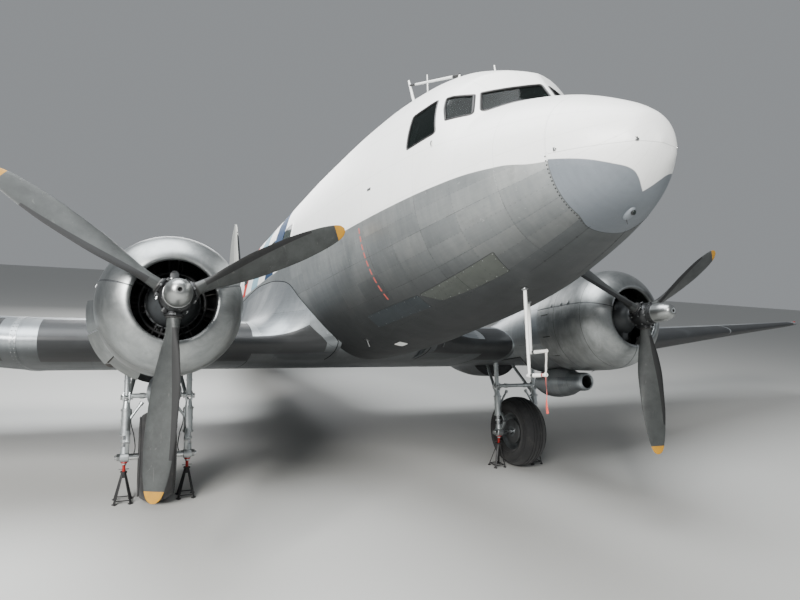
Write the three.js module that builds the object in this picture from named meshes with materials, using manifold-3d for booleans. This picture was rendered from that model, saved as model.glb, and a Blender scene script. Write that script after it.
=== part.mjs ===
// Twin-engined military transport plane with a tail wheel, 1940s type, standing on its three wheels.
// Units: millimetres. The plane is drawn level (x to port, y aft from the nose, z up from the
// cabin's centre line), then the whole group is tipped nose-up until all three tyres touch the floor.
import * as THREE from 'three';
import { mergeVertices } from 'three/addons/utils/BufferGeometryUtils.js';
import Module from 'manifold-3d';

const wasm = await Module();
wasm.setup();

// ---------------------------------------------------------------- driving dimensions
const GAP = 0.3;              // gap between pieces that touch
const CLEAR = 8;              // running clearance of moving panels
const WALL = 80;              // cabin wall: skin, frames and lining together
const ENGINE_X = 2820;        // engine and main wheel distance from the centre line
const PROP_Y = 2850;          // plane of the propeller blades
const THRUST_Z = -800;        // height of the propeller shaft
const PROP_R = 1756;          // propeller radius
const DOME_LEN = 460;         // dome tip ahead of the blade plane
const COWL_R = 686;           // cowling outside radius
const COWL_MOUTH_R = 370;     // cowling mouth radius
const COWL_Y0 = 3000;         // front lip of the cowling
const COWL_Y1 = 4180;         // rear edge of the cowling
const NACELLE_Y1 = 7900;      // rear point of the nacelle
const AXLE_Y = 5706;          // main wheel axle
const AXLE_Z = -2443;
const TYRE_R = 570;           // main tyre
const TYRE_W = 430;
const RIM_R = 300;
const LEG_DX = 375;           // gear leg distance from the wheel's centre plane
const TAIL_AXLE_Y = 16860;
const TAIL_AXLE_Z = -520;
const TAIL_TYRE_R = 280;
const TAIL_TYRE_W = 200;
const WING_X1 = 4352;         // joint between centre section and outer panel
const WING_LE_Y = 4920;       // leading edge of the centre section
const WING_Z = -1030;         // its height
const WING_CHORD = 4318;
const INCIDENCE = 2;          // degrees
const DIHEDRAL = 5;           // degrees, outer panels only
const HALF_SPAN = 14520;
const FLAP_HINGE = 0.83;      // fraction of the chord
const FLAP_END = 0.965;
const FLAP_T = 12;            // flap plate thickness
const FLAP_GAP = 7;           // room above the closed flap
const AILERON_HINGE = 0.76;
const AILERON_X0 = 8650;
const AILERON_X1 = 13250;
const FIN_HINGE_Y = 17950;
const TAIL_HINGE_Y = 17900;
const TAILPLANE_Z = 560;
const FLOOR_Z = -560;         // top of the load floor
const NOSE_SEAM_Y = 520;      // nose cap | cockpit
const COCKPIT_END_Y = 3950;   // cockpit | cabin
const CABIN_END_Y = 13900;    // cabin | rear fuselage
const DOOR_Y0 = 11250, DOOR_YM = 12420, DOOR_Y1 = 13330;
const DOOR_Z0 = -550, DOOR_Z1 = 1060;

// ---------------------------------------------------------------- small geometry tools
const rad = (d) => d * Math.PI / 180;

function toSolid(geometry) {
  let g = geometry.clone();
  for (const name of Object.keys(g.attributes)) if (name !== 'position') g.deleteAttribute(name);
  g = mergeVertices(g, 1e-3);
  const idx = g.index.array, tri = [];
  for (let i = 0; i < idx.length; i += 3) {
    const [a, b, c] = [idx[i], idx[i + 1], idx[i + 2]];
    if (a !== b && b !== c && c !== a) tri.push(a, b, c);
  }
  const pos = g.attributes.position.array;
  let vol = 0;
  for (let i = 0; i < tri.length; i += 3) {
    const [a, b, c] = [tri[i] * 3, tri[i + 1] * 3, tri[i + 2] * 3];
    vol += pos[a] * (pos[b + 1] * pos[c + 2] - pos[b + 2] * pos[c + 1])
         - pos[a + 1] * (pos[b] * pos[c + 2] - pos[b + 2] * pos[c])
         + pos[a + 2] * (pos[b] * pos[c + 1] - pos[b + 1] * pos[c]);
  }
  if (vol < 0) for (let i = 0; i < tri.length; i += 3) [tri[i + 1], tri[i + 2]] = [tri[i + 2], tri[i + 1]];
  return new wasm.Manifold(new wasm.Mesh({
    numProp: 3, vertProperties: new Float32Array(pos), triVerts: new Uint32Array(tri) }));
}

function toGeometry(solid) {
  const m = solid.getMesh();
  const g = new THREE.BufferGeometry();
  const p = new Float32Array(m.numVert * 3);
  for (let i = 0; i < m.numVert; i++) for (let k = 0; k < 3; k++) p[i * 3 + k] = m.vertProperties[i * m.numProp + k];
  g.setAttribute('position', new THREE.BufferAttribute(p, 3));
  g.setIndex(new THREE.BufferAttribute(new Uint32Array(m.triVerts), 1));
  g.computeVertexNormals();
  return g;
}

// closed loft through rings that have the same number of points
function loft(rings) {
  const n = rings[0].length, pos = [], idx = [];
  for (const r of rings) for (const p of r) pos.push(...p);
  for (let i = 0; i + 1 < rings.length; i++) for (let k = 0; k < n; k++) {
    const a = i * n + k, b = i * n + (k + 1) % n;
    idx.push(a, b, b + n, a, b + n, a + n);
  }
  for (const [row, flip] of [[0, true], [rings.length - 1, false]]) {
    const c = [0, 0, 0];
    for (const p of rings[row]) for (let k = 0; k < 3; k++) c[k] += p[k] / n;
    const ci = pos.length / 3;
    pos.push(...c);
    for (let k = 0; k < n; k++) {
      const a = row * n + k, b = row * n + (k + 1) % n;
      if (flip) idx.push(ci, b, a); else idx.push(ci, a, b);
    }
  }
  const g = new THREE.BufferGeometry();
  g.setAttribute('position', new THREE.BufferAttribute(new Float32Array(pos), 3));
  g.setIndex(idx);
  return toSolid(g);
}

function box(x0, x1, y0, y1, z0, z1) {
  const g = new THREE.BoxGeometry(x1 - x0, y1 - y0, z1 - z0);
  g.translate((x0 + x1) / 2, (y0 + y1) / 2, (z0 + z1) / 2);
  return toSolid(g);
}

function rod(a, b, r, r2 = r, seg = 10) {
  const A = new THREE.Vector3(...a), B = new THREE.Vector3(...b), d = B.clone().sub(A);
  const g = new THREE.CylinderGeometry(r2, r, d.length(), seg);
  g.applyQuaternion(new THREE.Quaternion().setFromUnitVectors(new THREE.Vector3(0, 1, 0), d.clone().normalize()));
  g.translate((A.x + B.x) / 2, (A.y + B.y) / 2, (A.z + B.z) / 2);
  return toSolid(g);
}

// profile of [radius, distance along the axis], turned about an axis along X or Y
function turned(profile, axis, seg, at, phase = 0) {
  const g = new THREE.LatheGeometry(profile.map(([r, a]) => new THREE.Vector2(r, a)), seg);
  g.rotateY(phase);
  if (axis === 'x') g.rotateZ(-Math.PI / 2);
  g.translate(...at);
  return toSolid(g);
}

// outline of [a, b] points extruded between two planes; plane is 'xz' (along y), 'yz' (along x) or 'xy' (along z)
function prism(outline, plane, c0, c1) {
  const g = new THREE.ExtrudeGeometry(new THREE.Shape(outline.map(([a, b]) => new THREE.Vector2(a, b))),
    { depth: c1 - c0, bevelEnabled: false, steps: 1 });
  const m = new THREE.Matrix4();
  if (plane === 'xz') m.makeBasis(new THREE.Vector3(1, 0, 0), new THREE.Vector3(0, 0, 1), new THREE.Vector3(0, -1, 0));
  else if (plane === 'yz') m.makeBasis(new THREE.Vector3(0, 1, 0), new THREE.Vector3(0, 0, 1), new THREE.Vector3(1, 0, 0));
  else m.identity();
  g.applyMatrix4(m);
  if (plane === 'xz') g.translate(0, c1, 0);
  if (plane === 'yz') g.translate(c0, 0, 0);
  if (plane === 'xy') g.translate(0, 0, c0);
  return toSolid(g);
}

const join = (...s) => s.reduce((a, b) => a.add(b));
const mirror = (solid) => {
  const m = solid.getMesh(), p = new Float32Array(m.numVert * 3), t = new Uint32Array(m.triVerts);
  for (let i = 0; i < m.numVert; i++) for (let k = 0; k < 3; k++) p[i * 3 + k] = m.vertProperties[i * m.numProp + k] * (k ? 1 : -1);
  for (let i = 0; i < t.length; i += 3) [t[i + 1], t[i + 2]] = [t[i + 2], t[i + 1]];
  return new wasm.Manifold(new wasm.Mesh({ numProp: 3, vertProperties: p, triVerts: t }));
};

// smooth curve through table columns, without overshoot
function curve(table, xc, yc) {
  const X = table.map((r) => r[xc]), Y = table.map((r) => r[yc]), n = X.length, d = [], m = [];
  for (let i = 0; i < n - 1; i++) d.push((Y[i + 1] - Y[i]) / (X[i + 1] - X[i]));
  m.push(d[0]);
  for (let i = 1; i < n - 1; i++) {
    if (d[i - 1] * d[i] <= 0) m.push(0);
    else {
      const h0 = X[i] - X[i - 1], h1 = X[i + 1] - X[i], w1 = 2 * h1 + h0, w2 = h1 + 2 * h0;
      m.push((w1 + w2) / (w1 / d[i - 1] + w2 / d[i]));
    }
  }
  m.push(d[n - 2]);
  return (x) => {
    if (x <= X[0]) return Y[0];
    if (x >= X[n - 1]) return Y[n - 1];
    let i = 0;
    while (x > X[i + 1]) i++;
    const h = X[i + 1] - X[i], t = (x - X[i]) / h, t2 = t * t, t3 = t2 * t;
    return (2 * t3 - 3 * t2 + 1) * Y[i] + (t3 - 2 * t2 + t) * h * m[i] + (-2 * t3 + 3 * t2) * Y[i + 1] + (t3 - t2) * h * m[i + 1];
  };
}

// ---------------------------------------------------------------- fuselage sections
// columns: station y, half width, height of the widest line, top, bottom
const HULL = [
  [0, 0, -42, -42, -42],
  [40, 170, -20, 160, -141],
  [120, 268, 4, 257, -249],
  [300, 428, 28, 389, -400],
  [600, 603, 60, 556, -552],
  [1000, 753, 97, 707, -701],
  [1500, 889, 139, 850, -852],
  [2000, 988, 172, 1017, -956],
  [2850, 1099, 190, 1240, -1062],
  [4000, 1190, 170, 1440, -1190],
  [5000, 1250, 150, 1495, -1240],
  [6500, 1270, 140, 1505, -1262],
  [8500, 1258, 150, 1495, -1245],
  [10000, 1200, 165, 1455, -1150],
  [12000, 1030, 210, 1330, -900],
  [14000, 775, 300, 1150, -530],
  [16000, 480, 390, 975, -130],
  [17200, 270, 470, 860, 110],
  [18000, 110, 510, 790, 270],
  [18300, 60, 520, 715, 330],
];
// cockpit roof: columns station y, top
const ROOF = [[1000, 987], [1200, 1065], [1450, 1201], [1800, 1359], [2200, 1458], [2850, 1535], [3600, 1560], [4500, 1545], [5500, 1520], [6500, 1505]];
const SCREEN_Y = 985;        // foot of the windscreen on the centre line
const SCREEN_RUN = 240;      // its length along y
const SCREEN_SWEEP = 0.42;   // how far it is swept back for each unit of x
const SECTION_POWER = 2.15;

const hullW = curve(HULL, 0, 1), hullM = curve(HULL, 0, 2), hullT = curve(HULL, 0, 3), hullB = curve(HULL, 0, 4), roofT = curve(ROOF, 0, 1);

function hullRing(y, inset = 0, n = 28) {
  const ring = [], e = 2 / SECTION_POWER;
  const yy = Math.min(Math.max(y, 0), 18300);
  const w = Math.max(hullW(yy) - inset, 1), m = hullM(yy), b = hullB(yy) + inset;
  for (let k = 0; k < n; k++) {
    const a = (k / n) * 2 * Math.PI, c = Math.cos(a), s = Math.sin(a);
    const x = w * Math.sign(c) * Math.abs(c) ** e;
    let t = hullT(yy);
    if (y > SCREEN_Y - 1) {
      const u = Math.min(Math.max((y - inset * 0.9 - SCREEN_Y - SCREEN_SWEEP * Math.abs(x)) / SCREEN_RUN, 0), 1);
      t = t + (Math.max(roofT(yy), t) - t) * u;
    }
    t -= inset;
    ring.push([x, y, s >= 0 ? m + (t - m) * Math.abs(s) ** e : m - (m - b) * Math.abs(s) ** e]);
  }
  return ring;
}
const STATIONS = [3, 15, 45, 110, 210, 370, 600, 800, 985, 1065, 1145, 1225, 1320, 1430, 1560, 1760, 2050, 2600,
  3200, 3950, 5000, 6500, 8500, 10000, 12000, 13900, 15200, 16500, 17400, 17850];
function hull(y0, y1, inset = 0) {
  const ys = [y0, ...STATIONS.filter((y) => y > y0 + 12 && y < y1 - 12), y1];
  return loft(ys.map((y) => hullRing(y, inset)));
}

// ---------------------------------------------------------------- wing sections
// four-digit section: upper side from the trailing edge forward, then the lower side aft
function section(thick, camber = 0.02, n = 9) {
  const pts = [], yt = (u) => 5 * thick * (0.2969 * Math.sqrt(u) - 0.126 * u - 0.3516 * u ** 2 + 0.2843 * u ** 3 - 0.1036 * u ** 4);
  const yc = (u) => (u < 0.4 ? camber / 0.16 * (0.8 * u - u * u) : camber / 0.36 * (0.2 + 0.8 * u - u * u));
  for (let i = 0; i <= n; i++) { const u = (1 + Math.cos(Math.PI * i / n)) / 2; pts.push([u, yc(u) + yt(u) + 0.0012 * u]); }
  for (let i = n - 1; i >= 0; i--) { const u = (1 + Math.cos(Math.PI * i / n)) / 2; pts.push([u, yc(u) - yt(u) - 0.0012 * u]); }
  return pts;
}
// one wing ring at span x; grow makes it larger all round
function wingRing(x, yLe, zLe, chord, thick, grow = 0, camber = 0.02) {
  const ci = Math.cos(rad(INCIDENCE)), si = Math.sin(rad(INCIDENCE));
  return section(thick, camber).map(([u, v]) => {
    const a = u * (chord + 2 * grow) - grow, b = v * chord + Math.sign(v || 1) * grow;
    return [x, yLe + a * ci + b * si, zLe - a * si + b * ci];
  });
}
// outer panel: columns span fraction, leading edge offset aft, chord, thickness ratio
const OUTER = [
  [0.0, 0, 4318, 0.15],
  [0.5, 1390, 2990, 0.115],
  [0.9, 2500, 1920, 0.082],
  [0.965, 2780, 1540, 0.072],
  [0.99, 3060, 1080, 0.06],
  [1.0, 3420, 420, 0.05],
];
const outerX = (f) => WING_X1 + f * (HALF_SPAN - WING_X1);
const outerZ = (f) => WING_Z + Math.tan(rad(DIHEDRAL)) * (outerX(f) - WING_X1);
const oLe = curve(OUTER, 0, 1), oCh = curve(OUTER, 0, 2), oTh = curve(OUTER, 0, 3);
const lin = (table, c, f) => { let i = 0; while (i < table.length - 2 && f > table[i + 1][0]) i++; const a = table[i], b = table[i + 1]; return a[c] + (b[c] - a[c]) * (f - a[0]) / (b[0] - a[0]); };
// a point on the wing at span x, chord fraction u: on the chord line
function wingPoint(x, u, dz = 0) {
  let yLe = WING_LE_Y, z = WING_Z, ch = WING_CHORD;
  if (x > WING_X1) { const f = (x - WING_X1) / (HALF_SPAN - WING_X1); yLe += lin(OUTER, 1, f); z = outerZ(f); ch = lin(OUTER, 2, f); }
  return [x, yLe + u * ch * Math.cos(rad(INCIDENCE)), z - u * ch * Math.sin(rad(INCIDENCE)) + dz];
}
const wingCentreAt = (x0, x1, grow = 0) => loft([x0, x1].map((x) => wingRing(x, WING_LE_Y, WING_Z, WING_CHORD, 0.15, grow)));
const wingOuter = () => loft([0.0003, ...OUTER.slice(1).map((r) => r[0])].map((f) => wingRing(outerX(f), WING_LE_Y + lin(OUTER, 1, f), outerZ(f), lin(OUTER, 2, f), lin(OUTER, 3, f))));

// ---------------------------------------------------------------- scene graph
const part = new THREE.Group();
const level = new THREE.Group();      // the plane drawn level
const standing = new THREE.Group();   // pieces that stand upright on the floor
part.add(level, standing);
const MATERIAL = {
  white: { color: 0xf2f3f1, roughness: 0.4, metalness: 0.0 },
  bare_metal: { color: 0xa9b1b6, roughness: 0.35, metalness: 0.9 },
  cowl_metal: { color: 0xb9bec0, roughness: 0.3, metalness: 0.9 },
  dark_metal: { color: 0x45484a, roughness: 0.6, metalness: 0.6 },
  blade: { color: 0x7d8479, roughness: 0.6, metalness: 0.4 },
  dome: { color: 0xcfd3d4, roughness: 0.15, metalness: 1.0 },
  glass: { color: 0x26302f, roughness: 0.08, metalness: 0.0 },
  cabin_green: { color: 0x6f7a5c, roughness: 0.7, metalness: 0.1 },
  seat: { color: 0x3b3a35, roughness: 0.85, metalness: 0.0 },
  rubber: { color: 0x232323, roughness: 0.9, metalness: 0.0 },
  gear_metal: { color: 0x9aa0a2, roughness: 0.45, metalness: 0.8 },
  red_paint: { color: 0xa32620, roughness: 0.5, metalness: 0.2 },
};
function add(name, solid, mat, group = level) {
  const m = MATERIAL[mat];
  const mesh = new THREE.Mesh(toGeometry(solid), new THREE.MeshStandardMaterial({ name: mat, ...m }));
  mesh.name = name;
  group.add(mesh);
  return mesh;
}

// ---------------------------------------------------------------- fuselage
const wingCut = wingCentreAt(-1500, 1500, GAP);
add('nose_cap', hull(3, NOSE_SEAM_Y), 'white');

const doorHole = (grow) => box(0, 2000, DOOR_Y0 - grow, DOOR_Y1 + grow, DOOR_Z0 - grow, DOOR_Z1 + grow);
let cockpit = hull(NOSE_SEAM_Y + GAP, COCKPIT_END_Y).subtract(hull(1110, COCKPIT_END_Y + 100, WALL));
// windows: columns outline in a plane seen from the side or the front
const SIDE_PANE = [[1561, 521], [1957, 498], [2005, 865], [1697, 912]];             // y, z
const QUARTER_PANE = [[1290, 604], [1503, 615], [1601, 884], [1374, 840]];          // y, z
const FRONT_PANE = [[28, 738], [600, 616], [524, 853], [28, 930]];                   // x, z
const paneCuts = join(prism(SIDE_PANE, 'yz', 500, 1400), prism(QUARTER_PANE, 'yz', 480, 1400), prism(FRONT_PANE, 'xz', 900, 1560));
const paneCutsBoth = paneCuts.add(mirror(paneCuts));
// glazing: one thin band inside the wall, behind the window openings
const bandZone = (g) => box(-1300, 1300, 1120 - g, 2230 + g, 440 - g, 985 + g);
const bandOf = (g) => hull(1000, 2400, 34 - g).subtract(hull(1000 - 60, 2460, 46 + g)).intersect(bandZone(g));
const glazing = bandOf(0);
cockpit = cockpit.subtract(bandOf(GAP)).subtract(paneCutsBoth);
add('cockpit_section', cockpit, 'white');
add('cockpit_glazing', glazing, 'glass');

let cabin = hull(COCKPIT_END_Y + GAP, CABIN_END_Y).subtract(hull(COCKPIT_END_Y - 50, CABIN_END_Y + 50, WALL));
const doorShell = cabin;
cabin = cabin.subtract(wingCut).subtract(doorHole(0));
add('cabin_section', cabin, 'white');
// the doors' meeting edges are stepped: a thin outer lip, and an inner part set back so that each swings past the other
const DOOR_LIP = 12, DOOR_STEP = 30;
const lipZone = hull(10000, CABIN_END_Y + 50, DOOR_LIP);
const doorOf = (y0, y1, back0, back1) => doorShell.intersect(box(0, 2000, y0, y1, DOOR_Z0 + CLEAR, DOOR_Z1 - CLEAR)).subtract(lipZone.intersect(box(0, 2000, y0 - 50, y0 + back0, -2000, 2000)))
  .subtract(lipZone.intersect(box(0, 2000, y1 - back1, y1 + 50, -2000, 2000)));
add('cargo_door_front', doorOf(DOOR_Y0 + CLEAR, DOOR_YM - 5, 0, DOOR_STEP), 'white');
add('cargo_door_rear', doorOf(DOOR_YM + 5, DOOR_Y1 - CLEAR, DOOR_STEP, 0), 'white');

// tailplane: columns span x, leading edge y, thickness; it ends at the elevator's hinge
const TAILPLANE = [[60, 15950, 200], [1200, 16330, 170], [2600, 16800, 120], [3600, 17180, 80], [3900, 17420, 56], [4040, 17700, 30]];
const tailRing = ([x, yl, t], z = TAILPLANE_Z, y1 = TAIL_HINGE_Y - 70) => {
  const L = y1 - yl;
  return [[0, 0], [0.05, 0.3], [0.2, 0.47], [0.5, 0.5], [0.8, 0.42], [1, 0.36], [1, -0.36], [0.8, -0.42], [0.5, -0.5], [0.2, -0.47], [0.05, -0.3]]
    .map(([u, v]) => [x, yl + u * L, z + v * t]);
};
const rearHull = hull(CABIN_END_Y + GAP, 17850);
const hullGrown = hull(14500, 17852, -1.5);
const tailplane = loft(TAILPLANE.map((r) => tailRing(r))).subtract(hullGrown);
add('rear_fuselage', rearHull, 'white');
add('tailplane_left', tailplane, 'bare_metal');
add('tailplane_right', mirror(tailplane), 'bare_metal');
// elevator: columns span x, trailing edge y, thickness at the hinge
const ELEVATOR = [[330, 18180, 120], [420, 18560, 116], [1500, 18640, 100], [2900, 18560, 76], [3700, 18360, 50], [3980, 18120, 30]];
const elevator = loft(ELEVATOR.map(([x, yt, t]) => {
  const y0 = TAIL_HINGE_Y - 34, L = yt - y0;
  return [[0, 0.30], [0.06, 0.46], [0.3, 0.36], [1, 0.05], [1, -0.05], [0.3, -0.36], [0.06, -0.46], [0, -0.30]].map(([u, v]) => [x, y0 + u * L, TAILPLANE_Z + v * t]);
}));
add('elevator_left', elevator, 'bare_metal');
add('elevator_right', mirror(elevator), 'bare_metal');
// fin: columns height z, leading edge y, half thickness
const FIN = [[700, 15350, 95], [1200, 15900, 88], [2200, 16640, 70], [3200, 17180, 50], [3750, 17480, 36], [4020, 17680, 22]];
const fin = loft(FIN.map(([z, yl, t]) => {
  const y1 = FIN_HINGE_Y - 75, L = y1 - yl;
  return [[0, 0], [0.06, 0.5], [0.3, 1], [0.7, 0.95], [1, 0.8], [1, -0.8], [0.7, -0.95], [0.3, -1], [0.06, -0.5]].map(([u, v]) => [v * t, yl + u * L, z]);
})).subtract(hullGrown);
add('fin', fin, 'white');
// rudder: columns height z, trailing edge y, half thickness at the hinge
const RUDDER = [[330, 18420, 40], [500, 19080, 62], [1100, 19420, 72], [1900, 19420, 64], [2800, 19220, 50], [3500, 18860, 36], [3900, 18500, 24], [4090, 18150, 14]];
const rudder = loft(RUDDER.map(([z, yt, t]) => {
  const y0 = FIN_HINGE_Y - 30, L = yt - y0;
  return [[0, 0.5], [0.06, 0.8], [0.3, 0.7], [1, 0.08], [1, -0.08], [0.3, -0.7], [0.06, -0.8], [0, -0.5]].map(([u, v]) => [v * t, y0 + u * L, z]);
}));
add('rudder', rudder, 'white');

// ---------------------------------------------------------------- inside
const inside = hull(1110, CABIN_END_Y + 50, WALL + GAP);   // the hollow of the fuselage, less a small gap
const floorBody = box(-1300, 1300, 1300, 13700, FLOOR_Z - 45, FLOOR_Z).intersect(inside);
add('load_floor', floorBody.subtract(wingCut), 'cabin_green');
const bulkheadHole = box(-320, 320, 3500, 4500, FLOOR_Z + 60, FLOOR_Z + 1760);
add('cockpit_bulkhead', inside.intersect(box(-1400, 1400, COCKPIT_END_Y - 60, COCKPIT_END_Y - 20, -1500, 1600)).subtract(bulkheadHole).subtract(box(-1300, 1300, 3800, 4000, -1300, FLOOR_Z + GAP)), 'cabin_green');
add('rear_bulkhead', inside.intersect(box(-1400, 1400, 13350, 13390, -1500, 1600)).subtract(box(-1300, 1300, 13000, 13600, -1300, FLOOR_Z + GAP)), 'cabin_green');
add('instrument_panel', join(box(-700, 700, 1440, 1500, 0, 560), box(-170, 170, 1480, 2000, FLOOR_Z + GAP, 40)).intersect(inside), 'dark_metal');
const SEAT_Z = FLOOR_Z + 420;
const seatAt = (x) => join(box(x - 230, x + 230, 2180, 2640, SEAT_Z - 100, SEAT_Z), box(x - 230, x + 230, 2600, 2700, SEAT_Z - 100, SEAT_Z + 650),
  box(x - 150, x + 150, 2300, 2560, FLOOR_Z + GAP, SEAT_Z - 60), box(x - 250, x - 215, 2250, 2660, SEAT_Z - 100, SEAT_Z + 170), box(x + 215, x + 250, 2250, 2660, SEAT_Z - 100, SEAT_Z + 170));
add('pilot_seat', seatAt(470), 'seat');
add('copilot_seat', seatAt(-470), 'seat');
// folding bench along each side of the load space
const BENCH_Z = FLOOR_Z + 420;
const bench = () => join(box(600, 960, 5200, 10600, BENCH_Z - 30, BENCH_Z), box(930, 960, 5200, 10600, BENCH_Z - 5, BENCH_Z + 380),
  ...[5400, 6700, 8000, 9300, 10400].map((y) => box(620, 655, y, y + 40, FLOOR_Z + GAP, BENCH_Z - 10)));
add('bench_left', bench(), 'cabin_green');
add('bench_right', mirror(bench()), 'cabin_green');

// ---------------------------------------------------------------- wing
// plan-view zone between two spans and two chord fractions
function zone(x0, x1, u0, u1, side = 0, fore = 0) {
  const P = (x, u, d) => { const p = wingPoint(x, u); return [p[0], p[1] + d]; };
  return prism([P(x0 - side, u0, -fore), P(x1 + side, u0, -fore), P(x1 + side, u1, fore), P(x0 - side, u1, fore)], 'xy', -1800, 400);
}
const lift = (solid, dz) => { const g = toGeometry(solid); g.translate(0, 0, dz); return toSolid(g); };
// split flap under the trailing edge: returns [wing with its recess, flap]
function splitFlap(wing, x0, x1) {
  const flap = wing.intersect(zone(x0, x1, FLAP_HINGE, FLAP_END)).subtract(lift(wing, FLAP_T));
  const room = zone(x0, x1, FLAP_HINGE, FLAP_END, CLEAR, CLEAR).subtract(lift(wing, FLAP_T + FLAP_GAP));
  return [wing.subtract(room), flap];
}
const FLAP_INNER = [1420, 4270];
const FLAP_OUTER = [4440, 8560];
let centre = wingCentreAt(-WING_X1, WING_X1);
let [half, flapInner] = splitFlap(wingCentreAt(0, WING_X1), ...FLAP_INNER);
centre = half.add(mirror(half));
// fairing between the wing and the fuselage's side. Columns: station y, height where it meets the side
const FAIRING_TOP = [[4640, -960], [4660, -800], [4729, -661], [4959, -410], [5189, -222], [5650, -100], [6250, -16], [7360, 50], [8870, 0], [9500, -190], [10000, -450], [10300, -700]];
// columns: station y, height of its lower side at the root
const FAIRING_LOW = [[4640, -960], [4690, -1070], [4850, -1165], [5100, -1222], [5352, -1252], [6215, -1306], [7000, -1298], [8000, -1258], [9000, -1190], [9600, -1060], [10300, -720]];
const FAIRING_X = 1760;       // where it runs out on the wing
const fairTop = curve(FAIRING_TOP, 0, 1), fairLow = curve(FAIRING_LOW, 0, 1);
// half width of the fuselage at station y and height z
function hullHalf(y, z) {
  const m = hullM(y), v = z >= m ? (z - m) / (Math.max(hullT(y), roofT(y)) - m) : (m - z) / (m - hullB(y));
  return v >= 1 ? 0 : hullW(y) * (1 - v ** SECTION_POWER) ** (1 / SECTION_POWER);
}
const fairingRings = [-0.12, 0, 0.04, 0.1, 0.18, 0.28, 0.42, 0.6, 0.8, 1].map((t) => {
  const wing = wingRing(0, WING_LE_Y, WING_Z, WING_CHORD, 0.15, t > 0.9 ? -3 : -1), n = (wing.length + 1) / 2, g = t <= 0 ? 0 : 1 - (1 - t) ** 2.8;
  return section(0.15).map(([u], k) => {
    const y = FAIRING_TOP[0][0] + u * (FAIRING_TOP[FAIRING_TOP.length - 1][0] - FAIRING_TOP[0][0]), z = k < n ? fairTop(y) : fairLow(y);
    const x = Math.max(hullHalf(y, z), 700);
    return [x + t * (FAIRING_X - x), y + g * (wing[k][1] - y), z + g * (wing[k][2] - z)];
  });
});
const hullSide = hull(COCKPIT_END_Y + GAP, CABIN_END_Y, -1.5);
const flapRoom = prism([[8490, -1800], [9096, -1800], [9096, -1160], [8490, -1108]], 'yz', FLAP_INNER[0] - CLEAR, 1900);
const fairing = loft(fairingRings).subtract(hullSide).subtract(flapRoom);
centre = centre.add(fairing).add(mirror(fairing));
add('wing_centre', centre, 'bare_metal');
let [outer, flapOuter] = splitFlap(wingOuter(), ...FLAP_OUTER);
// aileron: its nose is a cone frustum about the hinge line, turning in a slightly larger groove
const halfThick = (x, u) => { const f = (x - WING_X1) / (HALF_SPAN - WING_X1), t = lin(OUTER, 3, f); return 5 * t * (0.2969 * Math.sqrt(u) - 0.126 * u - 0.3516 * u ** 2 + 0.2843 * u ** 3 - 0.1036 * u ** 4) * lin(OUTER, 2, f); };
const camberAt = (x, u) => { const f = (x - WING_X1) / (HALF_SPAN - WING_X1); return 0.02 / 0.36 * (0.2 + 0.8 * u - u * u) * lin(OUTER, 2, f); };
const aileronHinge = (x) => wingPoint(x, AILERON_HINGE, camberAt(x, AILERON_HINGE));
const hingeRod = (x0, x1, grow) => rod(aileronHinge(x0), aileronHinge(x1), halfThick(x0, AILERON_HINGE) + grow, halfThick(x1, AILERON_HINGE) + grow, 16);
// box along the hinge line, its ends square to it, reaching fore and aft of it, with room at the ends
function hingeBox(fore, aft, side) {
  const A = new THREE.Vector3(...aileronHinge(AILERON_X0)), along = new THREE.Vector3(...aileronHinge(AILERON_X1)).sub(A), length = along.length();
  along.normalize();
  const back = new THREE.Vector3(0, 1, 0).addScaledVector(along, -along.y).normalize();
  const g = new THREE.BoxGeometry(length + 2 * side, fore + aft, 900);
  g.translate(length / 2, (aft - fore) / 2, 0);
  g.applyMatrix4(new THREE.Matrix4().makeBasis(along, back, along.clone().cross(back)).setPosition(A));
  return toSolid(g);
}
const aileron = outer.intersect(hingeBox(0, 1100, 0)).add(outer.intersect(hingeRod(AILERON_X0 - 60, AILERON_X1 + 60, -2).intersect(hingeBox(600, 1100, 0))));
outer = outer.subtract(hingeBox(0, 1100, CLEAR)).subtract(hingeRod(AILERON_X0 - 60, AILERON_X1 + 60, 13).intersect(hingeBox(600, 1100, CLEAR)));
for (const [side, f] of [['left', (s) => s], ['right', mirror]]) {
  add('wing_' + side, f(outer), 'bare_metal');
  add('flap_inner_' + side, f(flapInner), 'bare_metal');
  add('flap_outer_' + side, f(flapOuter), 'bare_metal');
  add('aileron_' + side, f(aileron), 'bare_metal');
}

// ---------------------------------------------------------------- engines, propellers, nacelles (port side, then mirrored)
function enginePieces() {
  const X = ENGINE_X, Z = THRUST_Z, out = {};
  out.engine_cowl = turned([[COWL_MOUTH_R, COWL_Y0 + 25], [COWL_MOUTH_R + 38, COWL_Y0], [490, COWL_Y0 + 40], [558, COWL_Y0 + 100], [612, COWL_Y0 + 172], [653, COWL_Y0 + 270], [677, COWL_Y0 + 390], [COWL_R, COWL_Y0 + 520],
    [COWL_R, COWL_Y1 - 250], [672, COWL_Y1], [662, COWL_Y1], [672, COWL_Y1 - 260], [670, COWL_Y0 + 520], [646, COWL_Y0 + 380], [594, COWL_Y0 + 210], [480, COWL_Y0 + 96], [COWL_MOUTH_R + 24, COWL_Y0 + 58], [COWL_MOUTH_R, COWL_Y0 + 25]], 'y', 28, [X, 0, Z]);
  out.engine = turned([[0, 2990], [110, 2990], [150, 3080], [240, 3220], [250, 3380], [610, 3420], [610, 4020], [380, 4060], [380, 4340], [0, 4340]], 'y', 20, [X, 0, Z]);
  return out;
}
const eng = enginePieces();
for (const [side, f] of [['left', (s) => s], ['right', mirror]]) {
  add('engine_cowl_' + side, f(eng.engine_cowl), 'cowl_metal');
  add('engine_' + side, f(eng.engine), 'dark_metal');
}

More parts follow.
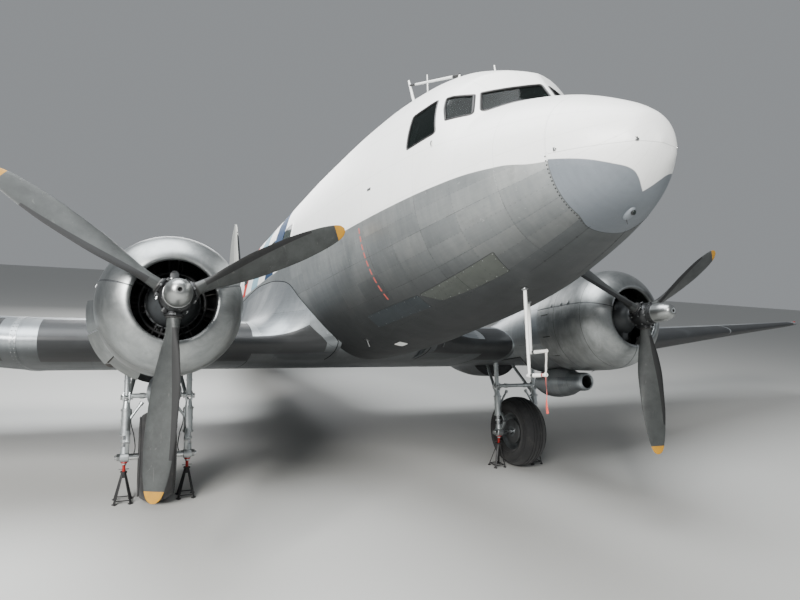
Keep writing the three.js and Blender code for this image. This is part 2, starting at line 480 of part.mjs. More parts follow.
// blade: columns radius, chord, thickness, pitch angle in degrees
const BLADE = [[60, 130, 110, 62], [300, 150, 92, 56], [520, 235, 62, 47], [820, 290, 44, 38], [1150, 285, 32, 30], [1450, 240, 22, 25], [1640, 175, 15, 22], [1725, 110, 10, 21], [1754, 40, 6, 21]];
function propeller(angles) {
  const one = loft(BLADE.map(([r, c, t, p]) => [[-0.5, 0], [-0.3, 0.42], [0.05, 0.5], [0.35, 0.34], [0.5, 0], [0.3, -0.3], [0, -0.36], [-0.3, -0.3]].map(([u, v]) => {
    const a = u * c, b = v * t, P = rad(p);
    return [r, a * Math.sin(P) * -1 + b * Math.cos(P), a * Math.cos(P) + b * Math.sin(P)];   // x radial, y along the shaft, z in the disc
  })));
  const blades = angles.map((deg) => {
    const g = toGeometry(one); g.rotateY(-rad(deg)); return toSolid(g);
  });
  return join(turned([[0, -130], [95, -130], [150, -90], [150, 90], [100, 120], [0, 120]], 'y', 16, [0, 0, 0]), ...blades);
}
const propAngles = { left: [31.9, -88.1, 151.9], right: [25.6, -94.4, 145.6] };
for (const side of ['left', 'right']) {
  const sx = side === 'left' ? 1 : -1;
  const p = toGeometry(propeller(propAngles[side])); p.translate(sx * ENGINE_X, PROP_Y, THRUST_Z);
  add('propeller_' + side, toSolid(p), 'blade');
  add('propeller_dome_' + side, turned([[0, -DOME_LEN], [34, -DOME_LEN + 3], [72, -DOME_LEN + 27], [102, -DOME_LEN + 84], [117, -DOME_LEN + 158], [119, -270], [119, -130 - GAP], [0, -130 - GAP]], 'y', 16, [sx * ENGINE_X, PROP_Y, THRUST_Z]), 'dome');
}

// nacelle: columns y, half width, top, bottom (heights from the thrust line)
const NACELLE = [[4190, 600, 600, -600], [4600, 590, 560, -640], [5200, 560, 420, -690], [6000, 520, 200, -720], [6800, 450, 60, -700], [7400, 340, -60, -600], [7700, 220, -180, -500], [NACELLE_Y1, 60, -320, -400]];
function nacelle() {
  const ring = ([y, w, t, b]) => {
    const r = [], m = (t + b) / 2, hh = (t - b) / 2;
    for (let k = 0; k < 24; k++) { const a = k / 24 * 2 * Math.PI; r.push([ENGINE_X + w * Math.cos(a), y, THRUST_Z + m + hh * Math.sin(a)]); }
    return r;
  };
  let body = loft(NACELLE.map(ring));
  body = body.subtract(loft([ENGINE_X - 700, ENGINE_X + 700].map((x) => wingRing(x, WING_LE_Y, WING_Z, WING_CHORD, 0.15, GAP))));
  body = body.subtract(turned([[0, 4100], [420, 4100], [420, 4420], [0, 4420]], 'y', 20, [ENGINE_X, 0, THRUST_Z]));
  // wheel well, open below
  body = body.subtract(box(ENGINE_X - 455, ENGINE_X + 455, 4900, 6300, -3000, -1190));
  // the wing and the well leave the front part, which also runs back over the wing, and a tail below the wing
  const parts = body.decompose().sort((a, b) => b.volume() - a.volume());
  const front = parts.reduce((a, b) => (b.boundingBox().min[1] < a.boundingBox().min[1] ? b : a));
  const tail = parts.filter((q) => q !== front && q.boundingBox().min[1] > 6000).reduce((a, b) => (b.volume() > a.volume() ? b : a));
  return [front, tail];
}
const [nacFront, nacTail] = nacelle();

// oil cooler duct under each engine
const cooler = loft([[3960, 120, 110], [4010, 150, 132], [4160, 170, 134], [4300, 178, 195], [4600, 172, 228], [4850, 145, 200], [5060, 80, 120]].map(([y, w, h]) => {
  const r = []; for (let k = 0; k < 16; k++) { const a = k / 16 * 2 * Math.PI; r.push([ENGINE_X + w * Math.cos(a), y, -1640 + h * Math.sin(a)]); } return r;
})).subtract(turned([[0, 3900], [85, 3900], [85, 4300], [0, 4300]], 'y', 14, [ENGINE_X, 0, -1640]));
const nacelleFront = nacFront.add(cooler);
for (const [side, f] of [['left', (s) => s], ['right', mirror]]) {
  add('nacelle_' + side, f(nacelleFront), 'bare_metal');
  add('nacelle_tail_' + side, f(nacTail), 'bare_metal');
}

// two air-speed masts under the nose: columns x, y, length
for (const [name, x, y, len] of [['pitot_mast_long', -120, 1420, 730], ['pitot_mast_short', 130, 1710, 450]]) {
  const mast = join(rod([x, y, hullB(y) + 40], [x, y, hullB(y) - len], 17, 15, 10), rod([x, y + 30, hullB(y) - len], [x, y - 230, hullB(y) - len], 17, 13, 10));
  add(name, mast.subtract(hull(1000, 2400, -GAP)).decompose().sort((p, q) => q.volume() - p.volume())[0], 'gear_metal');
}

// aerials on the cockpit roof: a raked mast stayed forward by a tube to a short post, and an upright whip
const skinTop = hull(1100, COCKPIT_END_Y + 400, -GAP);
const above = (solid) => solid.subtract(skinTop).decompose().sort((p, q) => q.volume() - p.volume())[0];
const MAST_FOOT_Y = 3500, MAST_TOP = [0, 3800, 2320], STAY_Y = 2540, STAY_Z = 1730;
add('aerial_mast', above(join(rod([0, MAST_FOOT_Y, 1480], MAST_TOP, 32, 22, 10), rod([0, 3765, 2235], [0, STAY_Y - 20, STAY_Z], 20, 26, 10), rod([0, STAY_Y, 1440], [0, STAY_Y, STAY_Z + 12], 26, 24, 10))), 'white');
add('aerial_whip', above(join(rod([120, 3500, 1480], [120, 3500, 2280], 15, 9, 8), rod([120, 3500, 1480], [120, 3500, 1600], 34, 24, 12))), 'white');

// ---------------------------------------------------------------- attitude on the three wheels
const dA = TAIL_AXLE_Z - AXLE_Z, dB = TAIL_AXLE_Y - AXLE_Y;
const TILT = Math.acos((TAIL_TYRE_R - TYRE_R) / Math.hypot(dA, dB)) - Math.atan2(dB, dA);

// ---------------------------------------------------------------- main gear (port side, then mirrored)
function tyre(r, w, rim, seg) {
  return turned([[rim, -w * 0.30], [rim + 30, -w * 0.42], [(r + rim) / 2 + 10, -w * 0.5], [r - 0.1 * r, -w * 0.42], [r - 0.02 * r, -w * 0.22], [r, 0], [r - 0.02 * r, w * 0.22], [r - 0.1 * r, w * 0.42], [(r + rim) / 2 + 10, w * 0.5], [rim + 30, w * 0.42], [rim, w * 0.30], [rim, -w * 0.30]], 'x', seg, [0, 0, 0], 0);
}
const place = (solid, x, y, z, turn = 0) => { const g = toGeometry(solid); if (turn) g.rotateX(turn); g.translate(x, y, z); return toSolid(g); };
const mainTyre = place(tyre(TYRE_R, TYRE_W, RIM_R, 24), ENGINE_X, AXLE_Y, AXLE_Z, -TILT);
const mainWheel = turned([[46, -130], [90, -130], [110, -60], [250, -50], [RIM_R - GAP, -125], [RIM_R - GAP, 125], [250, 50], [110, 60], [90, 130], [46, 130], [46, -130]], 'x', 24, [0, 0, 0]);
function gearFrame() {
  const X = ENGINE_X, out = [];
  for (const s of [-1, 1]) {
    const lx = X + s * LEG_DX;
    out.push(rod([lx, AXLE_Y, AXLE_Z - 40], [lx, AXLE_Y, AXLE_Z + 560], 56));
    out.push(rod([lx, AXLE_Y, AXLE_Z + 500], [lx, AXLE_Y, -1210], 40));
    out.push(rod([lx, AXLE_Y, AXLE_Z + 620], [X + s * 250, AXLE_Y + 500, -1235], 26));
  }
  out.push(rod([X - LEG_DX, AXLE_Y, AXLE_Z], [X + LEG_DX, AXLE_Y, AXLE_Z], 40));
  out.push(rod([X - LEG_DX, AXLE_Y, AXLE_Z + 760], [X + LEG_DX, AXLE_Y, AXLE_Z + 760], 30));
  return join(...out);
}
const frame = gearFrame().subtract(wingCentreAt(ENGINE_X - 900, ENGINE_X + 900, GAP));
const frameMain = frame.decompose().sort((a, b) => b.volume() - a.volume())[0];
for (const [side, f] of [['left', (s) => s], ['right', mirror]]) {
  add('gear_frame_' + side, f(frameMain), 'gear_metal');
  add('wheel_' + side, f(place(mainWheel, ENGINE_X, AXLE_Y, AXLE_Z, -TILT)), 'dark_metal');
  add('tyre_' + side, f(mainTyre), 'rubber');
}

// ---------------------------------------------------------------- tail gear
const tailBottom = hullB(TAIL_AXLE_Y - 250);
add('tail_gear_leg', join(rod([0, TAIL_AXLE_Y - 120, -60], [0, TAIL_AXLE_Y - 120, tailBottom + 250], 48)).subtract(hull(14500, 17850, -GAP)).decompose().sort((a, b) => a.boundingBox().min[2] - b.boundingBox().min[2])[0], 'gear_metal');
const fork = join(rod([0, TAIL_AXLE_Y - 120, -68], [0, TAIL_AXLE_Y - 120, -150], 60), box(-135, 135, TAIL_AXLE_Y - 170, TAIL_AXLE_Y - 70, -190, -140),
  ...[-1, 1].map((s) => prism([[TAIL_AXLE_Y - 170, -150], [TAIL_AXLE_Y - 70, -150], [TAIL_AXLE_Y + 50, TAIL_AXLE_Z + 10], [TAIL_AXLE_Y + 20, TAIL_AXLE_Z - 50], [TAIL_AXLE_Y - 60, TAIL_AXLE_Z - 20]], 'yz', s > 0 ? 112 : -135, s > 0 ? 135 : -112)),
  rod([-135, TAIL_AXLE_Y, TAIL_AXLE_Z], [135, TAIL_AXLE_Y, TAIL_AXLE_Z], 20));
add('tail_fork', fork, 'gear_metal');
add('tail_wheel', place(turned([[26, -60], [60, -60], [120, -40], [150 - GAP, -60], [150 - GAP, 60], [120, 40], [60, 60], [26, 60], [26, -60]], 'x', 20, [0, 0, 0]), 0, TAIL_AXLE_Y, TAIL_AXLE_Z, -TILT), 'dark_metal');
add('tail_tyre', place(tyre(TAIL_TYRE_R, TAIL_TYRE_W, 150, 20), 0, TAIL_AXLE_Y, TAIL_AXLE_Z, -TILT), 'rubber');

// ---------------------------------------------------------------- axle stands, upright on the floor
const turnY = (y, z) => y * Math.cos(TILT) + z * Math.sin(TILT);
const turnZ = (y, z) => z * Math.cos(TILT) - y * Math.sin(TILT);
const FLOOR = turnZ(AXLE_Y, AXLE_Z) - TYRE_R;
const STAND_BASE = 110;       // half width of a stand's foot
function axleStand(x) {
  const y = turnY(AXLE_Y, AXLE_Z - 40), top = turnZ(AXLE_Y, AXLE_Z - 40) - 56 * Math.sin(TILT) - GAP;
  return join(prism([[x - STAND_BASE, FLOOR], [x + STAND_BASE, FLOOR], [x + STAND_BASE, FLOOR + 14], [x + 42, top - 150], [x - 42, top - 150], [x - STAND_BASE, FLOOR + 14]], 'xz', y - 42, y + 42),
    prism([[y - STAND_BASE, FLOOR], [y + STAND_BASE, FLOOR], [y + STAND_BASE, FLOOR + 14], [y + 42, top - 150], [y - 42, top - 150], [y - STAND_BASE, FLOOR + 14]], 'yz', x - 42, x + 42),
    rod([x, y, top - 160], [x, y, top - 14], 20, 20, 12), rod([x, y, top - 16], [x, y, top], 42, 42, 16));
}
for (const [name, x] of [['left_inner', ENGINE_X - LEG_DX], ['left_outer', ENGINE_X + LEG_DX], ['right_inner', -ENGINE_X + LEG_DX], ['right_outer', -ENGINE_X - LEG_DX]])
  add('axle_stand_' + name, axleStand(x), 'red_paint', standing);

// ---------------------------------------------------------------- stand on the floor
level.rotation.x = -TILT;
part.updateMatrixWorld(true);
const bb = new THREE.Box3().setFromObject(part, true);
part.position.set(-(bb.min.x + bb.max.x) / 2, -(bb.min.y + bb.max.y) / 2, -bb.min.z);
part.updateMatrixWorld(true);

export default part;
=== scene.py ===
import math
import random

import bmesh
import bpy
import numpy as np
from mathutils import Matrix, Vector


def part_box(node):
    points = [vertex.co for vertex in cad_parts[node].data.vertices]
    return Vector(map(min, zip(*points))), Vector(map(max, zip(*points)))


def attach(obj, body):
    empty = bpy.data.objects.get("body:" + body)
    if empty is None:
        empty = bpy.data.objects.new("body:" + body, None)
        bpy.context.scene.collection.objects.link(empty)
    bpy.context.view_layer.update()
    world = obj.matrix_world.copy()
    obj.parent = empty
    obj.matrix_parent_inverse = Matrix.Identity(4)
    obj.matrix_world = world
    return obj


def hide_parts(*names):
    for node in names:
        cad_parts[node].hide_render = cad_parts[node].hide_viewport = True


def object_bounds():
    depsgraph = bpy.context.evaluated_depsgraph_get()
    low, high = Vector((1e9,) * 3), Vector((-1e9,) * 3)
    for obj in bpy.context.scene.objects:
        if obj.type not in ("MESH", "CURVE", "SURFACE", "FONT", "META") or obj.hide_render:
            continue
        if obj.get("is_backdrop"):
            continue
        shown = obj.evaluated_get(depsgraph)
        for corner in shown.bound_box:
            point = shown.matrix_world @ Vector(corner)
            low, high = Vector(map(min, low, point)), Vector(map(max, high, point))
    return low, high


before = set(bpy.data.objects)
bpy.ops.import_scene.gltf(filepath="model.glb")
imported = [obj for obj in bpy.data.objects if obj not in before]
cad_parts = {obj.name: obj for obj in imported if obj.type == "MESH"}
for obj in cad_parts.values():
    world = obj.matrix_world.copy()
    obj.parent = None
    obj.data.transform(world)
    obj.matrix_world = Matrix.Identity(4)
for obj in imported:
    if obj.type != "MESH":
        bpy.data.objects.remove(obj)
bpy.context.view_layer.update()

SC = bpy.context.scene
PI = math.pi

# ------------------------------------------------------------------ frames
# The plane is described level: x to port, s aft of the nose tip, h above the cabin's centre line, in metres.
TILT = math.radians(11.25006402)
CT, ST = math.cos(TILT), math.sin(TILT)
AXLE_S, AXLE_H = 5.706, -2.443
_tl, _th = (Vector(c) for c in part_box("tyre_left"))
_ax = (_tl + _th) / 2
OY = _ax.y - (AXLE_S * CT + AXLE_H * ST)
OZ = _ax.z - (AXLE_H * CT - AXLE_S * ST)


def L(x, s, h):
    """level frame to the frame of the CAD model"""
    return (x, s * CT + h * ST + OY, h * CT - s * ST + OZ)


def LD(x, s, h):
    """a direction"""
    return Vector((x, s * CT + h * ST, h * CT - s * ST))


# ------------------------------------------------------------------ camera
def camera():
    cam = bpy.data.cameras.new("camera")
    cam.sensor_width = 36.0
    cam.lens = 26.127
    cam.clip_end = 500
    ob = bpy.data.objects.new("camera", cam)
    SC.collection.objects.link(ob)
    f = LD(0.41594641, 0.89833335, 0.14137103).normalized()
    yaw, pitch, roll, th = math.radians(-24.72), math.radians(5.93), math.radians(-0.31), math.radians(2.42)
    cy, sy, cp, sp = math.cos(yaw), math.sin(yaw), math.cos(pitch), math.sin(pitch)
    fw = Vector((-sy * cp, cy * cp, sp))
    r = Vector((cy, sy, 0))
    u = r.cross(fw)
    r2 = math.cos(roll) * r + math.sin(roll) * u
    right = Vector((r2.x, r2.y * math.cos(th) - r2.z * math.sin(th), r2.y * math.sin(th) + r2.z * math.cos(th)))
    right = LD(*right).normalized()
    up = right.cross(f).normalized()
    m = Matrix((right, up, -f)).transposed().to_4x4()
    m.translation = Vector(L(-3.157, -2.5922, -1.5975))
    ob.matrix_world = m
    SC.camera = ob


camera()

# ------------------------------------------------------------------ node materials
class Mat:
    def __init__(self, name):
        self.m = bpy.data.materials.new(name)
        self.m.use_nodes = True
        self.nt = self.m.node_tree
        self.p = next(n for n in self.nt.nodes if n.type == "BSDF_PRINCIPLED")
        self._lv = None
        self._tc = None

    def n(self, kind, **props):
        node = self.nt.nodes.new(kind)
        for k, v in props.items():
            setattr(node, k, v)
        return node

    def put(self, socket, value):
        if isinstance(value, bpy.types.NodeSocket):
            self.nt.links.new(value, socket)
            return
        if not isinstance(value, (int, float)) and len(value) == 3 and len(socket.default_value) == 4:
            value = (*value, 1.0)
        socket.default_value = value

    def set(self, **kw):
        names = {"color": "Base Color", "metal": "Metallic", "rough": "Roughness", "normal": "Normal", "coat": "Coat Weight",
                 "coat_rough": "Coat Roughness", "spec": "Specular IOR Level", "ior": "IOR", "trans": "Transmission Weight",
                 "sheen": "Sheen Weight", "emit": "Emission Color", "emit_s": "Emission Strength", "alpha": "Alpha"}
        for k, v in kw.items():
            self.put(self.p.inputs[names[k]], v)
        return self

    def math(self, op, a, b=0.0, c=0.0, clamp=False):
        nd = self.n("ShaderNodeMath", operation=op, use_clamp=clamp)
        self.put(nd.inputs[0], a)
        self.put(nd.inputs[1], b)
        self.put(nd.inputs[2], c)
        return nd.outputs[0]

    def add(self, a, b):
        return self.math("ADD", a, b)

    def sub(self, a, b):
        return self.math("SUBTRACT", a, b)

    def mul(self, a, b):
        return self.math("MULTIPLY", a, b)

    def mx(self, a, b):
        return self.math("MAXIMUM", a, b)

    def mn(self, a, b):
        return self.math("MINIMUM", a, b)

    def mixc(self, f, a, b):
        nd = self.n("ShaderNodeMix", data_type="RGBA")
        self.put(nd.inputs[0], f)
        self.put(nd.inputs[6], a)
        self.put(nd.inputs[7], b)
        return nd.outputs[2]

    def mixf(self, f, a, b):
        nd = self.n("ShaderNodeMix", data_type="FLOAT")
        self.put(nd.inputs[0], f)
        self.put(nd.inputs[2], a)
        self.put(nd.inputs[3], b)
        return nd.outputs[0]

    def ss(self, v, e0, e1):
        """smooth step from 0 at e0 to 1 at e1"""
        nd = self.n("ShaderNodeMapRange", interpolation_type="SMOOTHSTEP")
        self.put(nd.inputs[0], v)
        nd.inputs[1].default_value = e0
        nd.inputs[2].default_value = e1
        return nd.outputs[0]

    def obj(self):
        if self._tc is None:
            self._tc = self.n("ShaderNodeTexCoord").outputs["Object"]
        return self._tc

    def down(self):
        """how far the surface faces downwards in the level frame, 0 to 1"""
        tc = self.n("ShaderNodeTexCoord")
        nd = self.n("ShaderNodeVectorMath", operation="DOT_PRODUCT")
        self.put(nd.inputs[0], tc.outputs["Normal"])
        nd.inputs[1].default_value = (0, -ST, -CT)
        return self.ss(nd.outputs["Value"], 0.15, 0.95)

    def scaled(self, v, vec=None):
        nd = self.n("ShaderNodeVectorMath", operation="MULTIPLY")
        self.put(nd.inputs[0], vec if vec is not None else self.obj())
        nd.inputs[1].default_value = v
        return nd.outputs[0]

    def vec(self, x, y, z):
        nd = self.n("ShaderNodeCombineXYZ")
        for k, v in enumerate((x, y, z)):
            self.put(nd.inputs[k], v)
        return nd.outputs[0]

    def lv(self):
        """level coordinates x, s, h"""
        if self._lv is None:
            out = []
            for d, c in (((1, 0, 0), 0.0), ((0, CT, -ST), -(OY * CT - OZ * ST)), ((0, ST, CT), -(OY * ST + OZ * CT))):
                nd = self.n("ShaderNodeVectorMath", operation="DOT_PRODUCT")
                self.put(nd.inputs[0], self.obj())
                nd.inputs[1].default_value = d
                out.append(self.add(nd.outputs["Value"], c))
            self._lv = out
        return self._lv

    def noise(self, scale, detail=3.0, rough=0.5, vec=None, dist=0.0):
        nd = self.n("ShaderNodeTexNoise")
        self.put(nd.inputs["Vector"], vec if vec is not None else self.obj())
        nd.inputs["Scale"].default_value = scale
        nd.inputs["Detail"].default_value = detail
        nd.inputs["Roughness"].default_value = rough
        nd.inputs["Distortion"].default_value = dist
        return nd.outputs[0]

    def white(self, vec):
        nd = self.n("ShaderNodeTexWhiteNoise", noise_dimensions="3D")
        self.put(nd.inputs[0], vec)
        return nd.outputs[0]

    def lines(self, v, pitch, width, offset=0.0):
        """1 on lines at every pitch, width wide"""
        a = self.math("PINGPONG", self.add(v, offset), pitch / 2)
        return self.sub(1.0, self.ss(a, width * 0.35, width * 0.65))

    def dots(self, a, b, pa, r):
        """dots every pa along a, where b is the distance across the row"""
        da = self.math("PINGPONG", a, pa / 2)
        d = self.math("SQRT", self.add(self.mul(da, da), self.mul(b, b)))
        return self.sub(1.0, self.ss(d, r * 0.7, r * 1.2))

    def bump(self, height, dist=0.002, strength=1.0, normal=None):
        nd = self.n("ShaderNodeBump")
        nd.inputs["Strength"].default_value = strength
        nd.inputs["Distance"].default_value = dist
        self.put(nd.inputs["Height"], height)
        if normal is not None:
            self.put(nd.inputs["Normal"], normal)
        return nd.outputs[0]

    def curve(self, v, pts):
        """value through points within 0..1"""
        f = self.n("ShaderNodeFloatCurve")
        c = f.mapping.curves[0]
        c.points[0].location, c.points[1].location = pts[0], pts[-1]
        for p in pts[1:-1]:
            c.points.new(*p)
        f.mapping.update()
        self.put(f.inputs["Value"], v)
        return f.outputs[0]

    def ramp(self, f, stops):
        nd = self.n("ShaderNodeValToRGB")
        el = nd.color_ramp.elements
        el[0].position, el[0].color = stops[0][0], (*stops[0][1], 1)
        el[1].position, el[1].color = stops[-1][0], (*stops[-1][1], 1)
        for pos, col in stops[1:-1]:
            e = el.new(pos)
            e.color = (*col, 1)
        self.put(nd.inputs[0], f)
        return nd.outputs[0]


def srgb(r, g, b):
    return tuple((c / 255 / 12.92) if c / 255 <= 0.04045 else ((c / 255 + 0.055) / 1.055) ** 2.4 for c in (r, g, b))


# ------------------------------------------------------------------ mesh tools
class Build:
    """gathers closed shells, in level coordinates, into one object"""

    def __init__(self):
        self.v, self.f, self.m = [], [], []

    def add(self, verts, faces, mi=0):
        o = len(self.v)
        self.v += [tuple(p) for p in verts]
        self.f += [tuple(i + o for i in f) for f in faces]
        self.m += [mi] * len(faces)
        return self

    def grid(self, rows, mi=0, wrap=True, caps=(True, True)):
        n = len(rows[0])
        verts = [p for r in rows for p in r]
        faces = []
        for i in range(len(rows) - 1):
            for k in range(n if wrap else n - 1):
                a, b = i * n + k, i * n + (k + 1) % n
                faces.append((a, b, b + n, a + n))
        if caps[0]:
            faces.append(tuple(range(n))[::-1])
        if caps[1]:
            faces.append(tuple((len(rows) - 1) * n + k for k in range(n)))
        return self.add(verts, faces, mi)

    def rod(self, a, b, r, r2=None, seg=14, mi=0, fillet=0.0):
        a, b = Vector(a), Vector(b)
        r2 = r if r2 is None else r2
        d = (b - a).normalized()
        u = d.orthogonal().normalized()
        w = d.cross(u)
        ln = (b - a).length
        c = fillet or min(r, r2, ln / 2) * 0.12
        rows = []
        for t, rr in ((0, r - c), (c / ln, r), (1 - c / ln, r2), (1, r2 - c)):
            o = a + d * (ln * t)
            rows.append([tuple(o + (u * math.cos(k / seg * 2 * PI) + w * math.sin(k / seg * 2 * PI)) * max(rr, 1e-4)) for k in range(seg)])
        return self.grid(rows, mi)

    def tube(self, pts, r, seg=10, mi=0, caps=True):
        pts = [Vector(p) for p in pts]
        rr = r if isinstance(r, (list, tuple)) else [r] * len(pts)
        rows = []
        u = None
        for i, p in enumerate(pts):
            d = (pts[min(i + 1, len(pts) - 1)] - pts[max(i - 1, 0)]).normalized()
            u = d.orthogonal().normalized() if u is None else (u - d * u.dot(d)).normalized()
            w = d.cross(u)
            rows.append([tuple(p + (u * math.cos(k / seg * 2 * PI) + w * math.sin(k / seg * 2 * PI)) * rr[i]) for k in range(seg)])
        return self.grid(rows, mi, caps=(caps, caps))

    def lathe(self, profile, axis, at, seg=48, mi=0, closed=False, phase=0.0):
        """profile of (radius, distance along the axis); closed joins its last point to its first"""
        prof = list(profile)
        rows = []
        at = Vector(at)
        for k in range(seg):
            a = phase + k / seg * 2 * PI
            ring = []
            for r, t in prof:
                c, s_ = r * math.cos(a), r * math.sin(a)
                q = {"x": (t, c, s_), "y": (c, t, s_), "z": (c, s_, t)}[axis]
                ring.append(tuple(at + Vector(q)))
            rows.append(ring)
        n = len(prof)
        verts = [p for r in rows for p in r]
        faces = []
        for i in range(seg):
            j = (i + 1) % seg
            for k in range(n if closed else n - 1):
                k2 = (k + 1) % n
                faces.append((i * n + k, i * n + k2, j * n + k2, j * n + k))
        if not closed:
            if prof[0][0] > 1e-5:
                faces.append(tuple(i * n for i in range(seg)))
            if prof[-1][0] > 1e-5:
                faces.append(tuple(i * n + n - 1 for i in range(seg))[::-1])
        return self.add(verts, faces, mi)

    def slab(self, centre, half, bevel=0.004, axes=None, mi=0):
        """box with chamfered edges"""
        c = Vector(centre)
        ax = [Vector(a) for a in axes] if axes else [Vector((1, 0, 0)), Vector((0, 1, 0)), Vector((0, 0, 1))]
        bm = bmesh.new()
        bmesh.ops.create_cube(bm, size=2.0)
        for v in bm.verts:
            v.co = Vector((v.co.x * half[0], v.co.y * half[1], v.co.z * half[2]))
        b = min(bevel, min(half) * 0.45)
        bmesh.ops.bevel(bm, geom=list(bm.edges), offset=b, segments=2, profile=0.5, affect="EDGES")
        bm.verts.index_update()
        verts = [tuple(c + ax[0] * v.co.x + ax[1] * v.co.y + ax[2] * v.co.z) for v in bm.verts]
        faces = [tuple(v.index for v in f.verts) for f in bm.faces]
        bm.free()
        return self.add(verts, faces, mi)

    def plate(self, outline, normal, thick, mi=0):
        """flat outline of points given a thickness along its normal"""
        nn = Vector(normal).normalized() * (thick / 2)
        a = [tuple(Vector(p) - nn) for p in outline]
        b = [tuple(Vector(p) + nn) for p in outline]
        n = len(outline)
        faces = [tuple(range(n))[::-1], tuple(range(n, 2 * n))] + [(k, (k + 1) % n, n + (k + 1) % n, n + k) for k in range(n)]
        return self.add(a + b, faces, mi)

    def mirror(self):
        o = Build()
        o.v = [(-x, y, z) for x, y, z in self.v]
        o.f = [tuple(reversed(f)) for f in self.f]
        o.m = list(self.m)
        return o

    def shifted(self, d):
        o = Build()
        o.v = [(x + d[0], y + d[1], z + d[2]) for x, y, z in self.v]
        o.f, o.m = list(self.f), list(self.m)
        return o

    def join(self, other):
        return self.add_build(other)

    def add_build(self, other):
        o = len(self.v)
        self.v += other.v
        self.f += [tuple(i + o for i in f) for f in other.f]
        self.m += other.m
        return self

    def mesh(self, name, mats, level=True, angle=35.0):
        me = bpy.data.meshes.new(name)
        me.from_pydata([L(*p) for p in self.v] if level else self.v, [], self.f)
        for mt in mats:
            me.materials.append(mt)
        me.polygons.foreach_set("material_index", self.m)
        me.validate()
        bm = bmesh.new()
        bm.from_mesh(me)
        bmesh.ops.remove_doubles(bm, verts=bm.verts, dist=1e-6)
        bmesh.ops.dissolve_degenerate(bm, edges=bm.edges, dist=1e-6)
        bmesh.ops.recalc_face_normals(bm, faces=bm.faces)
        bm.to_mesh(me)
        bm.free()
        shade(me, angle)
        ob = bpy.data.objects.new(name, me)
        SC.collection.objects.link(ob)
        return ob

    def piece(self, name, mats, body="airframe", replaces=(), slot=None, level=True, angle=35.0):
        mats = mats if isinstance(mats, (list, tuple)) else [mats]
        return settle(self.mesh(name, [m.m for m in mats], level, angle), body, replaces)


def shade(me, angle=35.0):
    me.polygons.foreach_set("use_smooth", [True] * len(me.polygons))
    me.set_sharp_from_angle(angle=math.radians(angle))
    me.update()


def settle(ob, body="airframe", replaces=()):
    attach(ob, body)
    if replaces:
        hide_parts(*([replaces] if isinstance(replaces, str) else replaces))
    return ob


def boolean(ob, cutter, op="DIFFERENCE", angle=35.0):
    """cuts ob with a cutter object, applies it and removes the cutter"""
    md = ob.modifiers.new("cut", "BOOLEAN")
    md.operation, md.solver, md.object = op, "EXACT", cutter
    dg = bpy.context.evaluated_depsgraph_get()
    me = bpy.data.meshes.new_from_object(ob.evaluated_get(dg))
    ob.modifiers.remove(md)
    old = ob.data
    name = old.name
    ob.data = me
    bpy.data.meshes.remove(old)
    me.name = name
    cm = cutter.data
    bpy.data.objects.remove(cutter)
    bpy.data.meshes.remove(cm)
    shade(me, angle)
    return ob


def smooth_profile(pts, n):
    """monotone-chord Catmull-Rom through a list of 2-D points"""
    P = [np.array(p, float) for p in pts]
    d = [0.0]
    for a, b in zip(P, P[1:]):
        d.append(d[-1] + max(np.linalg.norm(b - a), 1e-6) ** 0.5)
    out = []
    for t in np.linspace(0, d[-1], n):
        i = min(max(np.searchsorted(d, t) - 1, 0), len(P) - 2)
        p1, p2 = P[i], P[i + 1]
        p0 = P[i - 1] if i > 0 else 2 * p1 - p2
        p3 = P[i + 2] if i + 2 < len(P) else 2 * p2 - p1
        t0 = d[i - 1] if i > 0 else d[i] - (d[i + 1] - d[i])
        t3 = d[i + 2] if i + 2 < len(P) else d[i + 1] + (d[i + 1] - d[i])
        t1, t2 = d[i], d[i + 1]
        a1 = (t1 - t) / (t1 - t0) * p0 + (t - t0) / (t1 - t0) * p1
        a2 = (t2 - t) / (t2 - t1) * p1 + (t - t1) / (t2 - t1) * p2
        a3 = (t3 - t) / (t3 - t2) * p2 + (t - t2) / (t3 - t2) * p3
        b1 = (t2 - t) / (t2 - t0) * a1 + (t - t0) / (t2 - t0) * a2
        b2 = (t3 - t) / (t3 - t1) * a2 + (t - t1) / (t3 - t1) * a3
        out.append(tuple((t2 - t) / (t2 - t1) * b1 + (t - t1) / (t2 - t1) * b2))
    return out


# ------------------------------------------------------------------ curves and sections of the airframe
def pchip(xs, ys):
    """smooth curve through points without overshoot"""
    n = len(xs)
    d = [(ys[i + 1] - ys[i]) / (xs[i + 1] - xs[i]) for i in range(n - 1)]
    m = [d[0]]
    for i in range(1, n - 1):
        if d[i - 1] * d[i] <= 0:
            m.append(0.0)
        else:
            h0, h1 = xs[i] - xs[i - 1], xs[i + 1] - xs[i]
            w1, w2 = 2 * h1 + h0, h1 + 2 * h0
            m.append((w1 + w2) / (w1 / d[i - 1] + w2 / d[i]))
    m.append(d[-1])

    def f(x):
        if x <= xs[0]:
            return ys[0]
        if x >= xs[-1]:
            return ys[-1]
        i = 0
        while x > xs[i + 1]:
            i += 1
        h = xs[i + 1] - xs[i]
        t = (x - xs[i]) / h
        return (2 * t**3 - 3 * t * t + 1) * ys[i] + (t**3 - 2 * t * t + t) * h * m[i] + (-2 * t**3 + 3 * t * t) * ys[i + 1] + (t**3 - t * t) * h * m[i + 1]

    return f


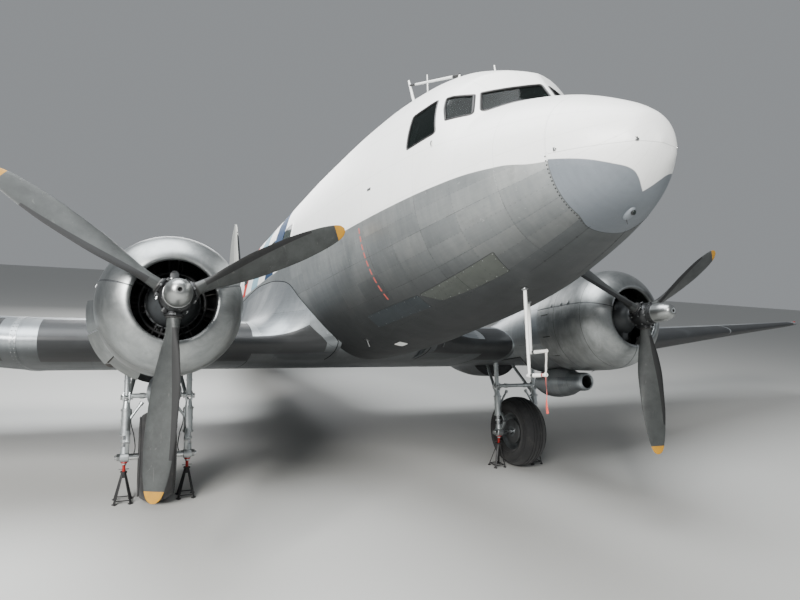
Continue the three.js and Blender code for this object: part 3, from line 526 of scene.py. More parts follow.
# columns: station s, half width, height of the widest line, top, bottom
HULL = [
    (0, 0, -.042, -.042, -.042), (.04, .170, -.020, .160, -.141), (.12, .268, .004, .257, -.249), (.3, .428, .028, .389, -.400),
    (.6, .603, .060, .556, -.552), (1.0, .753, .097, .707, -.701), (1.5, .889, .139, .850, -.852), (2.0, .988, .172, 1.017, -.956),
    (2.85, 1.099, .190, 1.240, -1.062), (4.0, 1.190, .170, 1.440, -1.190), (5.0, 1.250, .150, 1.495, -1.240), (6.5, 1.270, .140, 1.505, -1.262),
    (8.5, 1.258, .150, 1.495, -1.245), (10.0, 1.200, .165, 1.455, -1.150), (12.0, 1.030, .210, 1.330, -.900), (14.0, .775, .300, 1.150, -.530),
    (16.0, .480, .390, .975, -.130), (17.2, .270, .470, .860, .110), (18.0, .110, .510, .790, .270), (18.3, .060, .520, .715, .330)]
ROOF = [(1.0, .987), (1.2, 1.065), (1.45, 1.201), (1.8, 1.359), (2.2, 1.458), (2.85, 1.535), (3.6, 1.560), (4.5, 1.545), (5.5, 1.520), (6.5, 1.505)]
SCREEN_S, SCREEN_RUN, SWEEP, POWER = 0.985, 0.240, 0.42, 2.15
_hs = [r[0] for r in HULL]
hW, hM, hT, hB = (pchip(_hs, [r[k] for r in HULL]) for k in (1, 2, 3, 4))
rT = pchip([r[0] for r in ROOF], [r[1] for r in ROOF])


def hull_point(c, a, inset=0.0, swept=0.0):
    """point of the fuselage's surface at ring c and angle a; swept slants the ring with the windscreen"""
    e = 2 / POWER
    ca, sa = math.cos(a), math.sin(a)
    ce = math.copysign(abs(ca) ** e, ca)
    s = c
    x = 0.0
    for _ in range(5 if swept else 1):
        w = max(hW(min(max(s, 0), 18.3)) - inset, 0.001)
        x = w * ce
        s = c + SWEEP * swept * abs(x)
    ss = min(max(s, 0), 18.3)
    m, b, t = hM(ss), hB(ss) + inset, hT(ss)
    if s > SCREEN_S - 0.001:
        u = min(max((s - inset * 0.9 - SCREEN_S - SWEEP * abs(x)) / SCREEN_RUN, 0), 1)
        t = t + (max(rT(ss), t) - t) * u
    t -= inset
    h = m + (t - m) * abs(sa) ** e if sa >= 0 else m - (m - b) * abs(sa) ** e
    return (x, s, h)


def swept_at(c):
    if c <= 0.52 or c >= 2.4:
        return 0.0
    if c < 0.97:
        t = (c - 0.52) / 0.45
    elif c > 1.24:
        t = (2.4 - c) / 1.16
    else:
        t = 1.0
    return t * t * (3 - 2 * t)


def hull_half(s, h):
    """half width of the fuselage at station s and height h"""
    m = hM(s)
    if 1.0 < s < 1.75 and h > m:
        lo, hi = 0.0, hW(s)
        for _ in range(30):
            x = (lo + hi) / 2
            u = min(max((s - SCREEN_S - SWEEP * x) / SCREEN_RUN, 0), 1)
            t = hT(s) + (max(rT(s), hT(s)) - hT(s)) * u
            if h < t and (x / hW(s)) ** POWER + ((h - m) / (t - m)) ** POWER < 1:
                lo = x
            else:
                hi = x
        return lo
    top = max(hT(s), rT(s)) if s > 1.0 else hT(s)
    v = (h - m) / (top - m) if h >= m else (m - h) / (m - hB(s))
    return 0.0 if v >= 1 else hW(s) * (1 - v**POWER) ** (1 / POWER)


def stations(s0, s1, step):
    n = max(2, int(round((s1 - s0) / step)) + 1)
    return list(np.linspace(s0, s1, n))


def shell(cs, n, wall, inset=0.0, cap=False):
    """fuselage barrel through rings cs; hollow if wall is given"""
    b = Build()
    ang = [k / n * 2 * PI for k in range(n)]
    outer = [[hull_point(c, a, inset, swept_at(c)) for a in ang] for c in cs]
    if not wall:
        return b.grid(outer, 0)
    n2 = n // 2
    ang2 = [k / n * 2 * PI for k in range(n)]
    inner = [[hull_point(c, a, inset + wall, swept_at(c)) for a in ang2] for c in cs]
    # the rims are flat: the inner ring keeps the outer ring's station
    inner[0] = [(p[0], outer[0][k][1], p[2]) for k, p in enumerate(inner[0])]
    inner[-1] = [(p[0], outer[-1][k][1], p[2]) for k, p in enumerate(inner[-1])]
    rows = outer + inner[::-1]
    verts = [p for r in rows for p in r]
    faces = []
    R = len(rows)
    for i in range(R):
        j = (i + 1) % R
        mi = 0 if i < len(cs) - 1 else 1
        for k in range(n):
            a_, b_ = i * n + k, i * n + (k + 1) % n
            c_, d_ = j * n + (k + 1) % n, j * n + k
            faces.append((a_, b_, c_, d_))
            b.m.append(mi)
    b.v, b.f = [tuple(p) for p in verts], faces
    return b


# ------------------------------------------------------------------ materials
def skin_bump(M, s, v, seam_s, seam_v, rivet_s, rivet_v):
    """lap joints and rivet rows over two surface coordinates; returns (height, groove mask, rivet mask)"""
    wob = M.mul(M.sub(M.noise(0.9, 2.0, 0.5), 0.5), 0.02)
    s, v = M.add(s, wob), M.add(v, wob)
    gs = M.lines(s, seam_s, 0.007)
    gv = M.lines(v, seam_v, 0.007, 0.07)
    groove = M.mx(gs, gv)
    ds = M.math("PINGPONG", s, rivet_s / 2)
    dv = M.math("PINGPONG", M.add(v, 0.07), rivet_v / 2)
    r1 = M.dots(v, ds, 0.046, 0.0075)
    r2 = M.dots(s, dv, 0.046, 0.0075)
    rivets = M.mx(r1, r2)
    height = M.sub(M.mul(rivets, 0.5), M.mul(groove, 0.45))
    return height, groove, rivets


def panel_tone(M, s, v, ps, pv, seed=0.0):
    """one value for each sheet, its rows staggered like brickwork"""
    row = M.math("FLOOR", M.math("DIVIDE", M.add(v, 0.07), pv))
    a = M.math("FLOOR", M.add(M.math("DIVIDE", s, ps), M.mul(row, 0.37 if seed else 0.0)))
    side = M.add(M.math("SIGN", M.lv()[0]), seed)
    return M.white(M.vec(a, row, side))


def weathered(M, tone, s, v, height, groove, rivets, low, mid, high, rough, shade_h=None):
    """oxidised bare aluminium: tone by sheet, cloudy stains, vertical streaks, pale and dark specks, and painted shade
    that darkens downward-facing surfaces and wherever shade_h is given
    """
    big = M.noise(1.6, 5.0, 0.62)
    cloud = M.noise(5.5, 6.0, 0.68)
    streak = M.noise(1.0, 5.0, 0.62, M.vec(M.mul(s, 14.0), M.mul(v, 2.2), 0.0), 0.5)
    grain = M.noise(1.0, 4.0, 0.6, M.vec(M.mul(s, 2.5), M.mul(v, 30.0), 4.0), 0.3)
    t = M.add(M.add(M.mul(tone, 0.22), M.mul(big, 0.34)), M.add(M.mul(streak, 0.22), M.add(M.mul(grain, 0.10), M.mul(cloud, 0.12))))
    col = M.ramp(t, [(0.28, srgb(*low)), (0.5, srgb(*mid)), (0.72, srgb(*high))])
    stain = M.mul(M.ss(cloud, 0.56, 0.74), 0.30)
    col = M.mixc(stain, col, srgb(*(int(c * 0.68) for c in mid)))
    pale = M.mul(M.ss(M.noise(24.0, 4.0, 0.6), 0.66, 0.74), 0.45)
    col = M.mixc(pale, col, srgb(*(min(255, int(c * 1.14)) for c in high)))
    edge = M.mul(groove, M.add(0.10, M.mul(M.ss(M.noise(7.0, 3.0, 0.6), 0.4, 0.7), 0.42)))
    col = M.mixc(edge, col, srgb(*(int(c * 0.55) for c in low)))
    col = M.mixc(M.mul(rivets, 0.22), col, srgb(*(int(c * 0.74) for c in low)))
    # painted shade: where shade_h is given, the colour darkens towards 0.40 of the low tone
    if shade_h is not None:
        col = M.mixc(shade_h, col, srgb(*(int(c * 0.40) for c in low)))
    # painted shade: downward-facing surfaces darkened towards a third of the low tone, blotchy with noise
    under = M.mul(M.down(), M.add(0.66, M.mul(M.sub(big, 0.5), 0.5)))
    col = M.mixc(under, col, srgb(*(int(c * 0.33) for c in low)))
    r = M.add(rough, M.add(M.mul(under, 0.15), M.add(M.mul(tone, 0.08), M.mul(M.sub(big, 0.5), 0.16))))
    return col, r


def fuselage_material():
    M = Mat("skin_fuselage")
    x, s, h = M.lv()
    ax = M.math("ABSOLUTE", x)
    ang = M.math("ARCTAN2", M.sub(h, 0.12), ax)
    v = M.mul(ang, 1.28)
    height, groove, rivets = skin_bump(M, s, v, 0.92, 0.46, 0.46, 0.23)
    tone = M.add(M.mul(panel_tone(M, s, v, 0.46, 0.23), 0.5), M.mul(panel_tone(M, s, v, 1.38, 0.46, 7.0), 0.5))
    # paint boundaries: white above, bare below, a dull grey panel under the nose
    joint = M.sub(s, M.mul(M.ss(M.mul(h, -1.0), 0.43, 0.53), 0.045))
    cap = M.sub(1.0, M.ss(joint, 0.510, 0.514))
    low_main = M.sub(M.curve(M.math("DIVIDE", s, 2.0, clamp=True), [
        (0.25, 0.19), (0.28, 0.205), (0.325, 0.25), (0.375, 0.337), (0.425, 0.41), (0.475, 0.45), (0.55, 0.505), (0.625, 0.54), (0.75, 0.56), (1.0, 0.57)]), 0.5)
    low_main = M.add(M.mul(low_main, 0.30), M.add(0.018, M.mul(M.ss(s, 3.0, 8.0), 0.05)))
    low_nose = M.sub(M.curve(M.math("DIVIDE", ax, 0.6, clamp=True), [
        (0.0, 0.172), (0.067, 0.198), (0.167, 0.244), (0.25, 0.278), (0.5, 0.336), (0.717, 0.392), (0.917, 0.438), (1.0, 0.456)]), 0.5)
    edge = M.mixf(cap, low_main, low_nose)
    white = M.ss(M.sub(h, edge), -0.003, 0.003)
    big = M.noise(1.4, 4.0, 0.6)
    fine = M.noise(38.0, 3.0, 0.6)
    # bare metal, darkened towards the underside by painted shade, blotchy with noise
    belly_painted_shade = M.mul(M.ss(M.mul(M.add(h, M.mul(M.sub(big, 0.5), 0.3)), -1.0), 0.06, 0.98), 0.86)
    metal, metal_r = weathered(M, tone, s, v, height, groove, rivets, (132, 137, 140), (165, 169, 170), (196, 198, 196), 0.42, belly_painted_shade)
    # dull grey nose panel, darkened towards its bottom by painted shade
    brushed = M.noise(1.0, 4.0, 0.6, M.vec(M.mul(s, 30.0), M.mul(v, 3.0), 0.0))
    grey = M.mixc(M.add(M.mul(big, 0.4), M.mul(brushed, 0.4)), srgb(132, 139, 146), srgb(98, 104, 111))
    # painted shade: the grey darkens as h falls from -0.25 to -0.5
    grey = M.mixc(M.mul(M.ss(M.mul(h, -1.0), 0.25, 0.5), 0.5), grey, srgb(66, 70, 75))
    metal = M.mixc(cap, metal, grey)
    metal_r = M.mixf(cap, metal_r, M.add(0.38, M.mul(fine, 0.1)))
    # stripes: three curved bands behind the cockpit
    hn = M.math("DIVIDE", h, 1.5, clamp=True)
    path = M.curve(hn, [(0.0, 0.62), (0.1, 0.45), (0.25, 0.15), (0.36, 0.02), (0.46, 0.04), (0.62, 0.22), (0.8, 0.45), (1.0, 0.62)])

    def band(offset, width):
        d = M.sub(s, M.add(offset, path))
        return M.mul(M.ss(d, -0.004, 0.004), M.sub(1.0, M.ss(d, width - 0.004, width + 0.004)))
    dark, pale, red = band(5.52, 0.60), band(6.72, 0.62), band(7.92, 0.34)
    paint = M.mixc(M.mul(M.ss(M.noise(2.6, 5.0, 0.7), 0.5, 0.8), 0.3), srgb(246, 247, 245), srgb(228, 229, 225))
    streak = M.mul(M.ss(M.noise(1.0, 4.0, 0.6, M.scaled((7.0, 7.0, 0.6))), 0.55, 0.8), 0.16)
    paint = M.mixc(streak, paint, srgb(206, 206, 199))
    paint = M.mixc(dark, paint, srgb(44, 64, 92))
    paint = M.mixc(pale, paint, srgb(138, 170, 184))
    paint = M.mixc(red, paint, srgb(188, 66, 60))
    tint = M.mul(white, M.mx(dark, M.mx(pale, red)))
    seamw = M.mx(M.mul(groove, 0.16), M.mul(M.sub(1.0, M.ss(M.math("ABSOLUTE", M.add(h, M.add(0.055, M.mul(s, -0.06)))), 0.0015, 0.0035)), M.mul(M.sub(1.0, M.ss(s, 0.50, 0.51)), 0.5)))
    paint = M.mixc(seamw, paint, srgb(150, 150, 148))
    paint = M.mixc(M.mul(rivets, 0.05), paint, srgb(170, 170, 168))
    # row of short red marks beside the propellers
    run = M.mul(M.ss(h, -0.76, -0.755), M.sub(1.0, M.ss(h, 0.0, 0.005)))
    near = M.sub(1.0, M.ss(M.math("ABSOLUTE", M.sub(s, 2.845)), 0.009, 0.013))
    marks = M.mul(near, M.mul(M.ss(M.math("PINGPONG", h, 0.042), 0.010, 0.016), run))
    col = M.mixc(white, metal, paint)
    col = M.mixc(M.mul(marks, 0.85), col, srgb(206, 84, 72))
    lap = M.mul(M.sub(1.0, M.ss(M.math("ABSOLUTE", M.sub(joint, 0.514)), 0.002, 0.004)), 0.55)
    col = M.mixc(M.mul(lap, M.sub(1.0, M.mul(white, 0.75))), col, srgb(46, 48, 50))
    M.set(color=col, metal=M.mul(M.sub(1.0, white), M.mul(M.sub(0.82, M.mul(cap, 0.45)), M.sub(1.0, M.mul(marks, 0.8)))),
          rough=M.mixf(white, metal_r, M.add(M.mul(tint, 0.22), M.add(0.30, M.mul(fine, 0.10)))), spec=M.mixf(tint, 0.5, 0.10))
    tiny = M.mul(M.noise(3.2, 2.0, 0.5, M.scaled((1.0, 1.6, 1.6))), 0.9)
    dents = M.bump(tiny, 0.006, 0.5)
    M.set(normal=M.bump(height, 0.0014, 1.0, dents))
    return M


def metal_material(name, seam=(0.62, 0.55), rivet=(0.31, 0.2), base=(160, 165, 168), dark=(126, 132, 136), light=(190, 193, 194), rough=0.36, axes="xs"):
    """riveted sheet over two level coordinates"""
    M = Mat(name)
    lv = dict(zip("xsh", M.lv()))
    a, b = lv[axes[0]], lv[axes[1]]
    height, groove, rivets = skin_bump(M, a, b, seam[0], seam[1], rivet[0], rivet[1])
    tone = panel_tone(M, a, b, seam[0], seam[1], 3.0)
    col, r = weathered(M, tone, a, b, height, groove, rivets, dark, base, light, rough)
    M.set(color=col, metal=0.85, rough=r, normal=M.bump(height, 0.0014, 1.0, M.bump(M.noise(3.0, 2.0), 0.005, 0.5)))
    return M


def plain_metal(name, col, rough=0.35, metal=1.0, scale=6.0, dirt=(90, 90, 86), amount=0.35, aniso=None):
    M = Mat(name)
    n1 = M.noise(scale, 6.0, 0.65)
    n2 = M.noise(scale * 9, 3.0, 0.6)
    c = M.mixc(M.mul(M.ss(n1, 0.48, 0.75), amount), srgb(*col), srgb(*dirt))
    M.set(color=c, metal=metal, rough=M.add(rough - 0.06, M.mul(n2, 0.16)), normal=M.bump(n2, 0.0006, 0.5))
    return M


def paint_material(name, col, worn, rough=0.42, scale=4.0, amount=0.4, coat=0.0):
    M = Mat(name)
    n1 = M.noise(scale, 6.0, 0.7)
    n2 = M.noise(scale * 14, 3.0, 0.6)
    c = M.mixc(M.mul(M.ss(n1, 0.45, 0.78), amount), srgb(*col), srgb(*worn))
    M.set(color=c, metal=0.0, rough=M.add(rough - 0.05, M.mul(n2, 0.14)), normal=M.bump(n2, 0.0006, 0.5))
    if coat:
        M.set(coat=coat)
    return M


def cowl_material():
    M = Mat("skin_cowl")
    x, s, h = M.lv()
    cx = M.sub(M.math("ABSOLUTE", x), 2.82)
    cz = M.sub(h, -0.8)
    ang = M.math("ARCTAN2", cz, cx)
    swirl = M.noise(1.0, 6.0, 0.7, M.vec(M.mul(ang, 2.6), M.mul(s, 9.0), M.mul(M.math("SIGN", x), 3.0)), 0.6)
    big = M.noise(2.2, 5.0, 0.65)
    col = M.ramp(M.add(M.mul(swirl, 0.6), M.mul(big, 0.4)), [(0.25, srgb(112, 115, 116)), (0.5, srgb(146, 149, 149)), (0.8, srgb(180, 182, 181))])
    rivet = M.mx(M.dots(M.mul(ang, 0.69), M.sub(s, 3.86), 0.05, 0.008), M.dots(M.mul(ang, 0.69), M.sub(s, 4.14), 0.05, 0.008))
    seam = M.sub(1.0, M.ss(M.math("ABSOLUTE", M.sub(s, 3.80)), 0.002, 0.005))
    seam = M.mx(seam, M.sub(1.0, M.ss(M.math("ABSOLUTE", M.sub(s, 3.30)), 0.0015, 0.004)))
    for deg in (17, 163, -90):
        d = M.math("ABSOLUTE", M.sub(ang, math.radians(deg)))
        seam = M.mx(seam, M.sub(1.0, M.ss(d, 0.010, 0.015)))
    col = M.mixc(M.mul(seam, 0.85), col, srgb(52, 54, 56))
    stain = M.mul(M.ss(M.noise(3.4, 6.0, 0.75), 0.55, 0.75), 0.3)
    col = M.mixc(stain, col, srgb(120, 120, 116))
    M.set(color=col, metal=1.0, rough=M.add(0.27, M.mul(M.add(swirl, big), 0.12)),
          normal=M.bump(M.sub(M.mul(rivet, 0.6), seam), 0.0015, 1.0, M.bump(M.noise(4.0, 3.0), 0.006, 0.5)))
    return M


def blade_material():
    M = Mat("blade_paint")
    n1 = M.noise(5.0, 7.0, 0.7)
    n2 = M.noise(60.0, 4.0, 0.65)
    scr = M.noise(1.0, 5.0, 0.7, M.scaled((26.0, 26.0, 5.0)), 1.0)
    # blade grey: the paint's own colour, set darker still as painted shade of the backlit blades
    c = M.mixc(M.ss(n1, 0.3, 0.75), srgb(66, 69, 68), srgb(49, 51, 51))
    c = M.mixc(M.mul(M.ss(scr, 0.60, 0.72), 0.42), c, srgb(106, 107, 103))
    c = M.mixc(M.mul(M.ss(n2, 0.62, 0.74), 0.35), c, srgb(40, 42, 42))
    # rubber strip bonded along each blade's leading edge, from the root to two thirds out
    x, s, h = M.lv()
    side = M.math("SIGN", x)
    cx = M.sub(x, M.mul(side, 2.82))
    cz = M.sub(h, -0.8)
    base = M.add(math.radians(28.75), M.mul(side, math.radians(3.15)))
    turn = M.sub(M.math("ARCTAN2", cz, cx), base)
    third = 2 * PI / 3
    turn = M.sub(M.math("MODULO", M.add(turn, third * 4.5), third), third / 2)
    rad = M.math("SQRT", M.add(M.mul(cx, cx), M.mul(cz, cz)))
    out, across = M.mul(rad, M.math("COSINE", turn)), M.mul(rad, M.math("SINE", turn))
    start = M.curve(M.math("DIVIDE", out, 2.0, clamp=True), [(0.13, 0.080), (0.16, 0.092), (0.26, 0.130), (0.41, 0.198), (0.575, 0.252), (0.70, 0.272)])
    start = M.math("DIVIDE", M.sub(start, 0.1), 2.0)
    strip = M.mul(M.ss(M.sub(across, start), -0.0015, 0.0015), M.mul(M.ss(out, 0.272, 0.276), M.sub(1.0, M.ss(out, 1.396, 1.400))))
    rubber = M.mixc(M.mul(M.ss(n1, 0.45, 0.8), 0.4), srgb(15, 16, 17), srgb(40, 40, 38))
    c = M.mixc(strip, c, rubber)
    M.set(color=c, metal=M.mul(M.sub(1.0, strip), 0.25), rough=M.add(M.add(0.38, M.mul(strip, 0.2)), M.mul(n1, 0.16)),
          normal=M.bump(M.add(M.mul(n2, 0.4), strip), 0.0008, 0.6))
    return M


def dome_material():
    M = Mat("metal_dome")
    n1 = M.noise(4.0, 6.0, 0.65)
    n2 = M.noise(30.0, 4.0, 0.6)
    c = M.mixc(M.mul(M.ss(n1, 0.42, 0.75), 0.5), srgb(158, 160, 159), srgb(112, 113, 111))
    c = M.mixc(M.mul(M.ss(n2, 0.62, 0.72), 0.25), c, srgb(92, 92, 88))
    M.set(color=c, metal=1.0, rough=M.add(0.30, M.mul(n1, 0.12)), normal=M.bump(n1, 0.0015, 0.25))
    return M


def rubber_material(name="rubber_tyre", col=(34, 34, 35)):
    M = Mat(name)
    n1 = M.noise(7.0, 6.0, 0.7)
    n2 = M.noise(120.0, 3.0, 0.6)
    c = M.mixc(M.mul(M.ss(n1, 0.45, 0.8), 0.5), srgb(*col), srgb(74, 72, 68))
    M.set(color=c, metal=0.0, rough=M.add(0.72, M.mul(n2, 0.18)), normal=M.bump(n2, 0.0008, 0.6), sheen=0.1)
    return M


def boot_material():
    M = Mat("rubber_boot")
    x, s, h = M.lv()
    n1 = M.noise(3.0, 6.0, 0.7)
    n2 = M.noise(60.0, 3.0, 0.6)
    tubes = M.lines(h, 0.045, 0.02)
    c = M.mixc(M.mul(M.ss(n1, 0.45, 0.8), 0.5), srgb(30, 32, 34), srgb(62, 66, 68))
    M.set(color=c, metal=0.0, rough=M.add(0.40, M.mul(n1, 0.2)), normal=M.bump(M.add(M.mul(n2, 0.3), M.mul(tubes, 0.5)), 0.0015, 0.5))
    return M


def fabric_material(name, col, dark):
    M = Mat(name)
    w = M.n("ShaderNodeTexWave", wave_type="BANDS", bands_direction="X")
    w.inputs["Scale"].default_value = 180.0
    M.put(w.inputs["Vector"], M.obj())
    n1 = M.noise(9.0, 6.0, 0.7)
    c = M.mixc(M.mul(M.ss(n1, 0.4, 0.8), 0.6), srgb(*col), srgb(*dark))
    M.set(color=c, rough=0.82, sheen=0.3, normal=M.bump(M.add(w.outputs["Fac"], M.noise(200.0)), 0.0008, 0.5))
    return M


def glass_material():
    M = Mat("glass_tinted")
    n1 = M.noise(3.0, 4.0, 0.6)
    M.set(color=M.mixc(M.ss(n1, 0.4, 0.7), srgb(62, 70, 69), srgb(52, 59, 58)), metal=0.0, rough=M.add(0.03, M.mul(n1, 0.05)), trans=0.9, ior=1.12, spec=0.15)
    return M


def floor_material():
    M = Mat("studio_floor")
    M.set(color=srgb(184, 184, 181), rough=M.add(0.55, M.mul(M.noise(1.5, 3.0), 0.08)))
    return M


SKIN = fuselage_material()
WING = metal_material("skin_wing", (0.72, 0.62), (0.24, 0.155))
WING_BARE = metal_material("skin_nacelle", (0.42, 0.5), (0.21, 0.25), axes="sh")
TAILM = metal_material("skin_tail", (0.55, 0.5), (0.275, 0.25), base=(170, 174, 176))
FINM = paint_material("paint_fin", (226, 226, 219), (190, 190, 180), 0.45, 2.6, 0.55)
COWL = cowl_material()
BLADE_M = blade_material()
YELLOW = paint_material("paint_yellow", (172, 124, 22), (122, 90, 26), 0.52, 9.0, 0.5)
DOME_M = dome_material()
STEEL = plain_metal("metal_steel", (150, 152, 152), 0.3, 1.0, 14.0, (82, 78, 70), 0.5)
OLEO = plain_metal("metal_oleo", (214, 216, 216), 0.1, 1.0, 10.0, (170, 170, 168), 0.3)
GEARP = plain_metal("paint_gear", (176, 181, 182), 0.36, 0.85, 9.0, (96, 92, 84), 0.45)
DARK = plain_metal("metal_dark", (62, 63, 64), 0.5, 0.7, 12.0, (32, 31, 30), 0.6)
ENGINE_M = plain_metal("metal_engine", (78, 79, 80), 0.42, 0.8, 16.0, (30, 28, 26), 0.7)
BLACKP = paint_material("paint_black", (34, 34, 35), (72, 70, 68), 0.5, 12.0, 0.4)
RED = paint_material("paint_red", (164, 34, 28), (110, 40, 34), 0.45, 12.0, 0.4)
WHITEP = paint_material("paint_white", (232, 233, 230), (200, 200, 194), 0.38, 6.0, 0.35)
GREENP = paint_material("paint_interior", (104, 112, 84), (78, 82, 62), 0.65, 7.0, 0.5)
INNER = paint_material("paint_lining", (120, 126, 112), (92, 96, 84), 0.7, 5.0, 0.5)
RUBBER = rubber_material()
BOOT = boot_material()
GLASS = glass_material()
SEATF = fabric_material("leather_seat", (72, 62, 50), (48, 42, 34))


# ------------------------------------------------------------------ fuselage
NOSE_SEAM, COCKPIT_END, CABIN_END = 0.52, 3.95, 13.9
WALL, G = 0.08, 0.0003
DOOR_S0, DOOR_SM, DOOR_S1, DOOR_H0, DOOR_H1 = 11.25, 12.42, 13.33, -0.55, 1.06


def surface_angle(s, x, h):
    """angle on the ring at s of the point nearest to (x, h)"""
    best = (9, 0)
    for k in range(720):
        a = k / 720 * 2 * PI
        p = hull_point(s, a)
        d = (p[0] - x) ** 2 + (p[2] - h) ** 2
        if d < best[0]:
            best = (d, a)
    return best[1]


def front_s(x, h):
    """station of the windscreen's surface at x and height h"""
    lo, hi = 0.9, 2.0
    for _ in range(40):
        s = (lo + hi) / 2
        u = min(max((s - SCREEN_S - SWEEP * abs(x)) / SCREEN_RUN, 0), 1)
        t = hT(s) + (max(rT(s), hT(s)) - hT(s)) * u
        m = hM(s)
        v = (abs(x) / hW(s)) ** POWER + ((h - m) / (t - m)) ** POWER - 1
        if v < 0:
            hi = s
        else:
            lo = s
    return (lo + hi) / 2


def rounded(poly, r, n=5):
    """polygon with rounded corners"""
    out = []
    m = len(poly)
    for i in range(m):
        p0, p1, p2 = (Vector(poly[j % m]) for j in (i - 1, i, i + 1))
        a, b = (p0 - p1).normalized(), (p2 - p1).normalized()
        half = math.acos(max(-1, min(1, a.dot(b)))) / 2
        t = min(r / math.tan(half), (p0 - p1).length * 0.45, (p2 - p1).length * 0.45)
        q0, q1 = p1 + a * t, p1 + b * t
        for k in range(n + 1):
            w = k / n
            out.append(tuple((q0 * (1 - w) + p1 * w) * (1 - w) + (p1 * (1 - w) + q1 * w) * w))
    return out


def resample(poly, step):
    out = []
    m = len(poly)
    for i in range(m):
        a, b = Vector(poly[i]), Vector(poly[(i + 1) % m])
        k = max(1, int((b - a).length / step))
        for j in range(k):
            out.append(tuple(a + (b - a) * (j / k)))
    return out


def grown(poly, d):
    """outline moved outward by d (counter-clockwise or clockwise alike)"""
    m = len(poly)
    area = sum(poly[i][0] * poly[(i + 1) % m][1] - poly[(i + 1) % m][0] * poly[i][1] for i in range(m))
    sg = 1 if area > 0 else -1
    out = []
    for i in range(m):
        p0, p1, p2 = Vector(poly[i - 1]), Vector(poly[i]), Vector(poly[(i + 1) % m])
        t = ((p1 - p0).normalized() + (p2 - p1).normalized())
        t = t.normalized() if t.length > 1e-9 else (p2 - p0).normalized()
        out.append(tuple(p1 + Vector((t.y, -t.x)) * (d * sg)))
    return out


def side_at(side, off):
    """maps (s, h) on the side wall to a point, off outward"""
    def f(q):
        s, h = q
        x = hull_half(s, h)
        e = 0.004
        dxs = (hull_half(s + e, h) - hull_half(s - e, h)) / (2 * e)
        dxh = (hull_half(s, h + e) - hull_half(s, h - e)) / (2 * e)
        n = Vector((1, -dxs, -dxh)).normalized()
        return (side * (x + n.x * off), s + n.y * off, h + n.z * off)
    return f


def front_at(side, off):
    def f(q):
        x, h = q
        s = front_s(x, h)
        e = 0.004
        dsx = (front_s(x + e, h) - front_s(x - e, h)) / (2 * e)
        dsh = (front_s(x, h + e) - front_s(x, h - e)) / (2 * e)
        n = Vector((dsx, -1, dsh)).normalized()
        return (side * (x + n.x * off), s + n.y * off, h + n.z * off)
    return f


def patch(b, outline, at, off0, off1, mi=0, rings=4):
    """closed thin body over an outline: off0 is the near face and off1 the far one"""
    m = len(outline)
    c = Vector((sum(p[0] for p in outline) / m, sum(p[1] for p in outline) / m))
    verts, faces = [], []
    for off in (off0, off1):
        f = at(off)
        base = len(verts)
        for r in range(rings):
            w = 1 - r / rings
            verts += [f(tuple(c + (Vector(p) - c) * w)) for p in outline]
        verts.append(f(tuple(c)))
        flip = off == off1
        for r in range(rings - 1):
            for k in range(m):
                q = (base + r * m + k, base + r * m + (k + 1) % m, base + (r + 1) * m + (k + 1) % m, base + (r + 1) * m + k)
                faces.append(q[::-1] if flip else q)
        ce = base + rings * m
        for k in range(m):
            q = (base + (rings - 1) * m + k, base + (rings - 1) * m + (k + 1) % m, ce)
            faces.append(q[::-1] if flip else q)
    o2 = rings * m + 1
    for k in range(m):
        faces.append((k, o2 + k, o2 + (k + 1) % m, (k + 1) % m))
    return b.add(verts, faces, mi)


def rim(b, outline, at, w_in, w_out, off0, off1, mi=0, close=True):
    """raised frame along an outline"""
    a, c = grown(outline, -w_in), grown(outline, w_out)
    mid = grown(outline, (w_out - w_in) / 2)
    f0, f1 = at(off0), at(off1)
    fm = at(off1 + (off1 - off0) * 0.25)
    loops = [[f0(p) for p in a], [f1(p) for p in a], [fm(p) for p in mid], [f1(p) for p in c], [f0(p) for p in c]]
    m = len(outline)
    verts = [p for lp in loops for p in lp]
    faces = []
    nl = len(loops)
    for i in range(nl):
        j = (i + 1) % nl
        for k in range(m):
            faces.append((i * m + k, i * m + (k + 1) % m, j * m + (k + 1) % m, j * m + k))
    return b.add(verts, faces, mi)


def at_side(side):
    return lambda off: side_at(side, off)


def at_front(side):
    return lambda off: front_at(side, off)


SIDE_PANE = [(1.561, .521), (1.957, .498), (2.005, .865), (1.697, .912)]
QUARTER_PANE = [(1.290, .604), (1.503, .615), (1.601, .884), (1.374, .840)]
FRONT_PANE = [(.028, .738), (.600, .616), (.524, .853), (.028, .930)]
PANES = {"side": rounded(SIDE_PANE, 0.035), "quarter": rounded(QUARTER_PANE, 0.025), "front": rounded(FRONT_PANE, 0.03)}


def prism_object(outline, plane, c0, c1):
    b = Build()
    if plane == "sh":
        lo, hi = [(c0, s, h) for s, h in outline], [(c1, s, h) for s, h in outline]
    else:
        lo, hi = [(x, c0, h) for x, h in outline], [(x, c1, h) for x, h in outline]
    b.grid([lo, hi])
    return b.mesh("cutter", [])


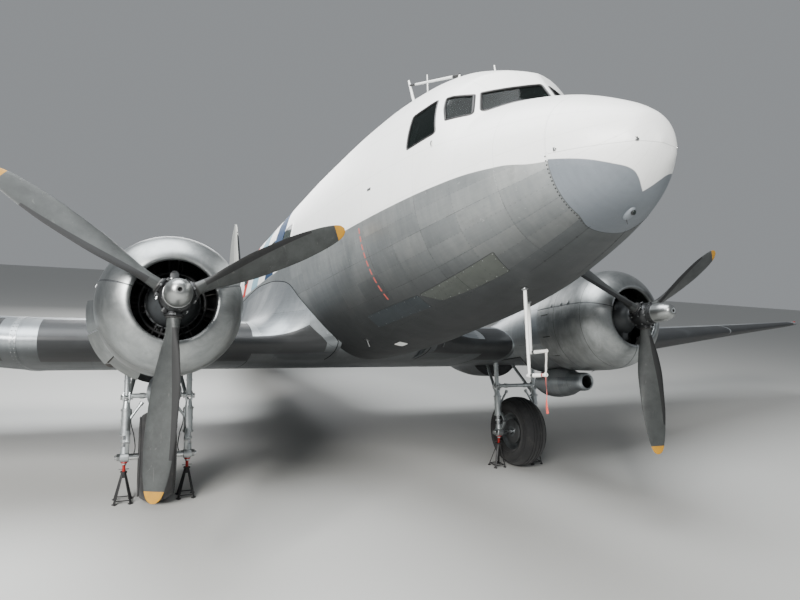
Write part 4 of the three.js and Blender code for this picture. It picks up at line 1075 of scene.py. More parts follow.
def fuselage():
    # nose cap
    cs = [0.003, 0.008, 0.016, 0.028, 0.045, 0.065, 0.09, 0.12, 0.155, 0.195, 0.24, 0.285, 0.33, 0.375, 0.42, 0.465, NOSE_SEAM - G]
    b = shell(cs, 144, None)
    b.piece("nose_shell", [SKIN], replaces="nose_cap", slot="white")
    # cockpit
    cs = stations(NOSE_SEAM + G, 0.97, 0.045) + stations(0.97, 1.24, 0.018)[1:] + stations(1.24, 2.4, 0.055)[1:] + stations(2.4, COCKPIT_END, 0.12)[1:]
    b = shell(cs, 176, WALL)
    ob = b.mesh("cockpit_shell", [SKIN.m, INNER.m])
    for name, plane, c0, c1 in (("side", "sh", 0.5, 1.4), ("quarter", "sh", 0.48, 1.4), ("front", "xh", 0.9, 1.56)):
        for sg in (1, -1):
            o = PANES[name]
            if plane == "xh":
                cut = prism_object([(sg * x, h) for x, h in o], "xh", c0, c1)
            else:
                cut = prism_object(o, "sh", sg * c0, sg * c1)
            boolean(ob, cut)
    settle(ob, "airframe", "cockpit_section")
    # cabin with the cargo door's opening
    cs = stations(COCKPIT_END + G, CABIN_END, 0.16)
    ob = shell(cs, 144, WALL).mesh("cabin_shell", [SKIN.m, INNER.m])
    cut = prism_object(rounded([(DOOR_S0, DOOR_H0), (DOOR_S1, DOOR_H0), (DOOR_S1, DOOR_H1), (DOOR_S0, DOOR_H1)], 0.004, 1), "sh", 0.2, 2.0)
    boolean(ob, cut)
    settle(ob, "airframe", "cabin_section")
    # rear fuselage
    cs = stations(CABIN_END + G, 17.85, 0.16)
    shell(cs, 112, None).piece("rear_shell", [SKIN], replaces="rear_fuselage", slot="white")


def glazing():
    b = Build()
    seal = Build()
    for name, at in (("side", at_side), ("quarter", at_side), ("front", at_front)):
        o = resample(PANES[name], 0.03)
        for sg in (1, -1):
            patch(b, grown(o, 0.006), at(sg), -0.008, -0.015, rings=6)
            rim(seal, o, at(sg), 0.012, 0.004, -0.022, 0.0018)
    b.piece("cockpit_panes", [GLASS], replaces="cockpit_glazing", slot="glass", angle=60)
    seal.piece("pane_seals", [BLACKP])


def doors():
    for name, s0, s1, meet, win in (("cargo_door_front", DOOR_S0 + 0.008, DOOR_SM - 0.005, 1, 11.80), ("cargo_door_rear", DOOR_SM + 0.005, DOOR_S1 - 0.008, 0, 12.88)):
        b = Build()
        h0, h1 = DOOR_H0 + 0.008, DOOR_H1 - 0.008
        def leaf(a0, a1, in0, in1, mi, mi2):
            ss, hs = np.linspace(a0, a1, 26), np.linspace(h0, h1, 34)
            loops = []
            outer = [[(hull_half(s, h) - in0, s, h) for h in hs] for s in ss]
            inner = [[(hull_half(s, h) - in1, s, h) for h in hs] for s in ss]
            n, m = len(ss), len(hs)
            verts = [p for r in outer for p in r] + [p for r in inner for p in r]
            faces, mis = [], []
            for i in range(n - 1):
                for k in range(m - 1):
                    q = (i * m + k, i * m + k + 1, (i + 1) * m + k + 1, (i + 1) * m + k)
                    faces.append(q); mis.append(mi)
                    faces.append(tuple(n * m + t for t in q[::-1])); mis.append(mi2)
            edge = [k for k in range(m)] + [i * m + m - 1 for i in range(1, n)] + [(n - 1) * m + k for k in range(m - 2, -1, -1)] + [i * m for i in range(n - 2, 0, -1)]
            for a, c in zip(edge, edge[1:] + edge[:1]):
                faces.append((a, n * m + a, n * m + c, c)); mis.append(mi2)
            o = len(b.v)
            b.v += verts
            b.f += [tuple(t + o for t in f) for f in faces]
            b.m += mis
        leaf(s0, s1, 0.0, 0.0116, 0, 1)
        if meet:
            leaf(s0, s1 - 0.030, 0.012, 0.0795, 1, 1)
        else:
            leaf(s0 + 0.030, s1, 0.012, 0.0795, 1, 1)
        # stiffeners inside
        for t in np.linspace(h0 + 0.2, h1 - 0.2, 4):
            x = min(hull_half(s0, t), hull_half(s1, t)) - 0.082
            a = s0 + 0.06 if meet else s0 + 0.09
            c = s1 - 0.09 if meet else s1 - 0.06
            b.tube([(min(hull_half(s, t) - 0.084, 9), s, t) for s in np.linspace(a, c, 8)], 0.012, 8, 2)
        # outside handle
        hs_ = (s1 - 0.12) if meet else (s0 + 0.12)
        hx = hull_half(hs_, 0.15)
        b.rod((hx - 0.002, hs_, 0.10), (hx + 0.028, hs_, 0.10), 0.010, mi=2)
        b.rod((hx + 0.022, hs_, 0.10), (hx + 0.022, hs_, 0.26), 0.008, mi=2)
        b.piece(name + "_leaf", [SKIN, INNER, STEEL], body=name, replaces=name, slot="white")
        window_piece(name + "_window", win, 0.46, 1, name)
    # hinges on the frame's edge
    hb = Build()
    for s, hx in ((DOOR_S0, -1), (DOOR_S1, 1)):
        for h in (-0.25, 0.35, 0.85):
            x = hull_half(s + hx * 0.02, h)
            hb.rod((x + 0.004, s + hx * 0.014, h - 0.05), (x + 0.004, s + hx * 0.014, h + 0.05), 0.009)
            hb.slab((x - 0.002, s + hx * 0.045, h), (0.004, 0.03, 0.045), 0.002)
    hb.piece("cargo_door_hinges", [STEEL])


def window_piece(name, s, h, side, body="airframe"):
    o = resample(rounded([(s - 0.24, h - 0.17), (s + 0.24, h - 0.17), (s + 0.24, h + 0.17), (s - 0.24, h + 0.17)], 0.10, 6), 0.06)
    b = Build()
    patch(b, o, at_side(side), 0.002, -0.004, 0, 3)
    rim(b, o, at_side(side), 0.0, 0.022, -0.003, 0.005, 1)
    for k in range(0, len(o), 2):
        q = grown(o, 0.011)[k]
        p0, p1 = side_at(side, 0.004)(q), side_at(side, 0.0085)(q)
        b.rod(p0, p1, 0.0045, 0.003, 6, 2)
    b.piece(name, [WINDOW_G, SKIN, STEEL], body=body)


def cabin_windows():
    for i, s in enumerate((5.34, 6.36, 7.38, 8.40, 9.42, 10.44, 11.70, 12.72)):
        window_piece("cabin_window_right_%d" % (i + 1), s, 0.46, -1)
        if s < 11:
            window_piece("cabin_window_left_%d" % (i + 1), s, 0.46, 1)


WINDOW_G = glass_material()
WINDOW_G.m.name = "glass_cabin"
WINDOW_G.set(color=srgb(60, 68, 68), trans=0.55)
fuselage()
glazing()
doors()
cabin_windows()


# ------------------------------------------------------------------ wing
WING_LE, WING_H, CHORD, JOINT_X, SPAN = 4.92, -1.03, 4.318, 4.352, 14.52
CI, SI = math.cos(math.radians(2)), math.sin(math.radians(2))
DIHEDRAL = math.tan(math.radians(5))
# columns: span fraction, leading edge aft, chord, thickness ratio
OUTER = [(0.0, 0, 4.318, .15), (0.5, 1.390, 2.990, .115), (0.9, 2.500, 1.920, .082), (0.965, 2.780, 1.540, .072), (0.99, 3.060, 1.080, .06), (1.0, 3.420, .420, .05)]
_tip = [pchip([r[0] for r in OUTER[1:]], [r[k] for r in OUTER[1:]]) for k in (1, 2, 3)]


def wing_at(x):
    """leading edge station, height, chord and thickness ratio at span x"""
    if x <= JOINT_X:
        return WING_LE, WING_H, CHORD, 0.15
    f = (x - JOINT_X) / (SPAN - JOINT_X)
    if f > 0.9:
        le, ch, t = (c(f) for c in _tip)
    else:
        i = 0 if f <= 0.5 else 1
        a, b = OUTER[i], OUTER[i + 1]
        w = (f - a[0]) / (b[0] - a[0])
        le, ch, t = (a[k] + (b[k] - a[k]) * w for k in (1, 2, 3))
    return WING_LE + le, WING_H + DIHEDRAL * (x - JOINT_X), ch, t


def yt(t, u):
    return 5 * t * (0.2969 * math.sqrt(u) - 0.126 * u - 0.3516 * u * u + 0.2843 * u**3 - 0.1036 * u**4) + 0.0012 * u


def yc(u):
    return 0.02 / 0.16 * (0.8 * u - u * u) if u < 0.4 else 0.02 / 0.36 * (0.2 + 0.8 * u - u * u)


def wing_point(x, u, v, le, h, ch):
    a, b = u * ch, v * ch
    return (x, le + a * CI + b * SI, h - a * SI + b * CI)


def on_wing(x, u, upper=True, off=0.0):
    """point on the wing's skin, off outward"""
    le, h, ch, t = wing_at(x)
    sg = 1 if upper else -1
    p = wing_point(x, u, yc(u) + sg * yt(t, u), le, h, ch)
    if not off:
        return p
    e = 0.002
    ua, ub = max(u - e, 0.0), min(u + e, 1.0)
    a = Vector(wing_point(x, ua, yc(ua) + sg * yt(t, ua), le, h, ch))
    b = Vector(wing_point(x, ub, yc(ub) + sg * yt(t, ub), le, h, ch))
    d = (b - a).normalized()
    n = Vector((0, -d.z, d.y)) * sg
    return tuple(Vector(p) + n * off)


def section_us(n=34):
    return [(1 + math.cos(PI * i / n)) / 2 for i in range(n + 1)]


def wing_ring(x, n=34):
    us = section_us(n)
    return [on_wing(x, u, True) for u in us] + [on_wing(x, u, False) for u in us[-2::-1]]


def wing_loft(xs, n=34):
    return Build().grid([wing_ring(x, n) for x in xs])


HINGE_U, FLAP_U0, FLAP_U1 = 0.76, 0.83, 0.965
AIL_X0, AIL_X1 = 8.65, 13.25


def aileron_hinge(x):
    le, h, ch, t = wing_at(x)
    return Vector((x, le + HINGE_U * ch * CI, h - HINGE_U * ch * SI + yc(HINGE_U) * ch))


def half_thick(x):
    le, h, ch, t = wing_at(x)
    u = HINGE_U
    return 5 * t * (0.2969 * math.sqrt(u) - 0.126 * u - 0.3516 * u * u + 0.2843 * u**3 - 0.1036 * u**4) * ch


def hinge_body(grow, side):
    """half space behind the hinge with a round nose about it"""
    A, B = aileron_hinge(AIL_X0), aileron_hinge(AIL_X1)
    along = (B - A).normalized()
    back = (Vector((0, 1, 0)) - along * along.y).normalized()
    up = along.cross(back)
    ra, rb = half_thick(AIL_X0 - .06), half_thick(AIL_X1 + .06)
    ln = (B - A).length
    rows = []
    for t in (-side, ln + side):
        r = ra + (rb - ra) * (t + .06) / (ln + .12) + grow
        o = A + along * t
        ring = [o + up * .45 + back * 1.1, o + up * .45, o + up * r]
        ring += [o + up * (r * math.cos(a)) - back * (r * math.sin(a)) for a in np.linspace(0, PI, 21)[1:-1]]
        ring += [o - up * r, o - up * .45, o - up * .45 + back * 1.1]
        rows.append([tuple(p) for p in ring])
    return Build().grid(rows)


def flap_room(x0, x1, n=12):
    """space of the closed flap and the gap above it"""
    xs = [x0 - .008] + [x for x in (9.436,) if x0 < x < x1] + [x1 + .008]
    rows = []
    for x in xs:
        le, h, ch, t = wing_at(x)
        e = .008 / ch
        top = []
        for u in np.linspace(FLAP_U0 - e, FLAP_U1 + e, n):
            p = on_wing(x, u, False)
            top.append((p[0], p[1], p[2] + .019))
        rows.append(top + [(x, top[-1][1], -1.9), (x, top[0][1], -1.9)])
    return Build().grid(rows)


def flap_leaf(b, x0, x1, mi=0, n=14, m=8):
    rows = []
    for x in np.linspace(x0, x1, m):
        lo = [on_wing(x, u, False) for u in np.linspace(FLAP_U0, FLAP_U1, n)]
        hi = [(p[0], p[1], p[2] + .0118) for p in lo]
        rows.append(lo + hi[::-1])
    b.grid(rows, mi)
    return b


FLAPS = {"inner": (1.42, 4.27), "outer": (4.44, 8.56)}
# fairing: heights where it meets the side of the fuselage, and of its lower side at the root
F_TOP = [(4.640, -.960), (4.660, -.800), (4.729, -.661), (4.959, -.410), (5.189, -.222), (5.650, -.100), (6.250, -.016), (7.360, .050), (8.870, 0.0), (9.5, -.190), (10.0, -.450), (10.3, -.700)]
F_LOW = [(4.640, -.960), (4.690, -1.070), (4.850, -1.165), (5.1, -1.222), (5.352, -1.252), (6.215, -1.306), (7.0, -1.298), (8.0, -1.258), (9.0, -1.190), (9.6, -1.060), (10.3, -.720)]
FAIR_X = 1.76
f_top, f_low = pchip([r[0] for r in F_TOP], [r[1] for r in F_TOP]), pchip([r[0] for r in F_LOW], [r[1] for r in F_LOW])


def fairing_ring(t, us):
    g = 0.0 if t <= 0 else 1 - (1 - t) ** 2.8
    ring = []
    for k, (u, upper) in enumerate(us):
        y = F_TOP[0][0] + u * (F_TOP[-1][0] - F_TOP[0][0])
        z = (f_top if upper else f_low)(y)
        x = max(hull_half(y, z), .7)
        w = on_wing(0.0, u, upper, -.003 * t)
        ring.append((x + t * (FAIR_X - x), y + g * (w[1] - y), z + g * (w[2] - z)))
    return ring


def fairing_seams(b):
    """sealed edges of the fairing on the hull and on the wing, and the rubber boot round its nose"""
    us = [(u, True) for u in section_us(64)] + [(u, False) for u in section_us(64)[-2::-1]]
    for up in (True, False):
        b.tube([fairing_ring(1.0, [(u, up)])[0] for u in section_us(64) if .02 < u < .97], .0045, 8, 0)
    for t, r in ((0.0, .0055),):
        ring = [Vector(p) for p in fairing_ring(t, us)]
        n = len(ring)
        m = 8
        verts, faces = [], []
        for i in range(n):
            d = (ring[(i + 1) % n] - ring[i - 1]).normalized()
            u = Vector((1, 0, 0))
            u = (u - d * u.dot(d)).normalized()
            w = d.cross(u)
            verts += [tuple(ring[i] + (u * math.cos(k / m * 2 * PI) + w * math.sin(k / m * 2 * PI)) * r) for k in range(m)]
            for k in range(m):
                j = (i + 1) % n
                faces.append((i * m + k, i * m + (k + 1) % m, j * m + (k + 1) % m, j * m + k))
        b.add(verts, faces, 0)
    edge = [(.006 * (k / 5) ** 1.5, True) for k in range(5, 0, -1)] + [(0.0, True)] + [(.034 * (k / 12) ** 1.7, False) for k in range(1, 13)]
    rows = []
    for i, t in enumerate([.12, .15, .18, .22, .27, .32, .38, .45, .52, .60, .68, .76, .84, .92, 1.0]):
        pts = [Vector(p) for p in fairing_ring(t, edge)]
        o, q = [], []
        for k, p in enumerate(pts):
            d = (pts[min(k + 1, len(pts) - 1)] - pts[max(k - 1, 0)]).normalized()
            nn = Vector((0, -1, 0)) if abs(d.z) > .999 else Vector((0, d.z, -d.y)).normalized()
            if nn.y > 0.3 or (nn.y > -0.3 and nn.z > 0 and k > 6):
                nn = -nn
            e = 0.15 if k in (0, len(pts) - 1) or i == 0 else 1.0
            o.append(tuple(p + nn * (.004 * e + .0004)))
            q.append(tuple(p - nn * .004))
        rows.append(o + q[::-1])
    b.grid(rows, 1)
    return b


def fairing():
    us = [(u, True) for u in section_us(64)] + [(u, False) for u in section_us(64)[-2::-1]]
    ts = [-.05] + [0.0, .02, .045, .075, .11, .15, .195, .245, .3, .36, .43, .5, .58, .66, .74, .82, .9, 1.0]
    return Build().grid([fairing_ring(t, us) for t in ts])


def boot(b, x0, x1, step=0.35, u1=0.10, out=.004, mi=0):
    xs = stations(x0, x1, step)
    us = [(u1 * (k / 12) ** 1.6, True) for k in range(12, 0, -1)] + [(0.0, True)] + [(u1 * (k / 12) ** 1.6, False) for k in range(1, 13)]
    rows = []
    for j, x in enumerate(xs):
        le, h, ch, t = wing_at(x)
        pts = []
        for u, up in us:
            p = Vector(on_wing(x, u, up))
            if u == 0.0:
                n = Vector((0, -CI, SI))
            else:
                q = Vector(on_wing(x, u, up, 1.0))
                n = (q - p).normalized()
            pts.append((p, n))
        m = len(pts)
        tip = 0.0 if j in (0, len(xs) - 1) else 1.0
        o = []
        for k, (p, n) in enumerate(pts):
            e = min(k, m - 1 - k)
            o.append(tuple(p + n * (out * min(1.0, e / 1.0) * (0.2 + 0.8 * tip) + .0004)))
        i = [tuple(p - n * .004) for p, n in pts]
        rows.append(o + i[::-1])
    return b.grid(rows, mi)


def fabric_skin(name, axis, pitch, base=(186, 190, 191)):
    """doped fabric over ribs"""
    M = Mat(name)
    x, s, h = M.lv()
    a = {"x": M.math("ABSOLUTE", x), "h": h}[axis]
    d = M.math("PINGPONG", a, pitch / 2)
    rib = M.sub(1.0, M.ss(d, 0.008, 0.03))
    tape = M.sub(1.0, M.ss(d, 0.017, 0.019))
    n1 = M.noise(2.4, 6.0, 0.65)
    c = M.mixc(M.mul(M.ss(n1, 0.4, 0.75), 0.5), srgb(*base), srgb(*[int(v * .82) for v in base]))
    c = M.mixc(M.mul(tape, 0.18), c, srgb(*[min(255, int(v * 1.1)) for v in base]))
    M.set(color=c, metal=0.35, rough=M.add(0.42, M.mul(n1, 0.14)), normal=M.bump(M.add(rib, M.mul(tape, .3)), 0.004, 0.7))
    return M


FAB_X = fabric_skin("fabric_silver", "x", 0.31)
FAB_H = fabric_skin("fabric_rudder", "h", 0.29, (206, 208, 203))


def lamp_material(name, col, strength=0.0):
    M = Mat(name)
    n1 = M.noise(30.0, 3.0, 0.5)
    M.set(color=srgb(*col), rough=M.add(0.05, M.mul(n1, 0.05)), trans=0.6, ior=1.45)
    return M


LAMP_RED, LAMP_GREEN, LAMP_CLEAR = lamp_material("glass_red", (190, 24, 20)), lamp_material("glass_green", (16, 140, 70)), lamp_material("glass_clear", (225, 230, 232))


def both(fn):
    for side, sg in (("left", 1), ("right", -1)):
        fn(side, sg)


def wings():
    # centre section with the recess of both inner flaps and the fairings
    ob = wing_loft([-JOINT_X, -2.2, 0.0, 2.2, JOINT_X], 40).mesh("centre_wing", [WING.m])
    for sg in (1, -1):
        cut = flap_room(*FLAPS["inner"])
        boolean(ob, (cut if sg > 0 else cut.mirror()).mesh("cutter", []))
    settle(ob, "airframe", "wing_centre")
    f = fairing()
    for side, sg in (("left", 1), ("right", -1)):
        ob = (f if sg > 0 else f.mirror()).mesh("wing_fairing_" + side, [FAIR_M.m])
        cut = Build()
        cut.grid([[(x, 8.49, -1.9), (x, 9.096, -1.9), (x, 9.096, -1.160), (x, 8.49, -1.108)] for x in (1.412, 1.95)])
        boolean(ob, (cut if sg > 0 else cut.mirror()).mesh("cutter", []))
        settle(ob)
    # outer panels
    xs = [JOINT_X + .003] + list(np.linspace(5.2, 9.2, 6)) + [9.436] + list(np.linspace(10.2, 13.4, 5))
    fs = [.9, .915, .93, .945, .957, .967, .976, .983, .988, .992, .995, .9975, .999, 1.0]
    xs += [JOINT_X + f_ * (SPAN - JOINT_X) for f_ in fs]
    outer = wing_loft(sorted(set(round(x, 5) for x in xs)), 40)

    def panel(side, sg):
        o = (outer if sg > 0 else outer.mirror()).mesh("outer_wing_" + side, [WING.m])
        a = (outer if sg > 0 else outer.mirror()).mesh("aileron_skin_" + side, [FAB_X.m])
        cut = hinge_body(-.002, 0.0)
        boolean(a, (cut if sg > 0 else cut.mirror()).mesh("cutter", []), "INTERSECT")
        settle(a, "aileron_" + side, "aileron_" + side)
        cut = hinge_body(.013, .008)
        boolean(o, (cut if sg > 0 else cut.mirror()).mesh("cutter", []))
        cut = flap_room(*FLAPS["outer"])
        boolean(o, (cut if sg > 0 else cut.mirror()).mesh("cutter", []))
        settle(o, "airframe", "wing_" + side)
        for k in ("inner", "outer"):
            b = flap_leaf(Build(), *FLAPS[k])
            (b if sg > 0 else b.mirror()).piece("flap_%s_%s_leaf" % (k, side), [WING], body="flap_%s_%s" % (k, side), replaces="flap_%s_%s" % (k, side), slot="bare_metal")
        b = fairing_seams(Build())
        (b if sg > 0 else b.mirror()).piece("fairing_edge_" + side, [SEALANT, BOOT])
        # strap over the joint of the panels
        b = Build()
        rows = []
        for x, o_ in ((JOINT_X - .034, -.001), (JOINT_X - .032, .004), (JOINT_X + .033, .004), (JOINT_X + .035, -.001)):
            us = [(u, True) for u in section_us(30) if u < .82] + [(u, False) for u in section_us(30)[-2::-1] if u < .82]
            rows.append([on_wing(x, u, up, o_) for u, up in us])
        ring = []
        for j in range(len(rows[0])):
            ring.append([rows[k][j] for k in range(4)])
        b.grid(ring, 0)
        for j in range(2, len(rows[0]) - 2):
            for dx in (-.017, .017):
                u, up = us[j]
                p, q = on_wing(JOINT_X + dx, u, up, .003), on_wing(JOINT_X + dx, u, up, .0085)
                b.rod(p, q, .0062, .005, 8, 1)
        (b if sg > 0 else b.mirror()).piece("wing_joint_strap_" + side, [WING_BARE, STEEL])
        # de-icing boots
        b = Build()
        boot(b, 1.758, 2.245, out=.0042)
        boot(b, 3.395, 4.12)
        boot(b, 4.50, 9.2)
        boot(b, 9.26, 13.5)
        (b if sg > 0 else b.mirror()).piece("wing_boots_" + side, [BOOT])
        # navigation lamp at the tip
        b = Build()
        x = JOINT_X + .972 * (SPAN - JOINT_X)
        le, h, ch, t = wing_at(x)
        c = Vector(on_wing(x, .06, True, .002))
        prof = [(0.0, -.062), (.012, -.058), (.022, -.044), (.028, -.02), (.028, .01), (.022, .034), (.012, .048), (0.0, .052)]
        b.lathe(prof, "y", tuple(c + Vector((0, .03, .004))), 20, 0)
        b.lathe([(0.0, -.01), (.033, -.008), (.036, .02), (.030, .07), (.012, .12), (0.0, .13)], "y", tuple(c + Vector((0, .035, .0))), 20, 1)
        (b if sg > 0 else b.mirror()).piece("tip_lamp_" + side, [LAMP_RED if sg > 0 else LAMP_GREEN, WING_BARE])
        # aileron hinge brackets, each with a short bolt
        b = Build()
        for x in (9.3, 10.95, 12.6):
            p = aileron_hinge(x)
            r = half_thick(x)
            b.slab(p + Vector((0, -.115, -r - .022)), (.011, .08, .016), .004)
            b.rod(p + Vector((-.02, -.052, -r - .022)), p + Vector((.02, -.052, -r - .022)), .010, seg=12)
        (b if sg > 0 else b.mirror()).piece("aileron_brackets_" + side, [STEEL])
    both(panel)


FAIR_M = metal_material("skin_fairing", (0.95, 0.55), (0.32, 0.275), axes="sh", base=(148, 153, 156), dark=(116, 121, 125), light=(184, 187, 188), rough=0.40)
SEALANT = paint_material("sealant_dark", (22, 23, 24), (44, 44, 43), 0.85, 10.0, 0.4)
SEALANT.set(spec=0.1)


# ------------------------------------------------------------------ tail
def tail_loft(rows_at, ts, pts, n=44):
    """loft of a closed section through pts, a list of (along chord, across)"""
    loop = smooth_profile(pts, n)
    out = []
    for t in ts:
        out.append([rows_at(t, u, v) for u, v in loop])
    return Build().grid(out)


# columns: span x, leading edge s, thickness
TAILPLANE = [(.06, 15.95, .200), (1.2, 16.33, .170), (2.6, 16.80, .120), (3.6, 17.18, .080), (3.9, 17.42, .056), (4.04, 17.70, .030)]
# columns: span x, trailing edge s, thickness at the hinge
ELEVATOR = [(.33, 18.18, .120), (.42, 18.56, .116), (1.5, 18.64, .100), (2.9, 18.56, .076), (3.7, 18.36, .050), (3.98, 18.12, .030)]
# columns: height h, leading edge s, half thickness
FIN = [(.70, 15.35, .095), (1.2, 15.90, .088), (2.2, 16.64, .070), (3.2, 17.18, .050), (3.75, 17.48, .036), (4.02, 17.68, .022)]
# columns: height h, trailing edge s, half thickness at the hinge
RUDDER = [(.33, 18.42, .040), (.50, 19.08, .062), (1.1, 19.42, .072), (1.9, 19.42, .064), (2.8, 19.22, .050), (3.5, 18.86, .036), (3.9, 18.50, .024), (4.09, 18.15, .014)]
FIN_S, TAIL_S, TAIL_H = 17.95, 17.90, .56


def symmetric(pts, n=22):
    up = smooth_profile(pts, n)
    return up + [(u, -v) for u, v in up[-1::-1] if not (abs(v) < 1e-6)]


def tail():
    # tailplane
    c1, c2 = (pchip([r[0] for r in TAILPLANE], [r[k] for r in TAILPLANE]) for k in (1, 2))
    prof = symmetric([(0, 0), (.015, .17), (.05, .30), (.2, .47), (.5, .5), (.8, .42), (1, .36)], 30)
    xs = [.06] + list(np.linspace(.4, 3.4, 11)) + [3.6, 3.75, 3.86, 3.94, 3.99, 4.02, 4.04]
    y1 = TAIL_S - .07
    tp = Build().grid([[(x, c1(x) + u * (y1 - c1(x)), TAIL_H + v * c2(x)) for u, v in prof] for x in xs])
    c3, c4 = (pchip([r[0] for r in ELEVATOR], [r[k] for r in ELEVATOR]) for k in (1, 2))
    eprof = symmetric([(0, .30), (.02, .40), (.06, .46), (.3, .36), (1, .05)], 24)
    xs2 = [.33, .345, .37, .42] + list(np.linspace(.7, 3.4, 10)) + [3.6, 3.75, 3.86, 3.93, 3.965, 3.98]
    y0 = TAIL_S - .034
    el = Build().grid([[(x, y0 + u * (c3(x) - y0), TAIL_H + v * c4(x)) for u, v in eprof] for x in xs2])

    def half(side, sg):
        (tp if sg > 0 else tp.mirror()).piece("tailplane_skin_" + side, [TAILM], replaces="tailplane_" + side, slot="bare_metal")
        (el if sg > 0 else el.mirror()).piece("elevator_skin_" + side, [FAB_X], body="elevator", replaces="elevator_" + side, slot="bare_metal")
        b = Build()
        xb = stations(.55, 3.75, .3)
        rows = []
        for j, x in enumerate(xb):
            L_ = y1 - c1(x)
            side_pts = [(u, v) for u, v in smooth_profile([(0, 0), (.015, .17), (.05, .30), (.2, .47)], 12) if u < .10]
            sp = [(u, v) for u, v in side_pts[::-1]] + [(u, -v) for u, v in side_pts[1:]]
            m = len(sp)
            o, i = [], []
            for k, (u, v) in enumerate(sp):
                e = min(k, m - 1 - k)
                g = .004 if 0 < e and 0 < j < len(xb) - 1 else .0005
                c = Vector((x, c1(x) + u * L_, TAIL_H + v * c2(x)))
                q = sp[min(k + 1, m - 1)], sp[max(k - 1, 0)]
                t = Vector((0, (q[0][0] - q[1][0]) * L_, (q[0][1] - q[1][1]) * c2(x))).normalized()
                n = Vector((0, t.z, -t.y))
                if (Vector((0, -1, 0)).dot(n) < 0 and u < .03) or (v > 0 and n.z < 0 and u >= .03) or (v < 0 and n.z > 0 and u >= .03):
                    n = -n
                o.append(tuple(c + n * g))
                i.append(tuple(c - n * .004))
            rows.append(o + i[::-1])
        b.grid(rows)
        (b if sg > 0 else b.mirror()).piece("tailplane_boot_" + side, [BOOT])
        b = Build()
        for x in (.75, 1.95, 3.2):
            b.slab((x, TAIL_S - .045, TAIL_H), (.012, .05, .022), .004)
        (b if sg > 0 else b.mirror()).piece("elevator_hinges_" + side, [STEEL])
    both(half)
    # fin
    d1, d2 = (pchip([r[0] for r in FIN], [r[k] for r in FIN]) for k in (1, 2))
    y2 = FIN_S - .075
    fprof = symmetric([(0, 0), (.02, .26), (.06, .5), (.3, 1.0), (.7, .95), (1, .8)], 30)
    hs = [.70] + list(np.linspace(.9, 3.5, 12)) + [3.65, 3.78, 3.88, 3.95, 3.99, 4.02]
    Build().grid([[(v * d2(h), d1(h) + u * (y2 - d1(h)), h) for u, v in fprof] for h in hs]).piece("fin_skin", [FINM], replaces="fin", slot="white")
    # fillet at the fin's foot
    b = Build()
    rows = []
    for s in np.linspace(15.42, 17.82, 26):
        w = min(1.0, (s - 15.40) / .5)
        top = hT(s)
        ring = []
        u_ = (s - 15.35) / (y2 - 15.35)
        half_f = d2(top + .02) * (0.5 + .5 * min(1, u_ / .3))
        for k in range(9):
            a = -1 + k / 4
            r = abs(a)
            ring.append((a * (half_f + .10 * w), s, top - .03 + (.03 + .08 * w) * (1 - r) ** 1.6 - .05 * r * r))
        ring += [(half_f + .10, s, top - .14), (-half_f - .10, s, top - .14)]
        rows.append(ring)
    b.grid(rows).piece("fin_fillet", [SKIN])
    # boot of the fin
    b = Build()
    rows = []
    hb = stations(1.35, 3.70, .28)
    for j, h in enumerate(hb):
        L_ = y2 - d1(h)
        sp = [(u, v) for u, v in smooth_profile([(0, 0), (.02, .26), (.06, .5), (.3, 1.0)], 14) if u < .09]
        loop = sp[::-1] + [(u, -v) for u, v in sp[1:]]
        m = len(loop)
        o, i = [], []
        for k, (u, v) in enumerate(loop):
            e = min(k, m - 1 - k)
            g = .004 if 0 < e and 0 < j < len(hb) - 1 else .0005
            c = Vector((v * d2(h), d1(h) + u * L_, h))
            n = Vector((v * 2.2, -max(.1 - u, 0) * 6 - .1, 0)).normalized()
            o.append(tuple(c + n * g))
            i.append(tuple(c - n * .004))
        rows.append(o + i[::-1])
    b.grid(rows).piece("fin_boot", [BOOT])
    # rudder
    e1, e2 = (pchip([r[0] for r in RUDDER], [r[k] for r in RUDDER]) for k in (1, 2))
    y3 = FIN_S - .03
    rprof = symmetric([(0, .5), (.02, .68), (.06, .8), (.3, .7), (1, .08)], 24)
    hs = [.33, .345, .37, .41, .46, .52, .62, .76, .92] + list(np.linspace(1.1, 3.4, 13)) + [3.55, 3.7, 3.82, 3.92, 4.0, 4.05, 4.08, 4.09]
    Build().grid([[(v * e2(h), y3 + u * (e1(h) - y3), h) for u, v in rprof] for h in hs]).piece("rudder_skin", [FAB_H], body="rudder", replaces="rudder", slot="white")
    b = Build()
    for h in (.95, 2.2, 3.45):
        b.slab((0, FIN_S - .052, h), (.022, .03, .014), .004)
    b.piece("rudder_hinges", [STEEL])
    # tail lamp
    b = Build()
    b.lathe([(0.0, -.02), (.024, -.018), (.026, .0), (.024, .028), (.016, .044), (0.0, .05)], "y", (0, 19.42, 1.5), 16, 0)
    b.piece("tail_lamp", [LAMP_CLEAR], body="rudder")


wings()
tail()


# ------------------------------------------------------------------ engines, propellers and nacelles (port side, then mirrored)
EX, EH, PROP_S = 2.82, -.80, 2.85


def ring_at(r, s, ang, ex=EX):
    a = math.radians(ang)
    return (ex + r * math.cos(a), s, EH + r * math.sin(a))


COWL_OUT = smooth_profile([(.370, 3.030), (.375, 3.010), (.395, 3.000), (.430, 3.007), (.490, 3.040), (.556, 3.098), (.611, 3.171), (.652, 3.268), (.6755, 3.388), (.684, 3.505), (.686, 3.70), (.685, 3.925)], 50)
COWL_IN = smooth_profile([(.680, 3.925), (.679, 3.52), (.656, 3.385), (.603, 3.215), (.490, 3.105), (.410, 3.066), (.378, 3.050), (.370, 3.030)], 34)


